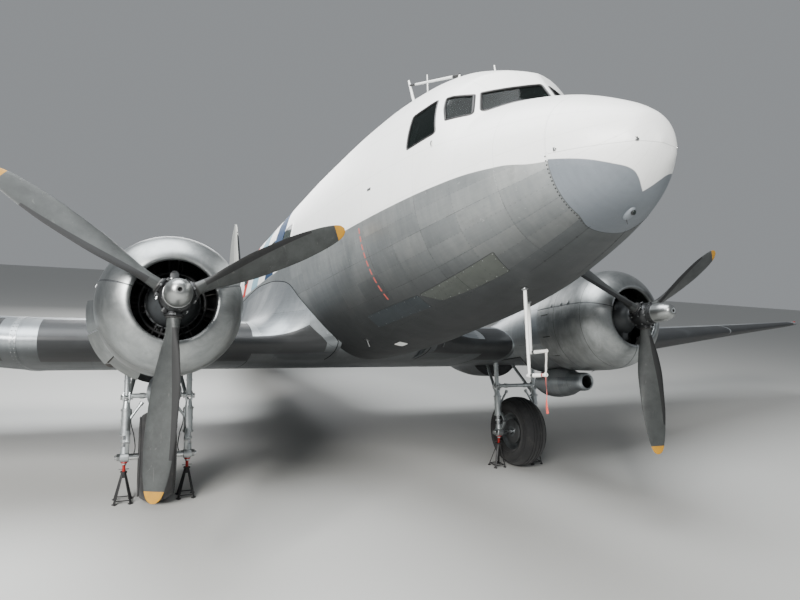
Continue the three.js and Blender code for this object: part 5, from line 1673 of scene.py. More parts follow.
def cowl(side, sg):
    b = Build()
    b.lathe(COWL_OUT + COWL_IN[:-1], "y", (EX, 0, EH), 128, 0, closed=True)
    # the inside is a second material
    n = len(COWL_OUT) + len(COWL_IN) - 1
    for f in range(len(b.m)):
        k = f % n
        if k >= len(COWL_OUT) - 1:
            b.m[f] = 1
    # split lines of the side panels: raised straps with fasteners
    for ang in (17, 163, -90):
        pts = []
        for r, s in COWL_OUT:
            if s > 3.04 and r > .48:
                pts.append((r, s))
        lo, hi = ang - .50, ang + .50
        rows = [[ring_at(r - .003, s, lo), ring_at(r + .0022, s, lo + .12), ring_at(r + .0022, s, hi - .12), ring_at(r - .003, s, hi)] for r, s in pts]
        b.grid(rows, 2)
    # latches along the split lines and at the front ring's rear edge
    for ang in (17, 163):
        for s in (3.52, 3.66, 3.86):
            p = Vector(ring_at(.6885, s, ang - 2.2))
            b.slab(p, (.006, .016, .020), .003, axes=[Vector((math.cos(math.radians(ang)), 0, math.sin(math.radians(ang)))), Vector((0, 1, 0)), Vector((-math.sin(math.radians(ang)), 0, math.cos(math.radians(ang))))], mi=3)
    # rear part: fixed skirt top and bottom, hinged flaps at the sides
    def plate(a0, a1, swing, s0=3.925, s1=4.180):
        rows = []
        m = max(4, int(abs(a1 - a0) / 3))
        for a in np.linspace(a0, a1, m):
            out = []
            for t in (0.0, .03, .35, .7, .97, 1.0):
                s = s0 + t * (s1 - s0) * math.cos(math.radians(swing))
                r = .6865 - .0165 * t**1.4 + t * (s1 - s0) * math.sin(math.radians(swing))
                out.append((r, s))
            ring = [ring_at(r, s, a) for r, s in out] + [ring_at(r - .006, s, a) for r, s in out[::-1]]
            rows.append(ring)
        b.grid(rows, 0)
    gap = .45
    cuts = [(61, 119, 0), (-95, -69, 0), (-111, -95, 0)]
    for a0, sw in ((35, 1.0), (9, 1.0), (-17, 27.0), (-43, 30.0), (-69, 20.0)):
        cuts.append((a0, a0 + 26, sw))
    for k in range(5):
        cuts.append((119 + k * 26, 145 + k * 26, 1.0))
    for a0, a1, sw in cuts:
        plate(a0 + gap, a1 - gap, sw)
    for a in range(-69, 62, 13):
        b.rod(ring_at(.676, 3.932, a - .9), ring_at(.676, 3.932, a + .9), .006, seg=8, mi=3)
    (b if sg > 0 else b.mirror()).piece("cowl_" + side, [COWL, COWL_IN_M, COWL_SEAM, STEEL], replaces="engine_cowl_" + side, slot="cowl_metal")


def cylinder(b, ang, s, fins=26):
    """air-cooled barrel and head with its rocker boxes, radially out at one angle"""
    a = math.radians(ang)
    out, side = Vector((math.cos(a), 0, math.sin(a))), Vector((-math.sin(a), 0, math.cos(a)))
    c0 = Vector((EX, s, EH))
    seg = 20
    prof = [(.0, .235), (.082, .235), (.082, .252), (.062, .254)]
    for k in range(fins):
        t = .262 + k * .0125
        r = .088 if k < 11 else .096
        prof += [(.066, t), (r, t + .0022), (r, t + .0042), (.066, t + .0064)]
    prof += [(.07, .592), (.05, .606), (.0, .608)]
    rows = []
    for r, t in prof:
        rows.append([tuple(c0 + out * t + (side * math.cos(k / seg * 2 * PI) + Vector((0, 1, 0)) * math.sin(k / seg * 2 * PI)) * max(r, .0005)) for k in range(seg)])
    b.grid(rows, 0)
    for d in (-.052, .052):
        p = c0 + out * .592 + side * d
        b.slab(p + Vector((0, -.010, 0)), (.030, .052, .024), .008, axes=[side, Vector((0, 1, 0)), out], mi=1)
        b.rod(p + Vector((0, -.012, 0)) + out * .018, p + Vector((0, -.012, 0)) + out * .031, .016, seg=10, mi=2)


def engine(side, sg):
    b = Build()
    # nose case: reduction gear, thrust plate, crankcase
    case = smooth_profile([(.0, 2.992), (.060, 2.992), (.098, 2.998), (.112, 3.020), (.122, 3.055), (.150, 3.100), (.196, 3.160), (.226, 3.215), (.238, 3.262)], 34)
    case += [(.252, 3.264), (.252, 3.286), (.240, 3.290), (.246, 3.34), (.246, 3.80), (.30, 3.86), (.34, 3.95), (.36, 4.05), (.36, 4.33), (0.0, 4.33)]
    b.lathe(case, "y", (EX, 0, EH), 64, 1)
    for k in range(20):
        p = ring_at(.2445, 3.258, k * 18 + 4)
        b.rod(p, (p[0], p[1] - .014, p[2]), .0085, seg=6, mi=2)
    for k in range(12):
        p = ring_at(.1, 3.0, k * 30)
        b.rod(p, (p[0], p[1] - .012, p[2]), .007, seg=6, mi=2)
    # lumps on the nose case: governor above, sump below, two magnetos
    b.slab(ring_at(.225, 3.19, 90), (.042, .058, .05), .014, mi=1)
    b.rod(ring_at(.262, 3.15, 90), ring_at(.262, 3.235, 90), .036, seg=20, mi=1)
    b.slab(ring_at(.245, 3.235, -90), (.05, .06, .055), .016, mi=1)
    b.rod(ring_at(.29, 3.20, -90), ring_at(.33, 3.20, -90), .022, seg=14, mi=2)
    for ang in (140, 40):
        b.rod(ring_at(.205, 3.145, ang), ring_at(.205, 3.27, ang), .040, seg=20, mi=1)
    # ignition ring and its leads
    pts = [ring_at(.300, 3.325, t) for t in np.linspace(0, 360, 65)[:-1]]
    m = len(pts)
    rows = []
    for k in range(m):
        c = Vector(pts[k])
        rad_ = (c - Vector((EX, 3.325, EH))).normalized()
        rows.append([tuple(c + rad_ * (.017 * math.cos(q)) + Vector((0, 1, 0)) * (.017 * math.sin(q))) for q in [j / 10 * 2 * PI for j in range(10)]])
    verts = [p for r in rows for p in r]
    faces = []
    for k in range(m):
        k2 = (k + 1) % m
        for j in range(10):
            faces.append((k * 10 + j, k * 10 + (j + 1) % 10, k2 * 10 + (j + 1) % 10, k2 * 10 + j))
    b.add(verts, faces, 5)
    for k in range(7):
        ang = 90 + k * 360 / 7
        cylinder(b, ang, 3.475)
        for d in (-9.0, 9.0):
            p0, p1 = ring_at(.243, 3.305, ang + d * .75), ring_at(.585, 3.40, ang + d * .62)
            b.tube([p0, tuple(Vector(p0).lerp(Vector(p1), .5)), p1], .0115, 10, 3)
            b.rod(p0, tuple(Vector(p0).lerp(Vector(p1), .09)), .018, seg=10, mi=5)
        # leads from the ring to the plugs
        q0, q1 = ring_at(.312, 3.325, ang + 13), ring_at(.50, 3.385, ang + 6)
        b.tube([q0, ring_at(.36, 3.322, ang + 13), ring_at(.45, 3.345, ang + 10), q1], .0075, 8, 4)
        q0, q1 = ring_at(.312, 3.325, ang + 22), ring_at(.50, 3.56, ang + 20)
        b.tube([q0, ring_at(.38, 3.34, ang + 22), ring_at(.46, 3.44, ang + 22), q1], .0075, 8, 4)
    for k in range(7):
        cylinder(b, 90 + (k + .5) * 360 / 7, 3.685, 24)
    # baffles between the cylinders, closing the view through
    b.lathe([(.24, 3.575), (.655, 3.575), (.668, 3.585), (.655, 3.592), (.24, 3.592)], "y", (EX, 0, EH), 72, 5, closed=True)
    (b if sg > 0 else b.mirror()).piece("engine_core_" + side, [ENGINE_M, CASE_M, HUB_M, BLACKP, LEAD_M, DARK], replaces="engine_" + side, slot="dark_metal", angle=40)


# blade: radius, chord, thickness, pitch
BLADE = [(.20, .128, .112, 60), (.30, .150, .092, 56), (.52, .235, .062, 47), (.82, .290, .044, 38), (1.15, .285, .032, 30), (1.45, .240, .022, 25), (1.64, .175, .015, 22), (1.725, .110, .010, 21), (1.754, .040, .006, 21)]
_bl = [pchip([r[0] for r in BLADE], [r[k] for r in BLADE]) for k in (1, 2, 3)]
ANGLES = {"left": [31.9, -88.1, 151.9], "right": [25.6, -94.4, 145.6]}


def blade_section(r, n=28):
    """round at the root, an aerofoil from about a third out"""
    w = min(max((r - .22) / .30, 0), 1)
    w = w * w * (3 - 2 * w)
    foil = smooth_profile([(-.5, 0), (-.47, .16), (-.3, .42), (.05, .5), (.35, .34), (.47, .14), (.5, 0)], n // 2 + 1)[:-1]
    foil += smooth_profile([(.5, 0), (.47, -.12), (.3, -.3), (0, -.36), (-.3, -.3), (-.47, -.12), (-.5, 0)], n // 2 + 1)[:-1]
    m = len(foil)
    out = []
    for k, (u, v) in enumerate(foil):
        a = PI - 2 * PI * k / m
        out.append((u * w + .5 * math.cos(a) * (1 - w), v * w + .5 * math.sin(a) * (1 - w)))
    return out


def propeller(side, sg):
    ex = sg * EX
    b = Build()
    centre = Vector((ex, PROP_S, EH))
    for ang in ANGLES[side]:
        t = math.radians(ang)
        # r outward, y along the shaft, w in the disc
        er = Vector((math.cos(t), 0, math.sin(t)))
        ew = Vector((-math.sin(t), 0, math.cos(t)))
        rs = [.166, .19, .215, .235, .26, .285] + list(np.linspace(.32, 1.60, 33)) + [1.63, 1.655, 1.68, 1.70, 1.718, 1.733, 1.744, 1.751, 1.754]
        rows, tip = [], []
        for r in rs:
            c, th, p = (f(r) for f in _bl)
            P = math.radians(p)
            sec = blade_section(r)
            ring = []
            for u, v in sec:
                a_, b_ = u * c, -v * th
                ring.append(tuple(centre + er * r + Vector((0, 1, 0)) * (-a_ * math.sin(P) + b_ * math.cos(P)) + ew * (a_ * math.cos(P) + b_ * math.sin(P))))
            rows.append(ring)
        k = rs.index(1.655)
        b.grid(rows[:k + 1], 0, caps=(True, False))
        b.grid(rows[k:], 1, caps=(False, True))
        # hub arm, clamp and sleeve
        def lug(r0, r1, q0, q1, mi, seg=36):
            rows_ = []
            for rr, tt in ((q0 - .004, r0), (q0, r0 + .004), (q1, r1 - .004), (q1 - .004, r1)):
                rows_.append([tuple(centre + er * tt + (ew * math.cos(j / seg * 2 * PI) + Vector((0, 1, 0)) * math.sin(j / seg * 2 * PI)) * rr) for j in range(seg)])
            b.grid(rows_, mi)
        lug(.06, .150, .084, .080, 2)
        lug(.148, .172, .088, .088, 2)
        lug(.172, .190, .073, .070, 3)
        for q in (-1, 1):
            for d in (-.052, .052):
                p = centre + er * .125 + ew * (q * .080) + Vector((0, 1, 0)) * d
                b.slab(p, (.030, .016, .013), .004, axes=[er, ew, Vector((0, 1, 0))], mi=2)
                b.rod(p + ew * (q * .01), p + ew * (q * .028), .0095, seg=6, mi=4)
        b.rod(centre + er * .160 + Vector((0, -.084, 0)), centre + er * .160 + Vector((0, -.104, 0)), .010, seg=10, mi=4)
    b.lathe([(0.0, -.128), (.086, -.128), (.112, -.116), (.140, -.085), (.148, -.05), (.148, .05), (.140, .084), (.108, .112), (0.0, .118)], "y", tuple(centre), 56, 2)
    for k in range(8):
        a = k * PI / 4 + .2
        p = centre + Vector((.118 * math.cos(a), -.105, .118 * math.sin(a)))
        b.rod(p, p + Vector((0, -.018, 0)), .010, seg=6, mi=4)
    b.piece("propeller_fine_" + side, [BLADE_M, YELLOW, HUB_M, SLEEVE_M, STEEL], body="propeller_" + side, replaces="propeller_" + side, slot="blade")
    d = Build()
    prof = smooth_profile([(.0185, -.4555), (.034, -.4555), (.053, -.449), (.073, -.434), (.0905, -.406), (.1025, -.374), (.1125, -.335), (.117, -.300), (.118, -.260), (.118, -.205)], 34)
    prof += [(.122, -.203), (.123, -.196), (.123, -.172), (.118, -.168), (.118, -.150), (.125, -.148), (.125, -.1305), (0.0, -.1305)]
    d.lathe([(0.0, -.430), (.0180, -.430)] + prof, "y", tuple(centre), 64, 0)
    for f in range(len(d.m)):
        k = f % (len(prof) + 1)
        if k in (0, 1):
            d.m[f] = 1
        elif k >= 36:
            d.m[f] = 3
    for k in range(12):
        a = k * PI / 6
        p = centre + Vector((.123 * math.cos(a), -.184, .123 * math.sin(a)))
        o = Vector((math.cos(a), 0, math.sin(a)))
        d.rod(p - o * .004, p + o * .004, .0068, seg=8, mi=2)
    d.piece("propeller_dome_fine_" + side, [DOME_M, BLACKP, HUB_M, DARK], body="propeller_" + side, replaces="propeller_dome_" + side, slot="dome")


# nacelle: s, half width, top, bottom (from the thrust line)
NAC = [(4.19, .600, .600, -.600), (4.6, .590, .560, -.640), (5.2, .560, .420, -.690), (6.0, .520, .200, -.720), (6.8, .450, .060, -.700), (7.4, .340, -.060, -.600), (7.7, .220, -.180, -.500), (7.9, .060, -.320, -.400)]
_nc = [pchip([r[0] for r in NAC], [r[k] for r in NAC]) for k in (1, 2, 3)]


def nacelle_ring(s, n=72, d=0.0):
    w, t, bo = (f(s) for f in _nc)
    m, hh = (t + bo) / 2, (t - bo) / 2
    return [(EX + (w + d) * math.cos(k / n * 2 * PI), s, EH + m + (hh + d) * math.sin(k / n * 2 * PI)) for k in range(n)]


def nacelle(side, sg):
    ss = [4.19, 4.20] + list(np.linspace(4.28, 7.3, 30)) + [7.4, 7.5, 7.6, 7.68, 7.75, 7.81, 7.86, 7.89, 7.9]
    b = Build().grid([nacelle_ring(s) for s in ss], 0)
    ob = (b if sg > 0 else b.mirror()).mesh("nacelle_shell_" + side, [WING_BARE.m, DARK.m])
    c = Build().grid([[(x, 4.9, -3.0), (x, 6.3, -3.0), (x, 6.3, -1.19), (x, 4.9, -1.19)] for x in (EX - .455, EX + .455)], 1)
    boolean(ob, (c if sg > 0 else c.mirror()).mesh("cutter", [WING_BARE.m, DARK.m]))
    c = Build().lathe([(0.0, 4.1), (.42, 4.1), (.42, 4.42), (0.0, 4.42)], "y", (EX, 0, EH), 48, 1)
    boolean(ob, (c if sg > 0 else c.mirror()).mesh("cutter", [WING_BARE.m, DARK.m]))
    settle(ob, "airframe", ("nacelle_" + side, "nacelle_tail_" + side))
    b = Build()
    # firewall and engine mount
    b.lathe([(.43, 4.186), (.592, 4.186), (.592, 4.192), (.43, 4.192)], "y", (EX, 0, EH), 64, 1, closed=True)
    for k in range(8):
        a = 22.5 + k * 45
        b.rod(ring_at(.36, 3.98, a), ring_at(.52, 4.19, a + (11 if k % 2 else -11)), .018, seg=10, mi=1)
    # rim of the wheel well
    x0, x1, s0, s1 = EX - .455, EX + .455, 4.9, 6.3
    def low(x, s):
        w, t, bo = (f(s) for f in _nc)
        m, hh = (t + bo) / 2, (t - bo) / 2
        q = min(1.0, abs(x - EX) / w)
        return EH + m - hh * math.sqrt(max(1 - q * q, 0.0))
    for xa in (x0, x1):
        b.tube([(xa, s, low(xa, s) + .004) for s in np.linspace(s0, s1, 24)], .011, 10, 1)
    for s_ in (s0, s1):
        b.tube([(x, s_, low(x, s_) + .004) for x in np.linspace(x0, x1, 20)], .011, 10, 1)
    # oil cooler duct
    tab = [(3.96, .120, .110), (3.975, .132, .120), (4.01, .150, .132), (4.16, .170, .134), (4.30, .178, .195), (4.6, .172, .228), (4.85, .145, .200), (5.06, .080, .120)]
    cw, ch = (pchip([r[0] for r in tab], [r[k] for r in tab]) for k in (1, 2))
    n = 40
    rows = []
    # from inside the mouth, round the lip and aft
    for s, r in ((4.26, .085), (4.0, .085), (3.975, .088), (3.960, .098)):
        rows.append([(EX + r * math.cos(k / n * 2 * PI), s, -1.64 + r * math.sin(k / n * 2 * PI)) for k in range(n)])
    for s in [3.9605, 3.968, 3.98, 3.995, 4.02, 4.06, 4.12, 4.18, 4.24, 4.3, 4.36, 4.44, 4.52, 4.6, 4.7, 4.8, 4.88, 4.95, 5.01, 5.06]:
        w, h = cw(s), ch(s)
        if s < 3.98:
            w, h = .106 + (s - 3.96) * 1.0, .104 + (s - 3.96) * .7
        rows.append([(EX + w * math.cos(k / n * 2 * PI), s, -1.64 + h * math.sin(k / n * 2 * PI)) for k in range(n)])
    o = len(b.m)
    b.grid(rows, 0)
    for f in range(o, o + n * 2):
        b.m[f] = 1
    b.m[-2] = 1
    # fins of the cooler deep in its mouth
    for k in range(-3, 4):
        w = math.sqrt(max(.083**2 - (k * .024) ** 2, 0))
        b.slab((EX + k * .024, 4.15, -1.64), (.0015, .01, w), .0005, mi=1)
    # carburettor intake on top of the cowling
    rows = []
    m = 28
    for s, w, h, z in ((3.80, .070, .030, .700), (3.81, .098, .050, .708), (3.86, .112, .058, .705), (4.0, .118, .060, .690), (4.2, .116, .070, .640), (4.4, .104, .078, .590), (4.62, .080, .060, .555), (4.8, .04, .02, .530)):
        rows.append([(EX + w * math.cos(k / m * 2 * PI), s, EH + z + h * math.sin(k / m * 2 * PI)) for k in range(m)])
    inner = [(3.93, .056, .026, .700), (3.82, .062, .030, .706), (3.802, .066, .032, .704)]
    rows = [[(EX + w * math.cos(k / m * 2 * PI), s, EH + z + h * math.sin(k / m * 2 * PI)) for k in range(m)] for s, w, h, z in inner] + rows[1:]
    o = len(b.m)
    b.grid(rows, 0)
    for f in range(o, o + m):
        b.m[f] = 1
    b.m[-2] = 1
    # exhaust pipe on the outboard side, below the wing
    path = [(EX + .44, 4.20, EH - .26), (EX + .49, 4.30, EH - .30), (EX + .555, 4.48, EH - .35), (EX + .578, 4.75, EH - .39), (EX + .572, 5.1, EH - .42), (EX + .555, 5.42, EH - .44)]
    dense = smooth_profile(path, 30)
    outer_r = [.082] * 26 + [.083, .084, .086, .088]
    o = len(b.m)
    rows = []
    u = None
    P3 = [Vector(p) for p in dense]
    for i, p in enumerate(P3):
        d = (P3[min(i + 1, len(P3) - 1)] - P3[max(i - 1, 0)]).normalized()
        u = d.orthogonal().normalized() if u is None else (u - d * u.dot(d)).normalized()
        w = d.cross(u)
        rows.append([tuple(p + (u * math.cos(k / 28 * 2 * PI) + w * math.sin(k / 28 * 2 * PI)) * outer_r[i]) for k in range(28)])
    last = [Vector(q) for q in rows[-1]]
    ce = sum(last, Vector()) / 28
    rows.append([tuple(ce + (q - ce) * .94) for q in last])
    ce2 = ce - (P3[-1] - P3[-5]).normalized() * .25
    rows.append([tuple(ce2 + (q - ce) * .90) for q in last])
    b.grid(rows, 2)
    for s_ in (7, 20):
        ring = [Vector(q) for q in rows[s_]]
        c_ = sum(ring, Vector()) / 28
        d = (P3[s_ + 1] - P3[s_ - 1]).normalized()
        b.grid([[tuple(c_ + d * t + (q - c_) * g) for q in ring] for t, g in ((-.014, 1.02), (-.010, 1.07), (.010, 1.07), (.014, 1.02))], 3)
    (b if sg > 0 else b.mirror()).piece("nacelle_fittings_" + side, [WING_BARE, DARK, EXHAUST_M, STEEL])


CASE_M = paint_material("paint_crankcase", (54, 57, 59), (26, 25, 24), 0.5, 10.0, 0.7)
LEAD_M = paint_material("braid_lead", (34, 33, 31), (22, 21, 19), 0.6, 20.0, 0.5)
COWL_IN_M = paint_material("paint_cowl_inner", (86, 90, 88), (48, 46, 42), 0.55, 6.0, 0.6)
COWL_SEAM = plain_metal("metal_strap", (118, 121, 123), 0.40, 1.0, 14.0, (58, 58, 56), 0.4)
HUB_M = plain_metal("metal_hub", (58, 59, 60), 0.40, 0.85, 14.0, (26, 25, 24), 0.6)
SLEEVE_M = paint_material("paint_sleeve", (36, 36, 36), (78, 74, 66), 0.5, 18.0, 0.4)
EXHAUST_M = plain_metal("metal_exhaust", (68, 62, 57), 0.58, 0.85, 7.0, (36, 31, 28), 0.7)
both(cowl)
both(engine)
both(propeller)
both(nacelle)


# ------------------------------------------------------------------ main gear and tail gear
LEG_DX, TYRE_R, TYRE_W, RIM_R = .375, .570, .430, .300
CHROME = plain_metal("metal_chrome", (222, 224, 224), 0.12, 1.0, 12.0, (150, 150, 146), 0.25)
SILVER = plain_metal("paint_silver", (186, 191, 192), 0.38, 0.9, 10.0, (104, 100, 92), 0.4)
BRAKE = plain_metal("metal_brake", (96, 98, 99), 0.5, 0.85, 12.0, (52, 48, 44), 0.6)
LINE = paint_material("rubber_line", (28, 28, 29), (60, 58, 54), 0.5, 20.0, 0.4)


def ring_torus(b, centre, normal, R, r, seg=40, k=12, mi=0):
    n = Vector(normal).normalized()
    u = n.orthogonal().normalized()
    w = n.cross(u)
    c = Vector(centre)
    rows = []
    for i in range(seg):
        a = i / seg * 2 * PI
        o = u * math.cos(a) + w * math.sin(a)
        rows.append([tuple(c + o * (R + r * math.cos(q)) + n * (r * math.sin(q))) for q in [j / k * 2 * PI for j in range(k)]])
    verts = [p for r_ in rows for p in r_]
    faces = []
    for i in range(seg):
        i2 = (i + 1) % seg
        for j in range(k):
            faces.append((i * k + j, i * k + (j + 1) % k, i2 * k + (j + 1) % k, i2 * k + j))
    return b.add(verts, faces, mi)


def gear(side, sg):
    b = Build()
    A, H = AXLE_S, AXLE_H
    for q in (-1, 1):
        x = EX + q * LEG_DX
        # lower fitting round the axle, sliding tube, cylinder, collar, upper tube
        b.rod((x - .052, A, H), (x + .052, A, H), .064, seg=28, mi=0)
        b.rod((x, A, H + .02), (x, A, H + .13), .050, .046, 28, 0)
        b.rod((x, A, H + .12), (x, A, H + .30), .037, seg=28, mi=1)
        b.rod((x, A, H + .185), (x, A, H + .215), .050, seg=28, mi=0)
        b.rod((x, A, H + .28), (x, A, H + .60), .055, seg=32, mi=0)
        for t, r in ((.285, .061), (.45, .0605), (.585, .062)):
            b.rod((x, A, H + t - .016), (x, A, H + t + .016), r, seg=32, mi=0)
        b.rod((x, A, H + .60), (x, A, H + .70), .048, .036, 24, 0)
        # clevis with its cross bolt
        for d in (-.034, .034):
            b.slab((x + d, A, H + .745), (.010, .038, .065), .012, mi=0)
        b.rod((x - .062, A, H + .745), (x + .062, A, H + .745), .022, seg=20, mi=1)
        for d in (-.066, .066):
            b.rod((x + d - .007, A, H + .745), (x + d + .007, A, H + .745), .034, seg=6, mi=2)
        ring_torus(b, (x, A - .008, H + .745), (0, 1, 0), .052, .011, mi=1)
        b.rod((x, A, H + .765), (x, A, -1.225), .036, seg=26, mi=0)
        for t in (.80, .95, 1.10):
            b.rod((x, A, H + t - .011), (x, A, H + t + .011), .042, seg=24, mi=0)
        # brace back into the wheel well
        p0, p1 = Vector((x, A + .02, H + .62)), Vector((EX + q * .25, A + .50, -1.235))
        b.rod(p0, p1, .0255, seg=20, mi=0)
        b.rod(p0 + Vector((0, -.02, -.01)), p0.lerp(p1, .06), .034, seg=16, mi=0)
        # torque arms in front of the sliding tube
        k0, k1, k2 = (x - q * .030, A - .058, H + .060), (x - q * .030, A - .150, H + .185), (x - q * .030, A - .062, H + .315)
        for a_, c_ in ((k0, k1), (k1, k2)):
            m = (Vector(a_) + Vector(c_)) / 2
            dd = (Vector(c_) - Vector(a_))
            ax = dd.normalized()
            b.slab(m, (.022, dd.length / 2 + .006, .010), .006, axes=[Vector((1, 0, 0)), ax, Vector((1, 0, 0)).cross(ax)], mi=0)
        b.rod((x - q * .030 - .03, A - .150, H + .185), (x - q * .030 + .03, A - .150, H + .185), .013, seg=12, mi=2)
        # bolt heads on the cylinder's collars
        for t in (.285, .585):
            for k in range(6):
                a = k * PI / 3 + .3
                p = Vector((x + .058 * math.cos(a), A + .058 * math.sin(a), H + t))
                o = Vector((math.cos(a), math.sin(a), 0))
                b.rod(p, p + o * .011, .0075, seg=6, mi=2)
        # brake line down the leg
        b.tube(smooth_profile([(x - q * .062, A + .03, H + .58), (x - q * .064, A + .03, H + .40), (x - q * .10, A + .05, H + .26), (x - q * .12, A + .03, H + .10), (x - q * .105, A + .01, H + .02)], 26), .0065, 10, 3)
        # diagonal from the cylinder's head down and in to the cross tube's lug
        b.rod((x - q * .045, A - .01, H + .47), (x - q * .175, A - .015, H + .66), .017, seg=16, mi=0)
        b.rod((x - q * .165, A - .015, H + .64), (x - q * .185, A - .015, H + .68), .026, seg=16, mi=0)
        # axle end with its nut and jacking point
        b.rod((x + q * .050, A, H), (x + q * .088, A, H), .046, seg=6, mi=2)
        b.rod((x + q * .085, A, H), (x + q * .112, A, H), .026, seg=16, mi=1)
        b.rod((x, A, H - .095), (x, A, H - .02), .030, .040, 20, 0)
    b.rod((EX - LEG_DX, A, H), (EX + LEG_DX, A, H), .040, seg=30, mi=1)
    b.rod((EX - LEG_DX + .03, A, H + .76), (EX + LEG_DX - .03, A, H + .76), .0295, seg=24, mi=0)
    for q in (-1, 1):
        b.rod((EX + q * .225, A, H + .76), (EX + q * .165, A, H + .76), .0385, seg=20, mi=0)
    (b if sg > 0 else b.mirror()).piece("main_gear_legs_" + side, [SILVER, CHROME, STEEL, LINE], replaces="gear_frame_" + side, slot="gear_metal")


def turned_x(b, prof, at, seg, turn=0.0, mi=0, closed=True):
    return b.lathe(prof, "x", at, seg, mi, closed, turn)


def wheel(side, sg):
    A, H = AXLE_S, AXLE_H
    b = Build()
    c = (EX, A, H)
    prof = [(.046, -.130), (.086, -.130), (.092, -.122), (.098, -.085), (.112, -.068), (.150, -.060), (.200, -.060), (.240, -.066), (.262, -.086), (.276, -.112), (.2995, -.124), (.2997, -.118), (.290, -.104), (.284, -.08),
            (.284, .08), (.290, .104), (.2997, .118), (.2995, .124), (.276, .112), (.262, .086), (.240, .066), (.200, .060), (.150, .060), (.112, .068), (.098, .085), (.092, .122), (.086, .130), (.046, .130)]
    b.lathe(prof, "x", c, 72, 0, closed=True)
    # brake drum on the inboard side, hub cap on the outboard side
    b.lathe([(.05, -.128), (.105, -.126), (.195, -.116), (.205, -.108), (.205, -.072), (.05, -.070)], "x", c, 64, 1, closed=True)
    b.lathe([(.045, .129), (.072, .132), (.080, .142), (.078, .150), (.045, .152)], "x", c, 48, 3, closed=True)
    for k in range(9):
        a = k / 9 * 2 * PI
        for sx in (-1, 1):
            p = Vector((EX + sx * .0615, A + .172 * math.cos(a), H + .172 * math.sin(a)))
            b.rod(p, p + Vector((sx * .012, 0, 0)), .0105, seg=6, mi=2)
        p = Vector((EX + .060, A + .225 * math.cos(a + .35), H + .225 * math.sin(a + .35)))
        b.rod(p, p + Vector((.006, 0, 0)), .022, seg=18, mi=4)
    (b if sg > 0 else b.mirror()).piece("main_wheel_rim_" + side, [SILVER_DK, BRAKE, STEEL, CHROME, DARK], body="main_wheel_" + side, replaces="wheel_" + side, slot="dark_metal")
    t = Build()
    tyre_build(t, c, TYRE_R, TYRE_W, RIM_R, 120, 44)
    (t if sg > 0 else t.mirror()).piece("main_tyre_" + side, [RUBBER], body="main_wheel_" + side, replaces="tyre_" + side, slot="rubber", angle=30)


def tyre_build(b, c, r, w, rim, seg, blocks, flat=True):
    """tyre with a bead, a side wall with a raised ring and grooved ribs round the tread; its lowest part is as the CAD tyre's"""
    def sym(pts):
        return pts + [(q, -t) for q, t in pts[::-1]]
    half = [(rim, -w * .30), (rim + .012, -w * .365), (rim + .030, -w * .415)]
    half += smooth_profile([(rim + .030, -w * .415), ((r + rim) / 2 - .03, -w * .485), ((r + rim) / 2 + .010, -w * .498), (r - .14 * r, -w * .455), (r - .1 * r, -w * .418)], 14)[1:]
    half += [(r - .085 * r, -w * .395), (r - .082 * r, -w * .385), (r - .052 * r, -w * .320), (r - .022 * r, -w * .225)]
    g = .011
    for e, v in ((.205, 0), (.195, 1), (.175, 1), (.165, 0), (.095, 0), (.085, 1), (.065, 1), (.055, 0)):
        base = r * (1 - .02 * min(1, (e / .22)) ** 2) - .0006
        half.append((base - (g if v else 0), -w * e))
    full = [(q, t) for q, t in sym(half)]
    b.lathe(full, "x", c, seg, 0, closed=True)
    # raised rings on the side walls
    for sx in (-1, 1):
        for rr, hh in ((rim + .045, .0035), ((r + rim) / 2 + .055, .0030)):
            base = w * (.440 if rr < (r + rim) / 2 else .485)
            b.lathe([(rr - .006, sx * (base - .010)), (rr - .004, sx * (base + hh)), (rr + .004, sx * (base + hh)), (rr + .006, sx * (base - .010))], "x", c, seg, 0, closed=True)
    return b


SILVER_DK = plain_metal("metal_wheel", (112, 116, 118), 0.42, 0.9, 9.0, (48, 46, 42), 0.6)


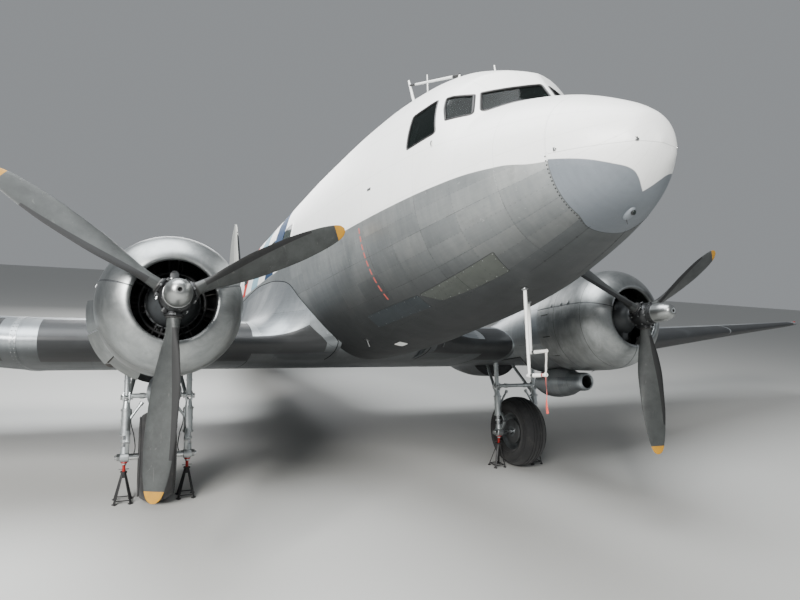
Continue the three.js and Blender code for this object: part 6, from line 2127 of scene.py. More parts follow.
def tail_gear():
    A, H, R, W = 16.86, -.52, .280, .200
    b = Build()
    top = hB(A - .12) + .05
    b.rod((0, A - .12, -.060), (0, A - .12, top), .048, seg=32, mi=0)
    b.rod((0, A - .12, -.058), (0, A - .12, -.030), .060, seg=32, mi=0)
    b.rod((0, A - .12, .06), (0, A - .12, .085), .056, seg=32, mi=0)
    b.piece("tail_gear_post", [SILVER, CHROME], replaces="tail_gear_leg", slot="gear_metal")
    # cover of leather round the opening
    b = Build()
    rows = []
    for k, t in enumerate(np.linspace(0, 1, 9)):
        rr = .052 + .10 * t**1.6 + (.006 if k % 2 else 0)
        z = .085 + (hB(A - .12) - .02 - .085) * t
        rows.append([(rr * math.cos(j / 40 * 2 * PI), A - .12 + rr * 1.3 * math.sin(j / 40 * 2 * PI), z) for j in range(40)])
    b.grid(rows).piece("tail_gear_gaiter", [SEATF])
    b = Build()
    b.rod((0, A - .12, -.150), (0, A - .12, -.068), .060, seg=36, mi=0)
    b.rod((0, A - .12, -.085), (0, A - .12, -.0705), .068, seg=36, mi=0)
    b.slab((0, A - .12, -.165), (.135, .050, .025), .012, mi=0)
    for q in (-1, 1):
        out = rounded([(A - .17, -.150), (A - .07, -.150), (A + .05, H + .01), (A + .02, H - .05), (A - .06, H - .02)], .02, 4)
        lo, hi = sorted((q * .112, q * .135))
        b.grid([[(lo, s, h) for s, h in out], [(hi, s, h) for s, h in out]], 0)
        b.rod((q * .132, A, H), (q * .152, A, H), .030, seg=6, mi=2)
        b.rod((q * .130, A - .12, -.30), (q * .140, A - .12, -.30), .016, seg=12, mi=2)
    b.rod((-.135, A, H), (.135, A, H), .020, seg=24, mi=1)
    b.rod((-.11, A - .095, -.24), (.11, A - .095, -.24), .012, seg=14, mi=0)
    b.piece("tail_fork_fine", [SILVER, CHROME, STEEL], body="tail_castor", replaces="tail_fork", slot="gear_metal", angle=40)
    b = Build()
    prof = [(.026, -.060), (.056, -.060), (.066, -.052), (.090, -.042), (.118, -.040), (.132, -.050), (.140, -.064), (.1495, -.068), (.1495, -.060), (.144, -.05), (.144, .05), (.1495, .060), (.1495, .068), (.140, .064), (.132, .050), (.118, .040), (.090, .042), (.066, .052), (.056, .060), (.026, .060)]
    b.lathe(prof, "x", (0, A, H), 56, 0, closed=True)
    for k in range(6):
        a = k / 6 * 2 * PI
        for sx in (-1, 1):
            p = Vector((sx * .042, A + .100 * math.cos(a), H + .100 * math.sin(a)))
            b.rod(p, p + Vector((sx * .009, 0, 0)), .008, seg=6, mi=1)
    b.piece("tail_wheel_rim", [SILVER_DK, STEEL], body="tail_wheel", replaces="tail_wheel", slot="dark_metal")
    t = Build()
    tyre_build(t, (0, A, H), R, W, .150, 88, 30)
    t.piece("tail_tyre_fine", [RUBBER], body="tail_wheel", replaces="tail_tyre", slot="rubber", angle=30)


def stands():
    """axle stands: a red screw in a black three-legged base, upright on the floor"""
    for side, sg in (("left", 1), ("right", -1)):
        for inner, q in (("inner", -1), ("outer", 1)):
            node = "axle_stand_%s_%s" % (side, inner)
            lo, hi = (Vector(c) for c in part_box(node))
            cx, cy = (lo.x + hi.x) / 2, (lo.y + hi.y) / 2
            z0, z1 = lo.z, hi.z
            neck = z1 - .150
            b = Build()
            # base: three legs of plate meeting at a collar, on a ring
            for k in range(4):
                a = PI / 4 + k * PI / 2
                o, w = Vector((math.cos(a), math.sin(a), 0)), Vector((-math.sin(a), math.cos(a), 0))
                foot = Vector((cx, cy, z0)) + o * .135
                head = Vector((cx, cy, neck)) + o * .022
                for t0, t1 in ((0, 1),):
                    m = (foot + head) / 2
                    d = head - foot
                    ax = d.normalized()
                    b.slab(m + Vector((0, 0, .004)), (.016, d.length / 2 - .003, .0055), .002, axes=[w, ax, w.cross(ax)], mi=0)
                b.slab(foot + Vector((0, 0, .006)) - o * .004, (.026, .020, .006), .002, axes=[w, o, Vector((0, 0, 1))], mi=0)
            for k in range(4):
                a0, a1 = PI / 4 + k * PI / 2, PI / 4 + (k + 1) * PI / 2
                p0 = Vector((cx, cy, z0 + .040)) + Vector((math.cos(a0), math.sin(a0), 0)) * .112
                p1 = Vector((cx, cy, z0 + .040)) + Vector((math.cos(a1), math.sin(a1), 0)) * .112
                b.rod(p0, p1, .0075, seg=10, mi=0)
            b.rod((cx, cy, neck - .055), (cx, cy, neck + .004), .034, .030, 28, 0)
            b.rod((cx, cy, neck + .004), (cx, cy, neck + .022), .043, seg=6, mi=0)
            # threaded screw
            rows = []
            turns, per = 9, 16
            z = neck + .022
            ring = []
            prof = []
            for k in range(turns):
                t = z + k * (z1 - .018 - z) / turns
                p = (z1 - .018 - z) / turns
                prof += [(.0155, t), (.0200, t + p * .35), (.0200, t + p * .6), (.0155, t + p * .95)]
            b.lathe([(0.0, z)] + prof + [(.0155, z1 - .018), (0.0, z1 - .018)], "z", (cx, cy, 0), 28, 1)
            b.rod((cx, cy, z1 - .018), (cx, cy, z1), .040, .041, 32, 1)
            b.rod((cx - .060, cy, neck + .050), (cx + .060, cy, neck + .050), .0065, seg=10, mi=2)
            b.piece("stand_" + side + "_" + inner, [BLACKP, RED, STEEL], replaces=node, slot="red_paint", level=False)


both(gear)
both(wheel)
tail_gear()
stands()


# ------------------------------------------------------------------ cockpit and cabin
CUSHION = fabric_material("leather_cushion", (92, 74, 54), (58, 47, 36))
DIAL = paint_material("paint_dial", (22, 22, 23), (34, 34, 34), 0.45, 30.0, 0.4)
PANELM = paint_material("paint_panel", (40, 43, 44), (60, 62, 62), 0.55, 10.0, 0.5)
LEADWHITE = paint_material("paint_marks", (226, 226, 218), (190, 190, 180), 0.5, 30.0, 0.3)
PAN = plain_metal("metal_pan", (132, 138, 134), 0.42, 0.75, 7.0, (88, 90, 84), 0.5)


def plank_material():
    M = Mat("floor_planks")
    x, s, h = M.lv()
    gap = M.lines(x, 0.145, 0.006)
    row = M.math("FLOOR", M.math("DIVIDE", x, 0.145))
    tone = M.white(M.vec(row, 1.0, 2.0))
    grain = M.noise(1.0, 6.0, 0.65, M.vec(M.mul(x, 60.0), M.mul(s, 3.0), M.mul(tone, 9.0)), 0.6)
    wear = M.ss(M.noise(2.2, 5.0, 0.7), 0.5, 0.72)
    c = M.ramp(M.add(M.mul(grain, 0.7), M.mul(tone, 0.3)), [(0.3, srgb(84, 76, 62)), (0.55, srgb(118, 108, 88)), (0.8, srgb(146, 136, 112))])
    c = M.mixc(M.mul(wear, 0.4), c, srgb(98, 98, 92))
    c = M.mixc(M.mul(gap, 0.85), c, srgb(30, 28, 26))
    M.set(color=c, metal=0.0, rough=M.add(0.62, M.mul(grain, 0.2)), normal=M.bump(M.sub(M.mul(grain, 0.3), gap), 0.0018, 1.0))
    return M


def bulkhead_material():
    M = Mat("paint_bulkhead")
    x, s, h = M.lv()
    height, groove, rivets = skin_bump(M, x, h, 0.42, 0.5, 0.42, 0.5)
    n1 = M.noise(3.5, 6.0, 0.7)
    c = M.mixc(M.mul(M.ss(n1, 0.45, 0.75), 0.5), srgb(104, 112, 86), srgb(76, 82, 64))
    c = M.mixc(M.mul(groove, 0.5), c, srgb(46, 50, 40))
    M.set(color=c, metal=0.0, rough=M.add(0.55, M.mul(n1, 0.15)), normal=M.bump(height, 0.0016, 1.0))
    return M


def dress(node, mat):
    """gives a CAD node's object another material"""
    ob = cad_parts[node]
    ob = ob["object"] if isinstance(ob, dict) else ob
    for sl in ob.material_slots:
        sl.material = mat.m
    if not ob.material_slots:
        ob.data.materials.append(mat.m)


def cushion(name, at, half, up, across, body="airframe", channels=(), flat_under=True):
    """crowned closed form with pulled-in sides, a piped edge and sewn channels"""
    b = Build()
    up, across = Vector(up).normalized(), Vector(across).normalized()
    along = up.cross(across).normalized()
    c = Vector(at)
    A, B, H = half
    n = 26

    def spot(u, v, w):
        a = A * u * math.sqrt(1 - 0.20 * v * v) * (1 - 0.045 * (1 - v * v))
        d = B * v * math.sqrt(1 - 0.20 * u * u) * (1 - 0.045 * (1 - u * u))
        return tuple(c + across * a + along * d + up * w)
    top, low = [], []
    for i in range(n + 1):
        u = -1 + 2 * i / n
        r1, r2 = [], []
        for k in range(n + 1):
            v = -1 + 2 * k / n
            e = max((1 - u**6) * (1 - v**6), 0.0)
            w = H * (0.62 * e**0.42 + 0.38 * (1 - u * u) * (1 - v * v))
            for q in channels:
                w -= H * 0.22 * math.exp(-((v - q) / 0.045) ** 2) * e
            w += H * 0.02 * math.sin(9 * u + 3 * v) * e
            r1.append(spot(u, v, w))
            r2.append(spot(u, v, -H * (0.55 if flat_under else 0.9) * e**0.3))
        top.append(r1)
        low.append(r2)
    b.grid(top, 0, wrap=False, caps=(False, False))
    b.grid([list(reversed(r)) for r in low], 0, wrap=False, caps=(False, False))
    ring = [top[0][k] for k in range(n)] + [top[i][n] for i in range(n)] + [top[n][n - k] for k in range(n)] + [top[n - i][0] for i in range(n)]
    pts = ring + [ring[0], ring[1]]
    rows = []
    for i in range(len(ring)):
        p = Vector(ring[i])
        d = (Vector(ring[(i + 1) % len(ring)]) - Vector(ring[i - 1])).normalized()
        w = up.cross(d).normalized()
        rows.append([tuple(p + (w * math.cos(t) + up * math.sin(t)) * 0.0045) for t in (0, 1.05, 2.09, 3.14, 4.19, 5.24)])
    m = len(rows)
    verts = [p for r in rows for p in r]
    faces = [(i * 6 + k, i * 6 + (k + 1) % 6, ((i + 1) % m) * 6 + (k + 1) % 6, ((i + 1) % m) * 6 + k) for i in range(m) for k in range(6)]
    b.add(verts, faces, 1)
    ob = b.piece(name, [CUSHION, SEATF], body=body, slot="seat", angle=70)
    return ob


def seat(node, cx):
    b = Build()
    # pan and back shell, bent sheet with rolled edges
    def sheet_rows(rows, th, nrm):
        out = []
        for r in rows:
            a = [tuple(Vector(p)) for p in r]
            z = [tuple(Vector(p) + Vector(nrm) * th) for p in reversed(r)]
            out.append(a + z)
        b.grid(out, 0)
    pan = []
    for s in np.linspace(2.185, 2.635, 10):
        lip = 0.028 if s < 2.2 else 0.0
        pan.append([(cx + 0.225 * u, s, -0.236 + 0.05 * abs(u) ** 6 + lip * 0.2) for u in np.linspace(-1, 1, 17)])
    sheet_rows(pan, 0.006, (0, 0, 1))
    back = []
    for t in np.linspace(0, 1, 14):
        h = -0.225 + 0.72 * t
        w = 0.222 if t < 0.75 else 0.222 - 0.09 * ((t - 0.75) / 0.25) ** 2
        back.append([(cx + w * u, 2.684 - 0.055 * abs(u) ** 5, h) for u in np.linspace(-1, 1, 17)])
    sheet_rows(back, 0.006, (0, 1, 0))
    # tubular frame
    for sg in (-1, 1):
        x = cx + sg * 0.226
        b.tube([(x, 2.66, 0.02), (x, 2.60, 0.02), (x, 2.36, 0.018), (x, 2.275, 0.008), (x, 2.262, -0.03), (x, 2.262, -0.12), (x, 2.262, -0.232)], 0.009, 10, 1)
        b.slab((x, 2.44, 0.026), (0.022, 0.13, 0.009), 0.006, mi=2)
        for s in (2.33, 2.54):
            b.tube([(cx + sg * 0.17, s, -0.232), (cx + sg * 0.13, s + 0.01, -0.40), (cx + sg * 0.12, s + 0.01, -0.545)], 0.013, 10, 1)
            b.slab((cx + sg * 0.12, s + 0.01, -0.552), (0.03, 0.03, 0.007), 0.003, mi=1)
        b.tube([(cx + sg * 0.12, 2.34, -0.52), (cx + sg * 0.12, 2.55, -0.52)], 0.010, 8, 1)
    b.tube([(cx - 0.14, 2.44, -0.40), (cx + 0.14, 2.44, -0.40)], 0.010, 8, 1)
    b.rod((cx + 0.19, 2.30, -0.25), (cx + 0.19, 2.20, -0.25), 0.006, mi=1)
    b.piece(node + "_frame", [GREENP, STEEL, SEATF], replaces=node, slot="seat")
    cushion(node + "_cushion", (cx, 2.41, -0.196), (0.205, 0.215, 0.052), (0, 0, 1), (1, 0, 0), channels=(-0.5, 0.0, 0.5))
    cushion(node + "_back_pad", (cx, 2.655, 0.13), (0.195, 0.27, 0.048), (0, -1, 0), (1, 0, 0), channels=(-0.45, 0.05, 0.5))
    # lap belt lying over the cushion
    bb = Build()
    rows = []
    for i in range(25):
        u = -1 + 2 * i / 24
        x = cx + 0.212 * u
        h = -0.196 + 0.056 * (1 - u**6) ** 0.5 * (0.62 + 0.38 * (1 - u * u)) + 0.004
        rows.append([(x, 2.475, h), (x, 2.52, h), (x, 2.52, h + 0.003), (x, 2.475, h + 0.003)])
    bb.grid(rows, 0)
    bb.slab((cx + 0.02, 2.497, -0.196 + 0.066), (0.022, 0.028, 0.006), 0.003, mi=1)
    bb.piece(node + "_belt", [fabric_material(node + "_webbing", (74, 78, 60), (50, 52, 42)), STEEL])


def panel():
    b = Build()
    outline = rounded([(-0.695, 0.02), (-0.20, 0.005), (0.20, 0.005), (0.695, 0.02), (0.66, 0.40), (0.45, 0.545), (0.0, 0.558), (-0.45, 0.545), (-0.66, 0.40)], 0.05, 4)
    b.plate([(x, 1.468, h) for x, h in outline], (0, 1, 0), 0.020, 0)
    inner = grown(outline, -0.02)
    b.plate([(x, 1.482, h) for x, h in inner], (0, 1, 0), 0.012, 1)
    # glare shield
    rows = []
    for t in np.linspace(-1, 1, 21):
        x = 0.56 * t
        h = 0.552 - 0.05 * abs(t) ** 3
        rows.append([(x, 1.445, h - 0.012), (x, 1.50, h - 0.010), (x, 1.50, h + 0.004), (x, 1.445, h + 0.003)])
    b.grid(rows, 2)
    # dials
    spots = []
    for cx in (-0.44, 0.44):
        for k in range(4):
            for j in range(2):
                spots.append((cx - 0.165 + 0.11 * k, 0.40 - 0.13 * j, 0.045))
    for k in range(3):
        for j in range(3):
            spots.append((-0.10 + 0.10 * k, 0.46 - 0.115 * j, 0.038))
    for k in range(8):
        spots.append((-0.56 + 0.16 * k, 0.11, 0.028))
    for i, (x, h, r) in enumerate(spots):
        b.lathe([(r, 0.0), (r, 0.006), (r * 0.93, 0.009), (r * 0.84, 0.006), (r * 0.84, 0.001)], "y", (x, 1.4875, h), 26, 3, closed=True)
        b.lathe([(r * 0.86, 0.0), (r * 0.86, 0.002), (0.0, 0.002)], "y", (x, 1.4865, h), 22, 4)
        for k in range(10):
            a = k / 10 * 2 * PI
            u = Vector((math.cos(a), 0, math.sin(a)))
            b.rod(tuple(Vector((x, 1.4893, h)) + u * r * 0.62), tuple(Vector((x, 1.4893, h)) + u * r * 0.78), 0.0011, seg=5, mi=5)
        a = 0.7 + i * 1.37
        u = Vector((math.cos(a), 0, math.sin(a)))
        b.rod(tuple(Vector((x, 1.490, h)) - u * r * 0.15), tuple(Vector((x, 1.490, h)) + u * r * 0.66), 0.0016, 0.0007, 6, 5)
        b.lathe([(0.004, 0), (0.003, 0.003), (0.0, 0.0035)], "y", (x, 1.489, h), 10, 3)
    for k in range(14):
        x = -0.58 + 0.089 * k
        b.rod((x, 1.487, 0.047), (x, 1.500, 0.043), 0.004, 0.003, 8, 5 if k % 3 else 3)
    # pedestal with levers
    b.slab((0, 1.735, -0.285), (0.165, 0.235, 0.27), 0.02, mi=1)
    for x, c in ((-0.115, 6), (-0.085, 6), (-0.025, 3), (0.005, 3), (0.075, 7), (0.105, 7)):
        b.tube([(x, 1.76, -0.03), (x, 1.74, 0.005), (x, 1.715, 0.028)], 0.0045, 8, 3)
        b.lathe([(0.0, -0.010), (0.010, -0.008), (0.0125, 0.0), (0.010, 0.008), (0.0, 0.010)], "x", (x, 1.713, 0.026), 14, c)
        b.slab((x, 1.745, -0.014), (0.003, 0.08, 0.003), 0.001, mi=4)
    for sg in (-1, 1):
        b.lathe([(0.075, -0.008), (0.082, -0.006), (0.082, 0.006), (0.075, 0.008), (0.060, 0.006), (0.060, -0.006)], "x", (sg * 0.158, 1.86, -0.28), 32, 3, closed=True)
    b.piece("instrument_board", [GREENP, PANELM, BLACKP, STEEL, DIAL, LEADWHITE, WHITEP, RED], replaces="instrument_panel")
    # control columns and wheels, pedals
    c = Build()
    for cx in (-0.47, 0.47):
        c.tube([(cx, 1.86, -0.553), (cx, 1.86, -0.45), (cx, 1.85, -0.10), (cx, 1.83, 0.02), (cx, 1.80, 0.055)], 0.020, 12, 0)
        c.lathe([(0.034, -0.02), (0.040, 0.0), (0.034, 0.02), (0.0, 0.024)], "y", (cx, 1.83, 0.06), 20, 1)
        arc = [(cx + 0.155 * math.cos(a), 1.845, 0.06 + 0.155 * math.sin(a)) for a in np.linspace(math.radians(-218), math.radians(38), 34)]
        c.tube(arc, 0.0125, 10, 1)
        for a in (-150, -30):
            r = math.radians(a)
            c.tube([(cx, 1.84, 0.06), (cx + 0.15 * math.cos(r), 1.845, 0.06 + 0.15 * math.sin(r))], 0.009, 8, 0)
        for dx in (-0.10, 0.10):
            c.slab((cx + dx, 1.625, -0.40), (0.045, 0.008, 0.055), 0.004, [(1, 0, 0), (0, 0.94, 0.34), (0, -0.34, 0.94)], mi=0)
            c.tube([(cx + dx, 1.635, -0.44), (cx + dx, 1.66, -0.553)], 0.009, 8, 0)
            for k in range(4):
                c.slab((cx + dx, 1.634 + 0.010 * (k - 1.5), -0.40 + 0.026 * (k - 1.5)), (0.038, 0.006, 0.003), 0.001, mi=1)
    c.piece("control_columns", [STEEL, BLACKP])


def bench(node, sx):
    b = Build()
    n = 91
    s0, s1 = 5.205, 10.595
    rows = []
    for i in range(n):
        s = s0 + (s1 - s0) * i / (n - 1)
        k = (s - s0) / (s1 - s0) * 10
        w = abs(math.sin(k * PI))
        row = []
        for j in range(9):
            u = j / 8
            x = 0.605 + 0.325 * u
            dip = 0.026 * w**0.5 * math.sin(PI * min(max(u, 0.02), 0.98)) ** 0.6
            row.append((sx * x, s, -0.142 - dip + (0.004 if j in (0, 8) else 0)))
        low = [(p[0], p[1], p[2] - 0.003) for p in reversed(row)]
        rows.append(row + low)
    b.grid(rows, 0)
    b.tube([(sx * 0.606, s, -0.154) for s in (s0, 7, 9, s1)], 0.012, 10, 1)
    b.tube([(sx * 0.928, s, -0.156) for s in (s0, 7, 9, s1)], 0.010, 10, 1)
    for h in (0.0, 0.11, 0.222):
        b.tube([(sx * 0.944, s, h) for s in (s0, 7, 9, s1)], 0.009, 10, 1)
    for k in range(11):
        s = s0 + 0.012 + (s1 - s0 - 0.024) * k / 10
        b.tube([(sx * 0.930, s, -0.155), (sx * 0.944, s, -0.02), (sx * 0.944, s, 0.228)], 0.009, 10, 1)
        b.slab((sx * 0.765, s, -0.145), (0.155, 0.008, 0.006), 0.003, mi=1)
    # back bands woven between the rails
    for k in range(10):
        sc = s0 + (s1 - s0) * (k + 0.5) / 10
        for d in (-0.16, -0.055, 0.055, 0.16):
            pts = [(sx * (0.944 + 0.012 * (1 if q % 2 else -1)), sc + d, h) for q, h in enumerate((-0.005, 0.055, 0.11, 0.165, 0.226))]
            b.tube(pts, 0.0045, 6, 2)
    for s in (5.42, 6.72, 8.02, 9.32, 10.42):
        b.tube([(sx * 0.636, s, -0.158), (sx * 0.636, s, -0.545)], 0.012, 10, 1)
        b.tube([(sx * 0.636, s, -0.50), (sx * 0.80, s, -0.30), (sx * 0.925, s, -0.168)], 0.008, 8, 1)
        b.slab((sx * 0.636, s, -0.552), (0.028, 0.028, 0.007), 0.003, mi=1)
    b.piece(node + "_frame", [PAN, GREENP, fabric_material(node + "_bands", (96, 92, 70), (66, 62, 48))], replaces=node, slot="seat")


def cabin_ribs():
    b = Build()
    for s in np.arange(4.35, 13.3, 0.51):
        if DOOR_S0 - 0.05 < s < DOOR_S1 + 0.05:
            angles = np.linspace(math.radians(75), math.radians(322 - 105), 40)
        else:
            angles = np.linspace(math.radians(-26), math.radians(206), 56)
        rows = []
        for a in angles:
            q0, q1 = hull_point(s, a, 0.0815), hull_point(s, a, 0.110)
            rows.append([(q0[0], s - 0.014, q0[2]), (q1[0], s - 0.010, q1[2]), (q1[0], s + 0.010, q1[2]), (q0[0], s + 0.014, q0[2])])
        b.grid(rows, 0)
    for a in (50, 70, 90, 110, 130):
        r = math.radians(a)
        pts = [hull_point(s, r, 0.0955) for s in np.linspace(4.0, 13.3, 40)]
        b.tube(pts, 0.011, 6, 0)
    # roof lamps
    for s in (5.6, 7.6, 9.6, 11.6):
        z = hull_point(s, PI / 2, 0.112)[2]
        b.lathe([(0.075, 0.0), (0.078, -0.012), (0.060, -0.034), (0.0, -0.042)], "z", (0, s, z), 24, 1)
    b.piece("cabin_ribs", [GREENP, LEADWHITE])
    # rails on the floor for the load
    f = Build()
    for x in (-0.42, -0.14, 0.14, 0.42):
        f.slab((x, 8.6, -0.5565), (0.018, 4.5, 0.0025), 0.001, mi=0)
        for s in np.arange(4.4, 13.0, 0.5):
            f.lathe([(0.012, 0.0), (0.012, 0.003), (0.006, 0.003), (0.006, 0.0)], "z", (x, s, -0.5545), 12, 1, closed=True)
    f.piece("floor_rails", [STEEL, DARK])
    # stiffeners on the bulkheads
    k = Build()
    for x in (-0.62, -0.44, 0.44, 0.62):
        k.slab((x, 3.940, 0.20), (0.012, 0.0085, 0.55), 0.003, mi=0)
    for h in (-0.25, 0.15, 0.55):
        k.slab((0, 13.340, h), (0.52, 0.0085, 0.012), 0.003, mi=0)
    frame_o = [(-0.335, -0.545), (0.335, -0.545), (0.335, 1.215), (-0.335, 1.215)]
    for x0, h0, x1, h1 in ((-0.335, -0.54, -0.335, 1.20), (0.335, -0.54, 0.335, 1.20), (-0.335, 1.215, 0.335, 1.215)):
        k.tube([(x0, 3.941, h0), (x1, 3.941, h1)], 0.011, 8, 0)
    k.piece("bulkhead_stiffeners", [GREENP])


dress("load_floor", plank_material())
BULK = bulkhead_material()
dress("cockpit_bulkhead", BULK)
dress("rear_bulkhead", BULK)
seat("pilot_seat", 0.47)
seat("copilot_seat", -0.47)
panel()
bench("bench_left", 1)
bench("bench_right", -1)
cabin_ribs()


# ------------------------------------------------------------------ fittings on the skin
HATCH_M = metal_material("skin_hatch", (0.9, 0.9), (0.3, 0.3), base=(124, 129, 124), dark=(106, 111, 107), light=(140, 144, 138), rough=0.5)
PANEL2_M = metal_material("skin_panel_rear", (0.9, 0.9), (0.3, 0.3), base=(96, 104, 109), dark=(80, 87, 92), light=(112, 119, 122), rough=0.42)
LENS = glass_material()
LENS.m.name = "glass_lens"
LENS.set(color=srgb(214, 220, 218), trans=0.6)
AERIALM = paint_material("paint_aerial", (238, 239, 236), (198, 198, 190), 0.4, 12.0, 0.4)


def hull_angle(s, x, h):
    return surface_angle(s, x, h)


def hull_frame(s, a):
    """point, outward normal, direction aft and direction round"""
    p = Vector(hull_point(s, a))
    ds = (Vector(hull_point(s + 0.003, a)) - Vector(hull_point(max(s - 0.003, 0.001), a))).normalized()
    da = (Vector(hull_point(s, a + 0.004)) - Vector(hull_point(s, a - 0.004))).normalized()
    n = ds.cross(da).normalized()
    c = Vector((0, s, hM(s)))
    if n.dot(p - c) < 0:
        n = -n
    return p, n, ds, da


def at_hull(off):
    def f(q):
        p, n, _, _ = hull_frame(q[0], q[1])
        return tuple(p + n * off)
    return f


def screw(b, s, a, r=0.007, tall=0.002, mi=0):
    p, n, _, _ = hull_frame(s, a)
    b.rod(tuple(p - n * 0.003), tuple(p + n * tall), r, r * 0.8, 10, mi)


def skin_line(b, pts, r=0.0016, mi=0):
    """thin sealed joint lying on the skin through (s, angle) points"""
    path = []
    for (s0, a0), (s1, a1) in zip(pts, pts[1:]):
        k = max(2, int(math.hypot(s1 - s0, (a1 - a0) * 1.0) / 0.05))
        for i in range(k):
            t = i / k
            path.append(at_hull(r * 0.2)((s0 + (s1 - s0) * t, a0 + (a1 - a0) * t)))
    path.append(at_hull(r * 0.2)(pts[-1]))
    b.tube(path, r, 6, mi)


NOSE_GREY = paint_material("paint_nose_grey", (112, 118, 124), (84, 88, 93), 0.5, 8.0, 0.5)


def nose_fittings():
    b = Build()
    # screws round the nose cap's joint
    for sg in (-1, 1):
        for a in np.linspace(math.radians(180 + 8), math.radians(180 + 74), 23):
            aa = a if sg < 0 else PI - a
            t = min(max((-hull_point(0.52, aa)[2] - 0.43) / 0.10, 0.0), 1.0)
            screw(b, 0.5235 + 0.045 * t * t * (3 - 2 * t), aa, 0.0070, 0.0020, 0)
    # dark screws and the joint under the nose
    for x, s, h in ((-0.19, .666, -.556), (-.207, .831, -.617), (-.229, 1.003, -.672)):
        for sg in (-1, 1):
            screw(b, s, hull_angle(s, sg * abs(x), h), 0.0105, 0.003, 0)
    for sg in (-1, 1):
        q = [(s, hull_angle(s, sg * x, h)) for x, s, h in ((.175, .54, -.508), (.19, .666, -.556), (.207, .831, -.617), (.229, 1.003, -.672), (.25, 1.18, -.74))]
        skin_line(b, q, 0.0016, 0)
    # latches on the nose cap
    for x, s, h in ((-.134, .05, -.03), (-.526, .459, -.004)):
        for sg in (-1, 1):
            a = hull_angle(s, sg * abs(x), h)
            p, n, ds, da = hull_frame(s, a)
            b.slab(tuple(p + n * 0.0015), (0.014, 0.010, 0.0035), 0.0015, [da, ds, n], mi=1)
            b.rod(tuple(p + n * 0.003 - ds * 0.012), tuple(p + n * 0.008 - ds * 0.012), 0.004, mi=0)
    b.piece("nose_fasteners", [DARK, STEEL])
    # lamp under the nose
    lb = Build()
    a = hull_angle(.363, .032, -.436)
    p, n, ds, da = hull_frame(.363, a)
    rows = []
    for i in range(9):
        t = i / 8
        r = math.cos(t * PI / 2) ** 0.7 if i < 8 else 0.001
        o = p + n * (0.027 * math.sin(t * PI / 2) - 0.004)
        rows.append([tuple(o + ds * (0.062 * r * math.cos(k / 28 * 2 * PI) + 0.016 * (1 - r)) + da * 0.040 * r * math.sin(k / 28 * 2 * PI)) for k in range(28)])
    lb.grid(rows, 0)
    lo = p + n * 0.016 - ds * 0.026
    ax = (n * 0.7 - ds * 0.7).normalized()
    lb.rod(tuple(lo), tuple(lo + ax * 0.016), 0.020, 0.0185, 22, 1)
    lb.rod(tuple(lo + ax * 0.0155), tuple(lo + ax * 0.0195), 0.0155, 0.0125, 20, 2)
    lb.rod(tuple(p + n * 0.01 + ds * 0.045), tuple(p + n * 0.050 + ds * 0.060), 0.0035, 0.002, 8, 1)
    lb.piece("nose_lamp", [NOSE_GREY, DARK, LENS], slot="bare_metal")


def belly_fittings():
    b = Build()
    for sg in (-1, 1):
        corners = [(.549, 1.237, -.577), (.376, 1.273, -.706), (.521, 2.133, -.837), (.669, 2.341, -.761)]
        o = [(s, hull_angle(s, sg * x, h)) for x, s, h in corners]
        o = rounded(o, 0.012, 3)
        o = resample(o, 0.06)
        patch(b, o, at_hull, 0.0018, -0.003, 0, 3)
        rim(b, grown(o, 0.004), at_hull, 0.003, 0.003, -0.002, 0.0010, 1)
        for k in range(0, len(o), 2):
            q = grown(o, -0.014)[k]
            p, n, _, _ = hull_frame(q[0], q[1])
            b.rod(tuple(p), tuple(p + n * 0.0035), 0.004, 0.003, 8, 2)
        # the long panel behind it
        o = [(s, hull_angle(s, sg * x, h)) for x, s, h in ((.525, 2.365, -.872), (.672, 2.372, -.760), (.765, 3.457, -.843), (.614, 3.470, -.967))]
        o = resample(rounded(o, 0.012, 3), 0.06)
        patch(b, o, at_hull, 0.0012, -0.003, 3, 3)
        rim(b, grown(o, 0.003), at_hull, 0.0022, 0.0025, -0.002, 0.0008, 1)
        for k in range(0, len(o), 3):
            q = grown(o, -0.014)[k]
            p, n, _, _ = hull_frame(q[0], q[1])
            b.rod(tuple(p), tuple(p + n * 0.003), 0.0035, 0.0028, 8, 2)
    b.piece("belly_hatches", [HATCH_M, DARK, STEEL, PANEL2_M], slot="bare_metal")
    # light panel and drain tubes
    c = Build()
    a0 = hull_angle(3.685, -.251, -1.139)
    patch(c, resample(rounded([(3.60, a0 - 0.045), (3.77, a0 - 0.045), (3.77, a0 + 0.045), (3.60, a0 + 0.045)], 0.02, 3), 0.05), at_hull, 0.002, -0.003, 0, 2)
    for x, s, h in ((-.546, 4.036, -1.067), (.546, 4.036, -1.067)):
        e = Vector((-0.42 if x > 0 else 0.42, 0, -1)).normalized()
        p, n, ds, da = hull_frame(s, hull_angle(s, x, h))
        c.tube([tuple(p - n * 0.004), tuple(p + e * 0.045), tuple(p + e * 0.085)], 0.009, 10, 1)
        c.slab(tuple(p + n * 0.002), (0.028, 0.028, 0.003), 0.001, [da, ds, n], mi=1)
    # flush grip below the pilots' side panes, and static plates
    for sg in (-1, 1):
        p, n, ds, da = hull_frame(1.589, hull_angle(1.589, sg * .883, .437))
        c.slab(tuple(p + n * 0.001), (0.030, 0.014, 0.003), 0.0015, [da, ds, n], mi=2)
        c.tube([tuple(p + n * 0.003 + da * 0.022), tuple(p + n * 0.016 + da * 0.012), tuple(p + n * 0.016 - da * 0.012), tuple(p + n * 0.003 - da * 0.022)], 0.004, 8, 1)
        p, n, ds, da = hull_frame(2.60, hull_angle(2.60, sg * 1.05, .33))
        c.slab(tuple(p + n * 0.001), (0.012, 0.035, 0.0022), 0.001, [da, ds, n], mi=1)
    c.piece("skin_fittings", [WHITEP, STEEL, WHITEP])


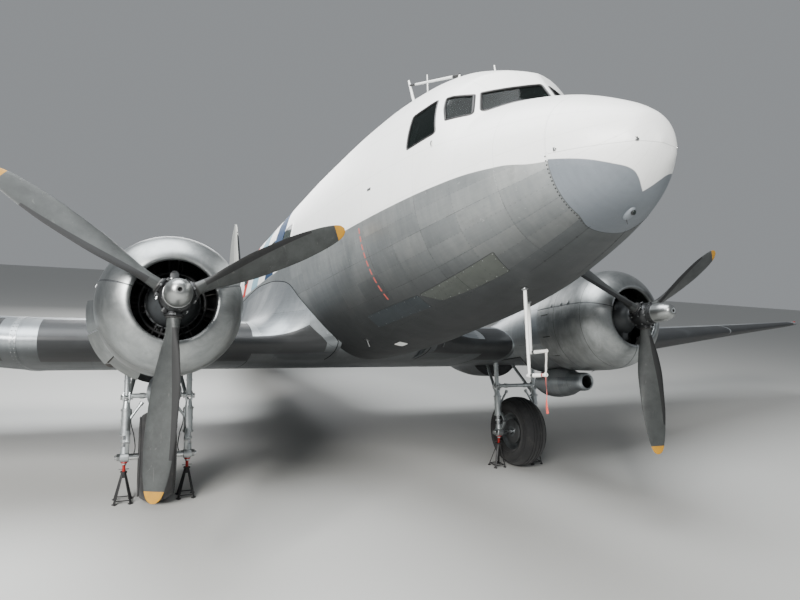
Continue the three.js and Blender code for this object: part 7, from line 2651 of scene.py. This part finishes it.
def streamline(b, p0, p1, c0, c1, t0, t1, mi=0, n=16):
    """tapering strut of streamlined section: c chord along s, t thickness along x"""
    p0, p1 = Vector(p0), Vector(p1)
    rows = []
    for i in range(9):
        t = i / 8
        o = p0.lerp(p1, t)
        c, th = c0 + (c1 - c0) * t, t0 + (t1 - t0) * t
        if i == 8:
            c, th = c * 0.86, th * 0.7
        ring = []
        for k in range(n):
            a = k / n * 2 * PI
            u = math.cos(a)
            w = math.sin(a) * (1 - 0.35 * u)
            ring.append((o.x + w * th / 2, o.y + u * c / 2, o.z))
        rows.append(ring)
    b.grid(rows, mi)


def aerials():
    b = Build()
    zt = hull_point(3.5, PI / 2)[2]
    streamline(b, (0, 3.505, zt - 0.02), (0, 3.798, 2.318), 0.062, 0.042, 0.040, 0.026)
    b.lathe([(0.062, -0.012), (0.062, 0.006), (0.046, 0.012), (0.030, 0.022), (0.0, 0.03)], "z", (0, 3.51, zt + 0.002), 26, 0)
    b.rod((0, 3.765, 2.235), (0, 3.60, 2.168), 0.015, 0.013, 14, 1)
    b.rod((0, 3.60, 2.168), (0, 2.66, 1.787), 0.013, 0.015, 14, 0)
    b.rod((0, 2.66, 1.787), (0, 2.53, 1.734), 0.019, 0.022, 14, 1)
    z2 = hull_point(2.54, PI / 2)[2]
    streamline(b, (0, 2.54, z2 - 0.015), (0, 2.54, 1.742), 0.052, 0.046, 0.034, 0.030)
    b.lathe([(0.045, -0.010), (0.045, 0.005), (0.030, 0.012), (0.0, 0.02)], "z", (0, 2.54, z2 + 0.002), 22, 0)
    b.piece("aerial_mast_fine", [AERIALM, BLACKP], replaces="aerial_mast", slot="white")
    w = Build()
    z3 = hull_point(3.5, math.acos(0.12 / hW(3.5)))[2]
    a3 = surface_angle(3.5, .12, 1.55)
    z3 = hull_point(3.5, a3)[2]
    w.rod((0.12, 3.5, z3 - 0.012), (0.12, 3.5, z3 + 0.10), 0.033, 0.020, 18, 0)
    w.lathe([(0.030, 0.0), (0.034, 0.008), (0.030, 0.016), (0.022, 0.020)], "z", (0.12, 3.5, z3 + 0.03), 20, 1)
    w.tube([(0.12, 3.5, z3 + 0.08), (0.12, 3.5, 1.9), (0.12, 3.502, 2.15), (0.12, 3.503, 2.275)], [0.014, 0.011, 0.008, 0.007], 10, 0)
    w.piece("aerial_whip_fine", [AERIALM, BLACKP], replaces="aerial_whip", slot="white")
    st = Build()
    z4 = hull_point(1.85, PI / 2)[2]
    st.rod((0, 1.85, z4 - 0.01), (0, 1.87, z4 + 0.125), 0.010, 0.007, 12, 0)
    st.lathe([(0.024, -0.008), (0.024, 0.004), (0.012, 0.010)], "z", (0, 1.85, z4), 18, 0)
    st.piece("aerial_stub", [AERIALM], slot="white")


PITOT = {}


def pitots():
    for name, x, s, drop, node in (("long", -.12, 1.42, .73, "pitot_mast_long"), ("short", .13, 1.71, .45, "pitot_mast_short")):
        b = Build()
        a = surface_angle(s, x, hB(s))
        z = hull_point(s, a)[2]
        z1 = hB(s) - drop
        lo, _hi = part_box(node)
        streamline(b, (x, s, z + 0.012), (x, s, z1 - 0.004), 0.036, 0.030, 0.028, 0.024, 0)
        b.lathe([(0.030, 0.012), (0.030, -0.003), (0.024, -0.008), (0.016, -0.016)], "z", (x, s, z), 22, 2)
        for k in range(6):
            t = k / 6 * 2 * PI
            b.rod((x + 0.026 * math.cos(t), s + 0.026 * math.sin(t), z - 0.001), (x + 0.026 * math.cos(t), s + 0.026 * math.sin(t), z - 0.0075), 0.003, 0.0024, 8, 2)
        # head: a tapering tube with an open mouth
        prof = [(0.0, 0.030), (0.010, 0.028), (0.0158, 0.012), (0.0170, -0.02), (0.0165, -0.09), (0.0145, -0.17), (0.0128, -0.222), (0.0112, -0.229),
                (0.0060, -0.2285), (0.0055, -0.200), (0.0, -0.199)]
        b.lathe(prof, "y", (x, s, z1), 22, 0)
        b.lathe([(0.0176, -0.062), (0.0182, -0.058), (0.0182, -0.036), (0.0178, -0.032), (0.0165, -0.034), (0.0165, -0.060)], "y", (x, s, z1), 22, 2, closed=True)
        if name == "long":
            for t0, t1 in ((-0.168, -0.186), (-0.196, -0.214)):
                b.lathe([(0.0145, t0), (0.0156, t0 - 0.002), (0.0150, t1 + 0.002), (0.0138, t1), (0.012, (t0 + t1) / 2)], "y", (x, s, z1), 22, 1, closed=True)
        b.piece("pitot_%s_fine" % name, [AERIALM, RED, STEEL], replaces=node, slot="white")
        PITOT[name] = Vector((x, s, z1))


def ribbon(name, pts, width, col, worn, across, thick=0.0011):
    """strip of cloth through pts"""
    b = Build()
    rows = []
    n = len(pts)
    for i, p in enumerate(pts):
        t = i / (n - 1)
        d = (Vector(pts[min(i + 1, n - 1)]) - Vector(pts[max(i - 1, 0)])).normalized()
        w = Vector(across(t))
        w = (w - d * w.dot(d)).normalized()
        nn = d.cross(w).normalized()
        ring = []
        for u in np.linspace(-1, 1, 7):
            ring.append(tuple(Vector(p) + w * (width / 2 * u) + nn * (0.0012 * math.cos(u * PI) * math.sin(t * 11) + thick / 2)))
        for u in np.linspace(1, -1, 7):
            ring.append(tuple(Vector(p) + w * (width / 2 * u) + nn * (0.0012 * math.cos(u * PI) * math.sin(t * 11) - thick / 2)))
        rows.append(ring)
    b.grid(rows, 0)
    ln = sum((Vector(q) - Vector(p)).length for p, q in zip(pts, pts[1:]))
    ob = b.piece(name, [fabric_material(name + "_cloth", col, worn)], angle=50)
    return ob, ln


def ribbons():
    a = PITOT["short"] + Vector((0, -0.214, -0.0135))
    c = PITOT["long"] + Vector((0, -0.214, 0.0135))
    pts = []
    for i in range(33):
        t = i / 32
        p = a.lerp(c, t)
        p.z -= 0.035 * 4 * t * (1 - t)
        pts.append(tuple(p))
    # loops of the same tape tied round the heads
    k = Build()
    for q in (PITOT["short"], PITOT["long"]):
        k.lathe([(0.0135, -0.203), (0.0160, -0.203), (0.0160, -0.225), (0.0135, -0.225)], "y", tuple(q), 20, 0, closed=True)
        k.lathe([(0.0, -0.007), (0.006, -0.005), (0.008, 0.0), (0.006, 0.005), (0.0, 0.007)], "x", tuple(q + Vector((0, -0.214, -0.018 if q is PITOT["short"] else 0.018))), 12, 0)
    knot = k.piece("ribbon_knots", [fabric_material("tape_white", (226, 226, 220), (196, 196, 188))])
    ob, ln = ribbon("cover_ribbon_white", pts, 0.025, (228, 228, 222), (198, 198, 190), lambda t: (0.35, -0.6, 0.7))
    d = PITOT["long"] + Vector((0, -0.214, -0.0165))
    pts = []
    for i in range(33):
        t = i / 32
        pts.append((d.x + 0.006 * math.sin(t * 5.0) * t, d.y + 0.008 * math.sin(t * 3.4) * t, d.z - 0.29 * t))
    ob, ln = ribbon("cover_ribbon_red", pts, 0.025, (206, 62, 44), (168, 46, 34), lambda t: (math.cos(0.5 + 1.2 * t), math.sin(0.5 + 1.2 * t), 0))


nose_fittings()
belly_fittings()
aerials()
pitots()
ribbons()


# ------------------------------------------------------------------ studio
def studio():
    lo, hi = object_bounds()
    b = Build()
    w = 220
    b.v = [(-w, -w, -0.02), (w, -w, -0.02), (w, w, -0.02), (-w, w, -0.02), (-w, -w, 0), (w, -w, 0), (w, w, 0), (-w, w, 0)]
    b.f = [(3, 2, 1, 0), (4, 5, 6, 7), (0, 1, 5, 4), (1, 2, 6, 5), (2, 3, 7, 6), (3, 0, 4, 7)]
    b.m = [0] * 6
    fl = b.mesh("studio_floor", [floor_material().m], level=False)
    fl.location.z = lo[2] - 0.0005
    fl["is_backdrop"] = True
    w = bpy.data.worlds.new("studio")
    w.use_nodes = True
    SC.world = w
    bg = next(n for n in w.node_tree.nodes if n.type == "BACKGROUND")
    bg.inputs[0].default_value = (0.62, 0.65, 0.68, 1)
    bg.inputs[1].default_value = 0.46

    def area(name, at, to, size, power, col=(1, 1, 1)):
        d = bpy.data.lights.new(name, "AREA")
        d.shape = "RECTANGLE"
        d.size, d.size_y = size
        d.energy = power
        d.color = col
        o = bpy.data.objects.new(name, d)
        SC.collection.objects.link(o)
        o.location = at
        o.rotation_euler = (Vector(to) - Vector(at)).to_track_quat("-Z", "Y").to_euler()
    area("key", (-14, -20, 13), (-2, -6, 2), (9, 6), 9600, (1.0, 0.985, 0.96))
    area("top", (-5, -4, 16), (-1, -3, 2), (14, 12), 5200, (0.95, 0.98, 1.0))
    area("fill", (18, -16, 7), (2, -6, 2), (8, 6), 180, (0.92, 0.96, 1.0))
    area("back", (0, 24, 12), (0, 4, 2), (14, 8), 2400)


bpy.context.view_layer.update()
studio()
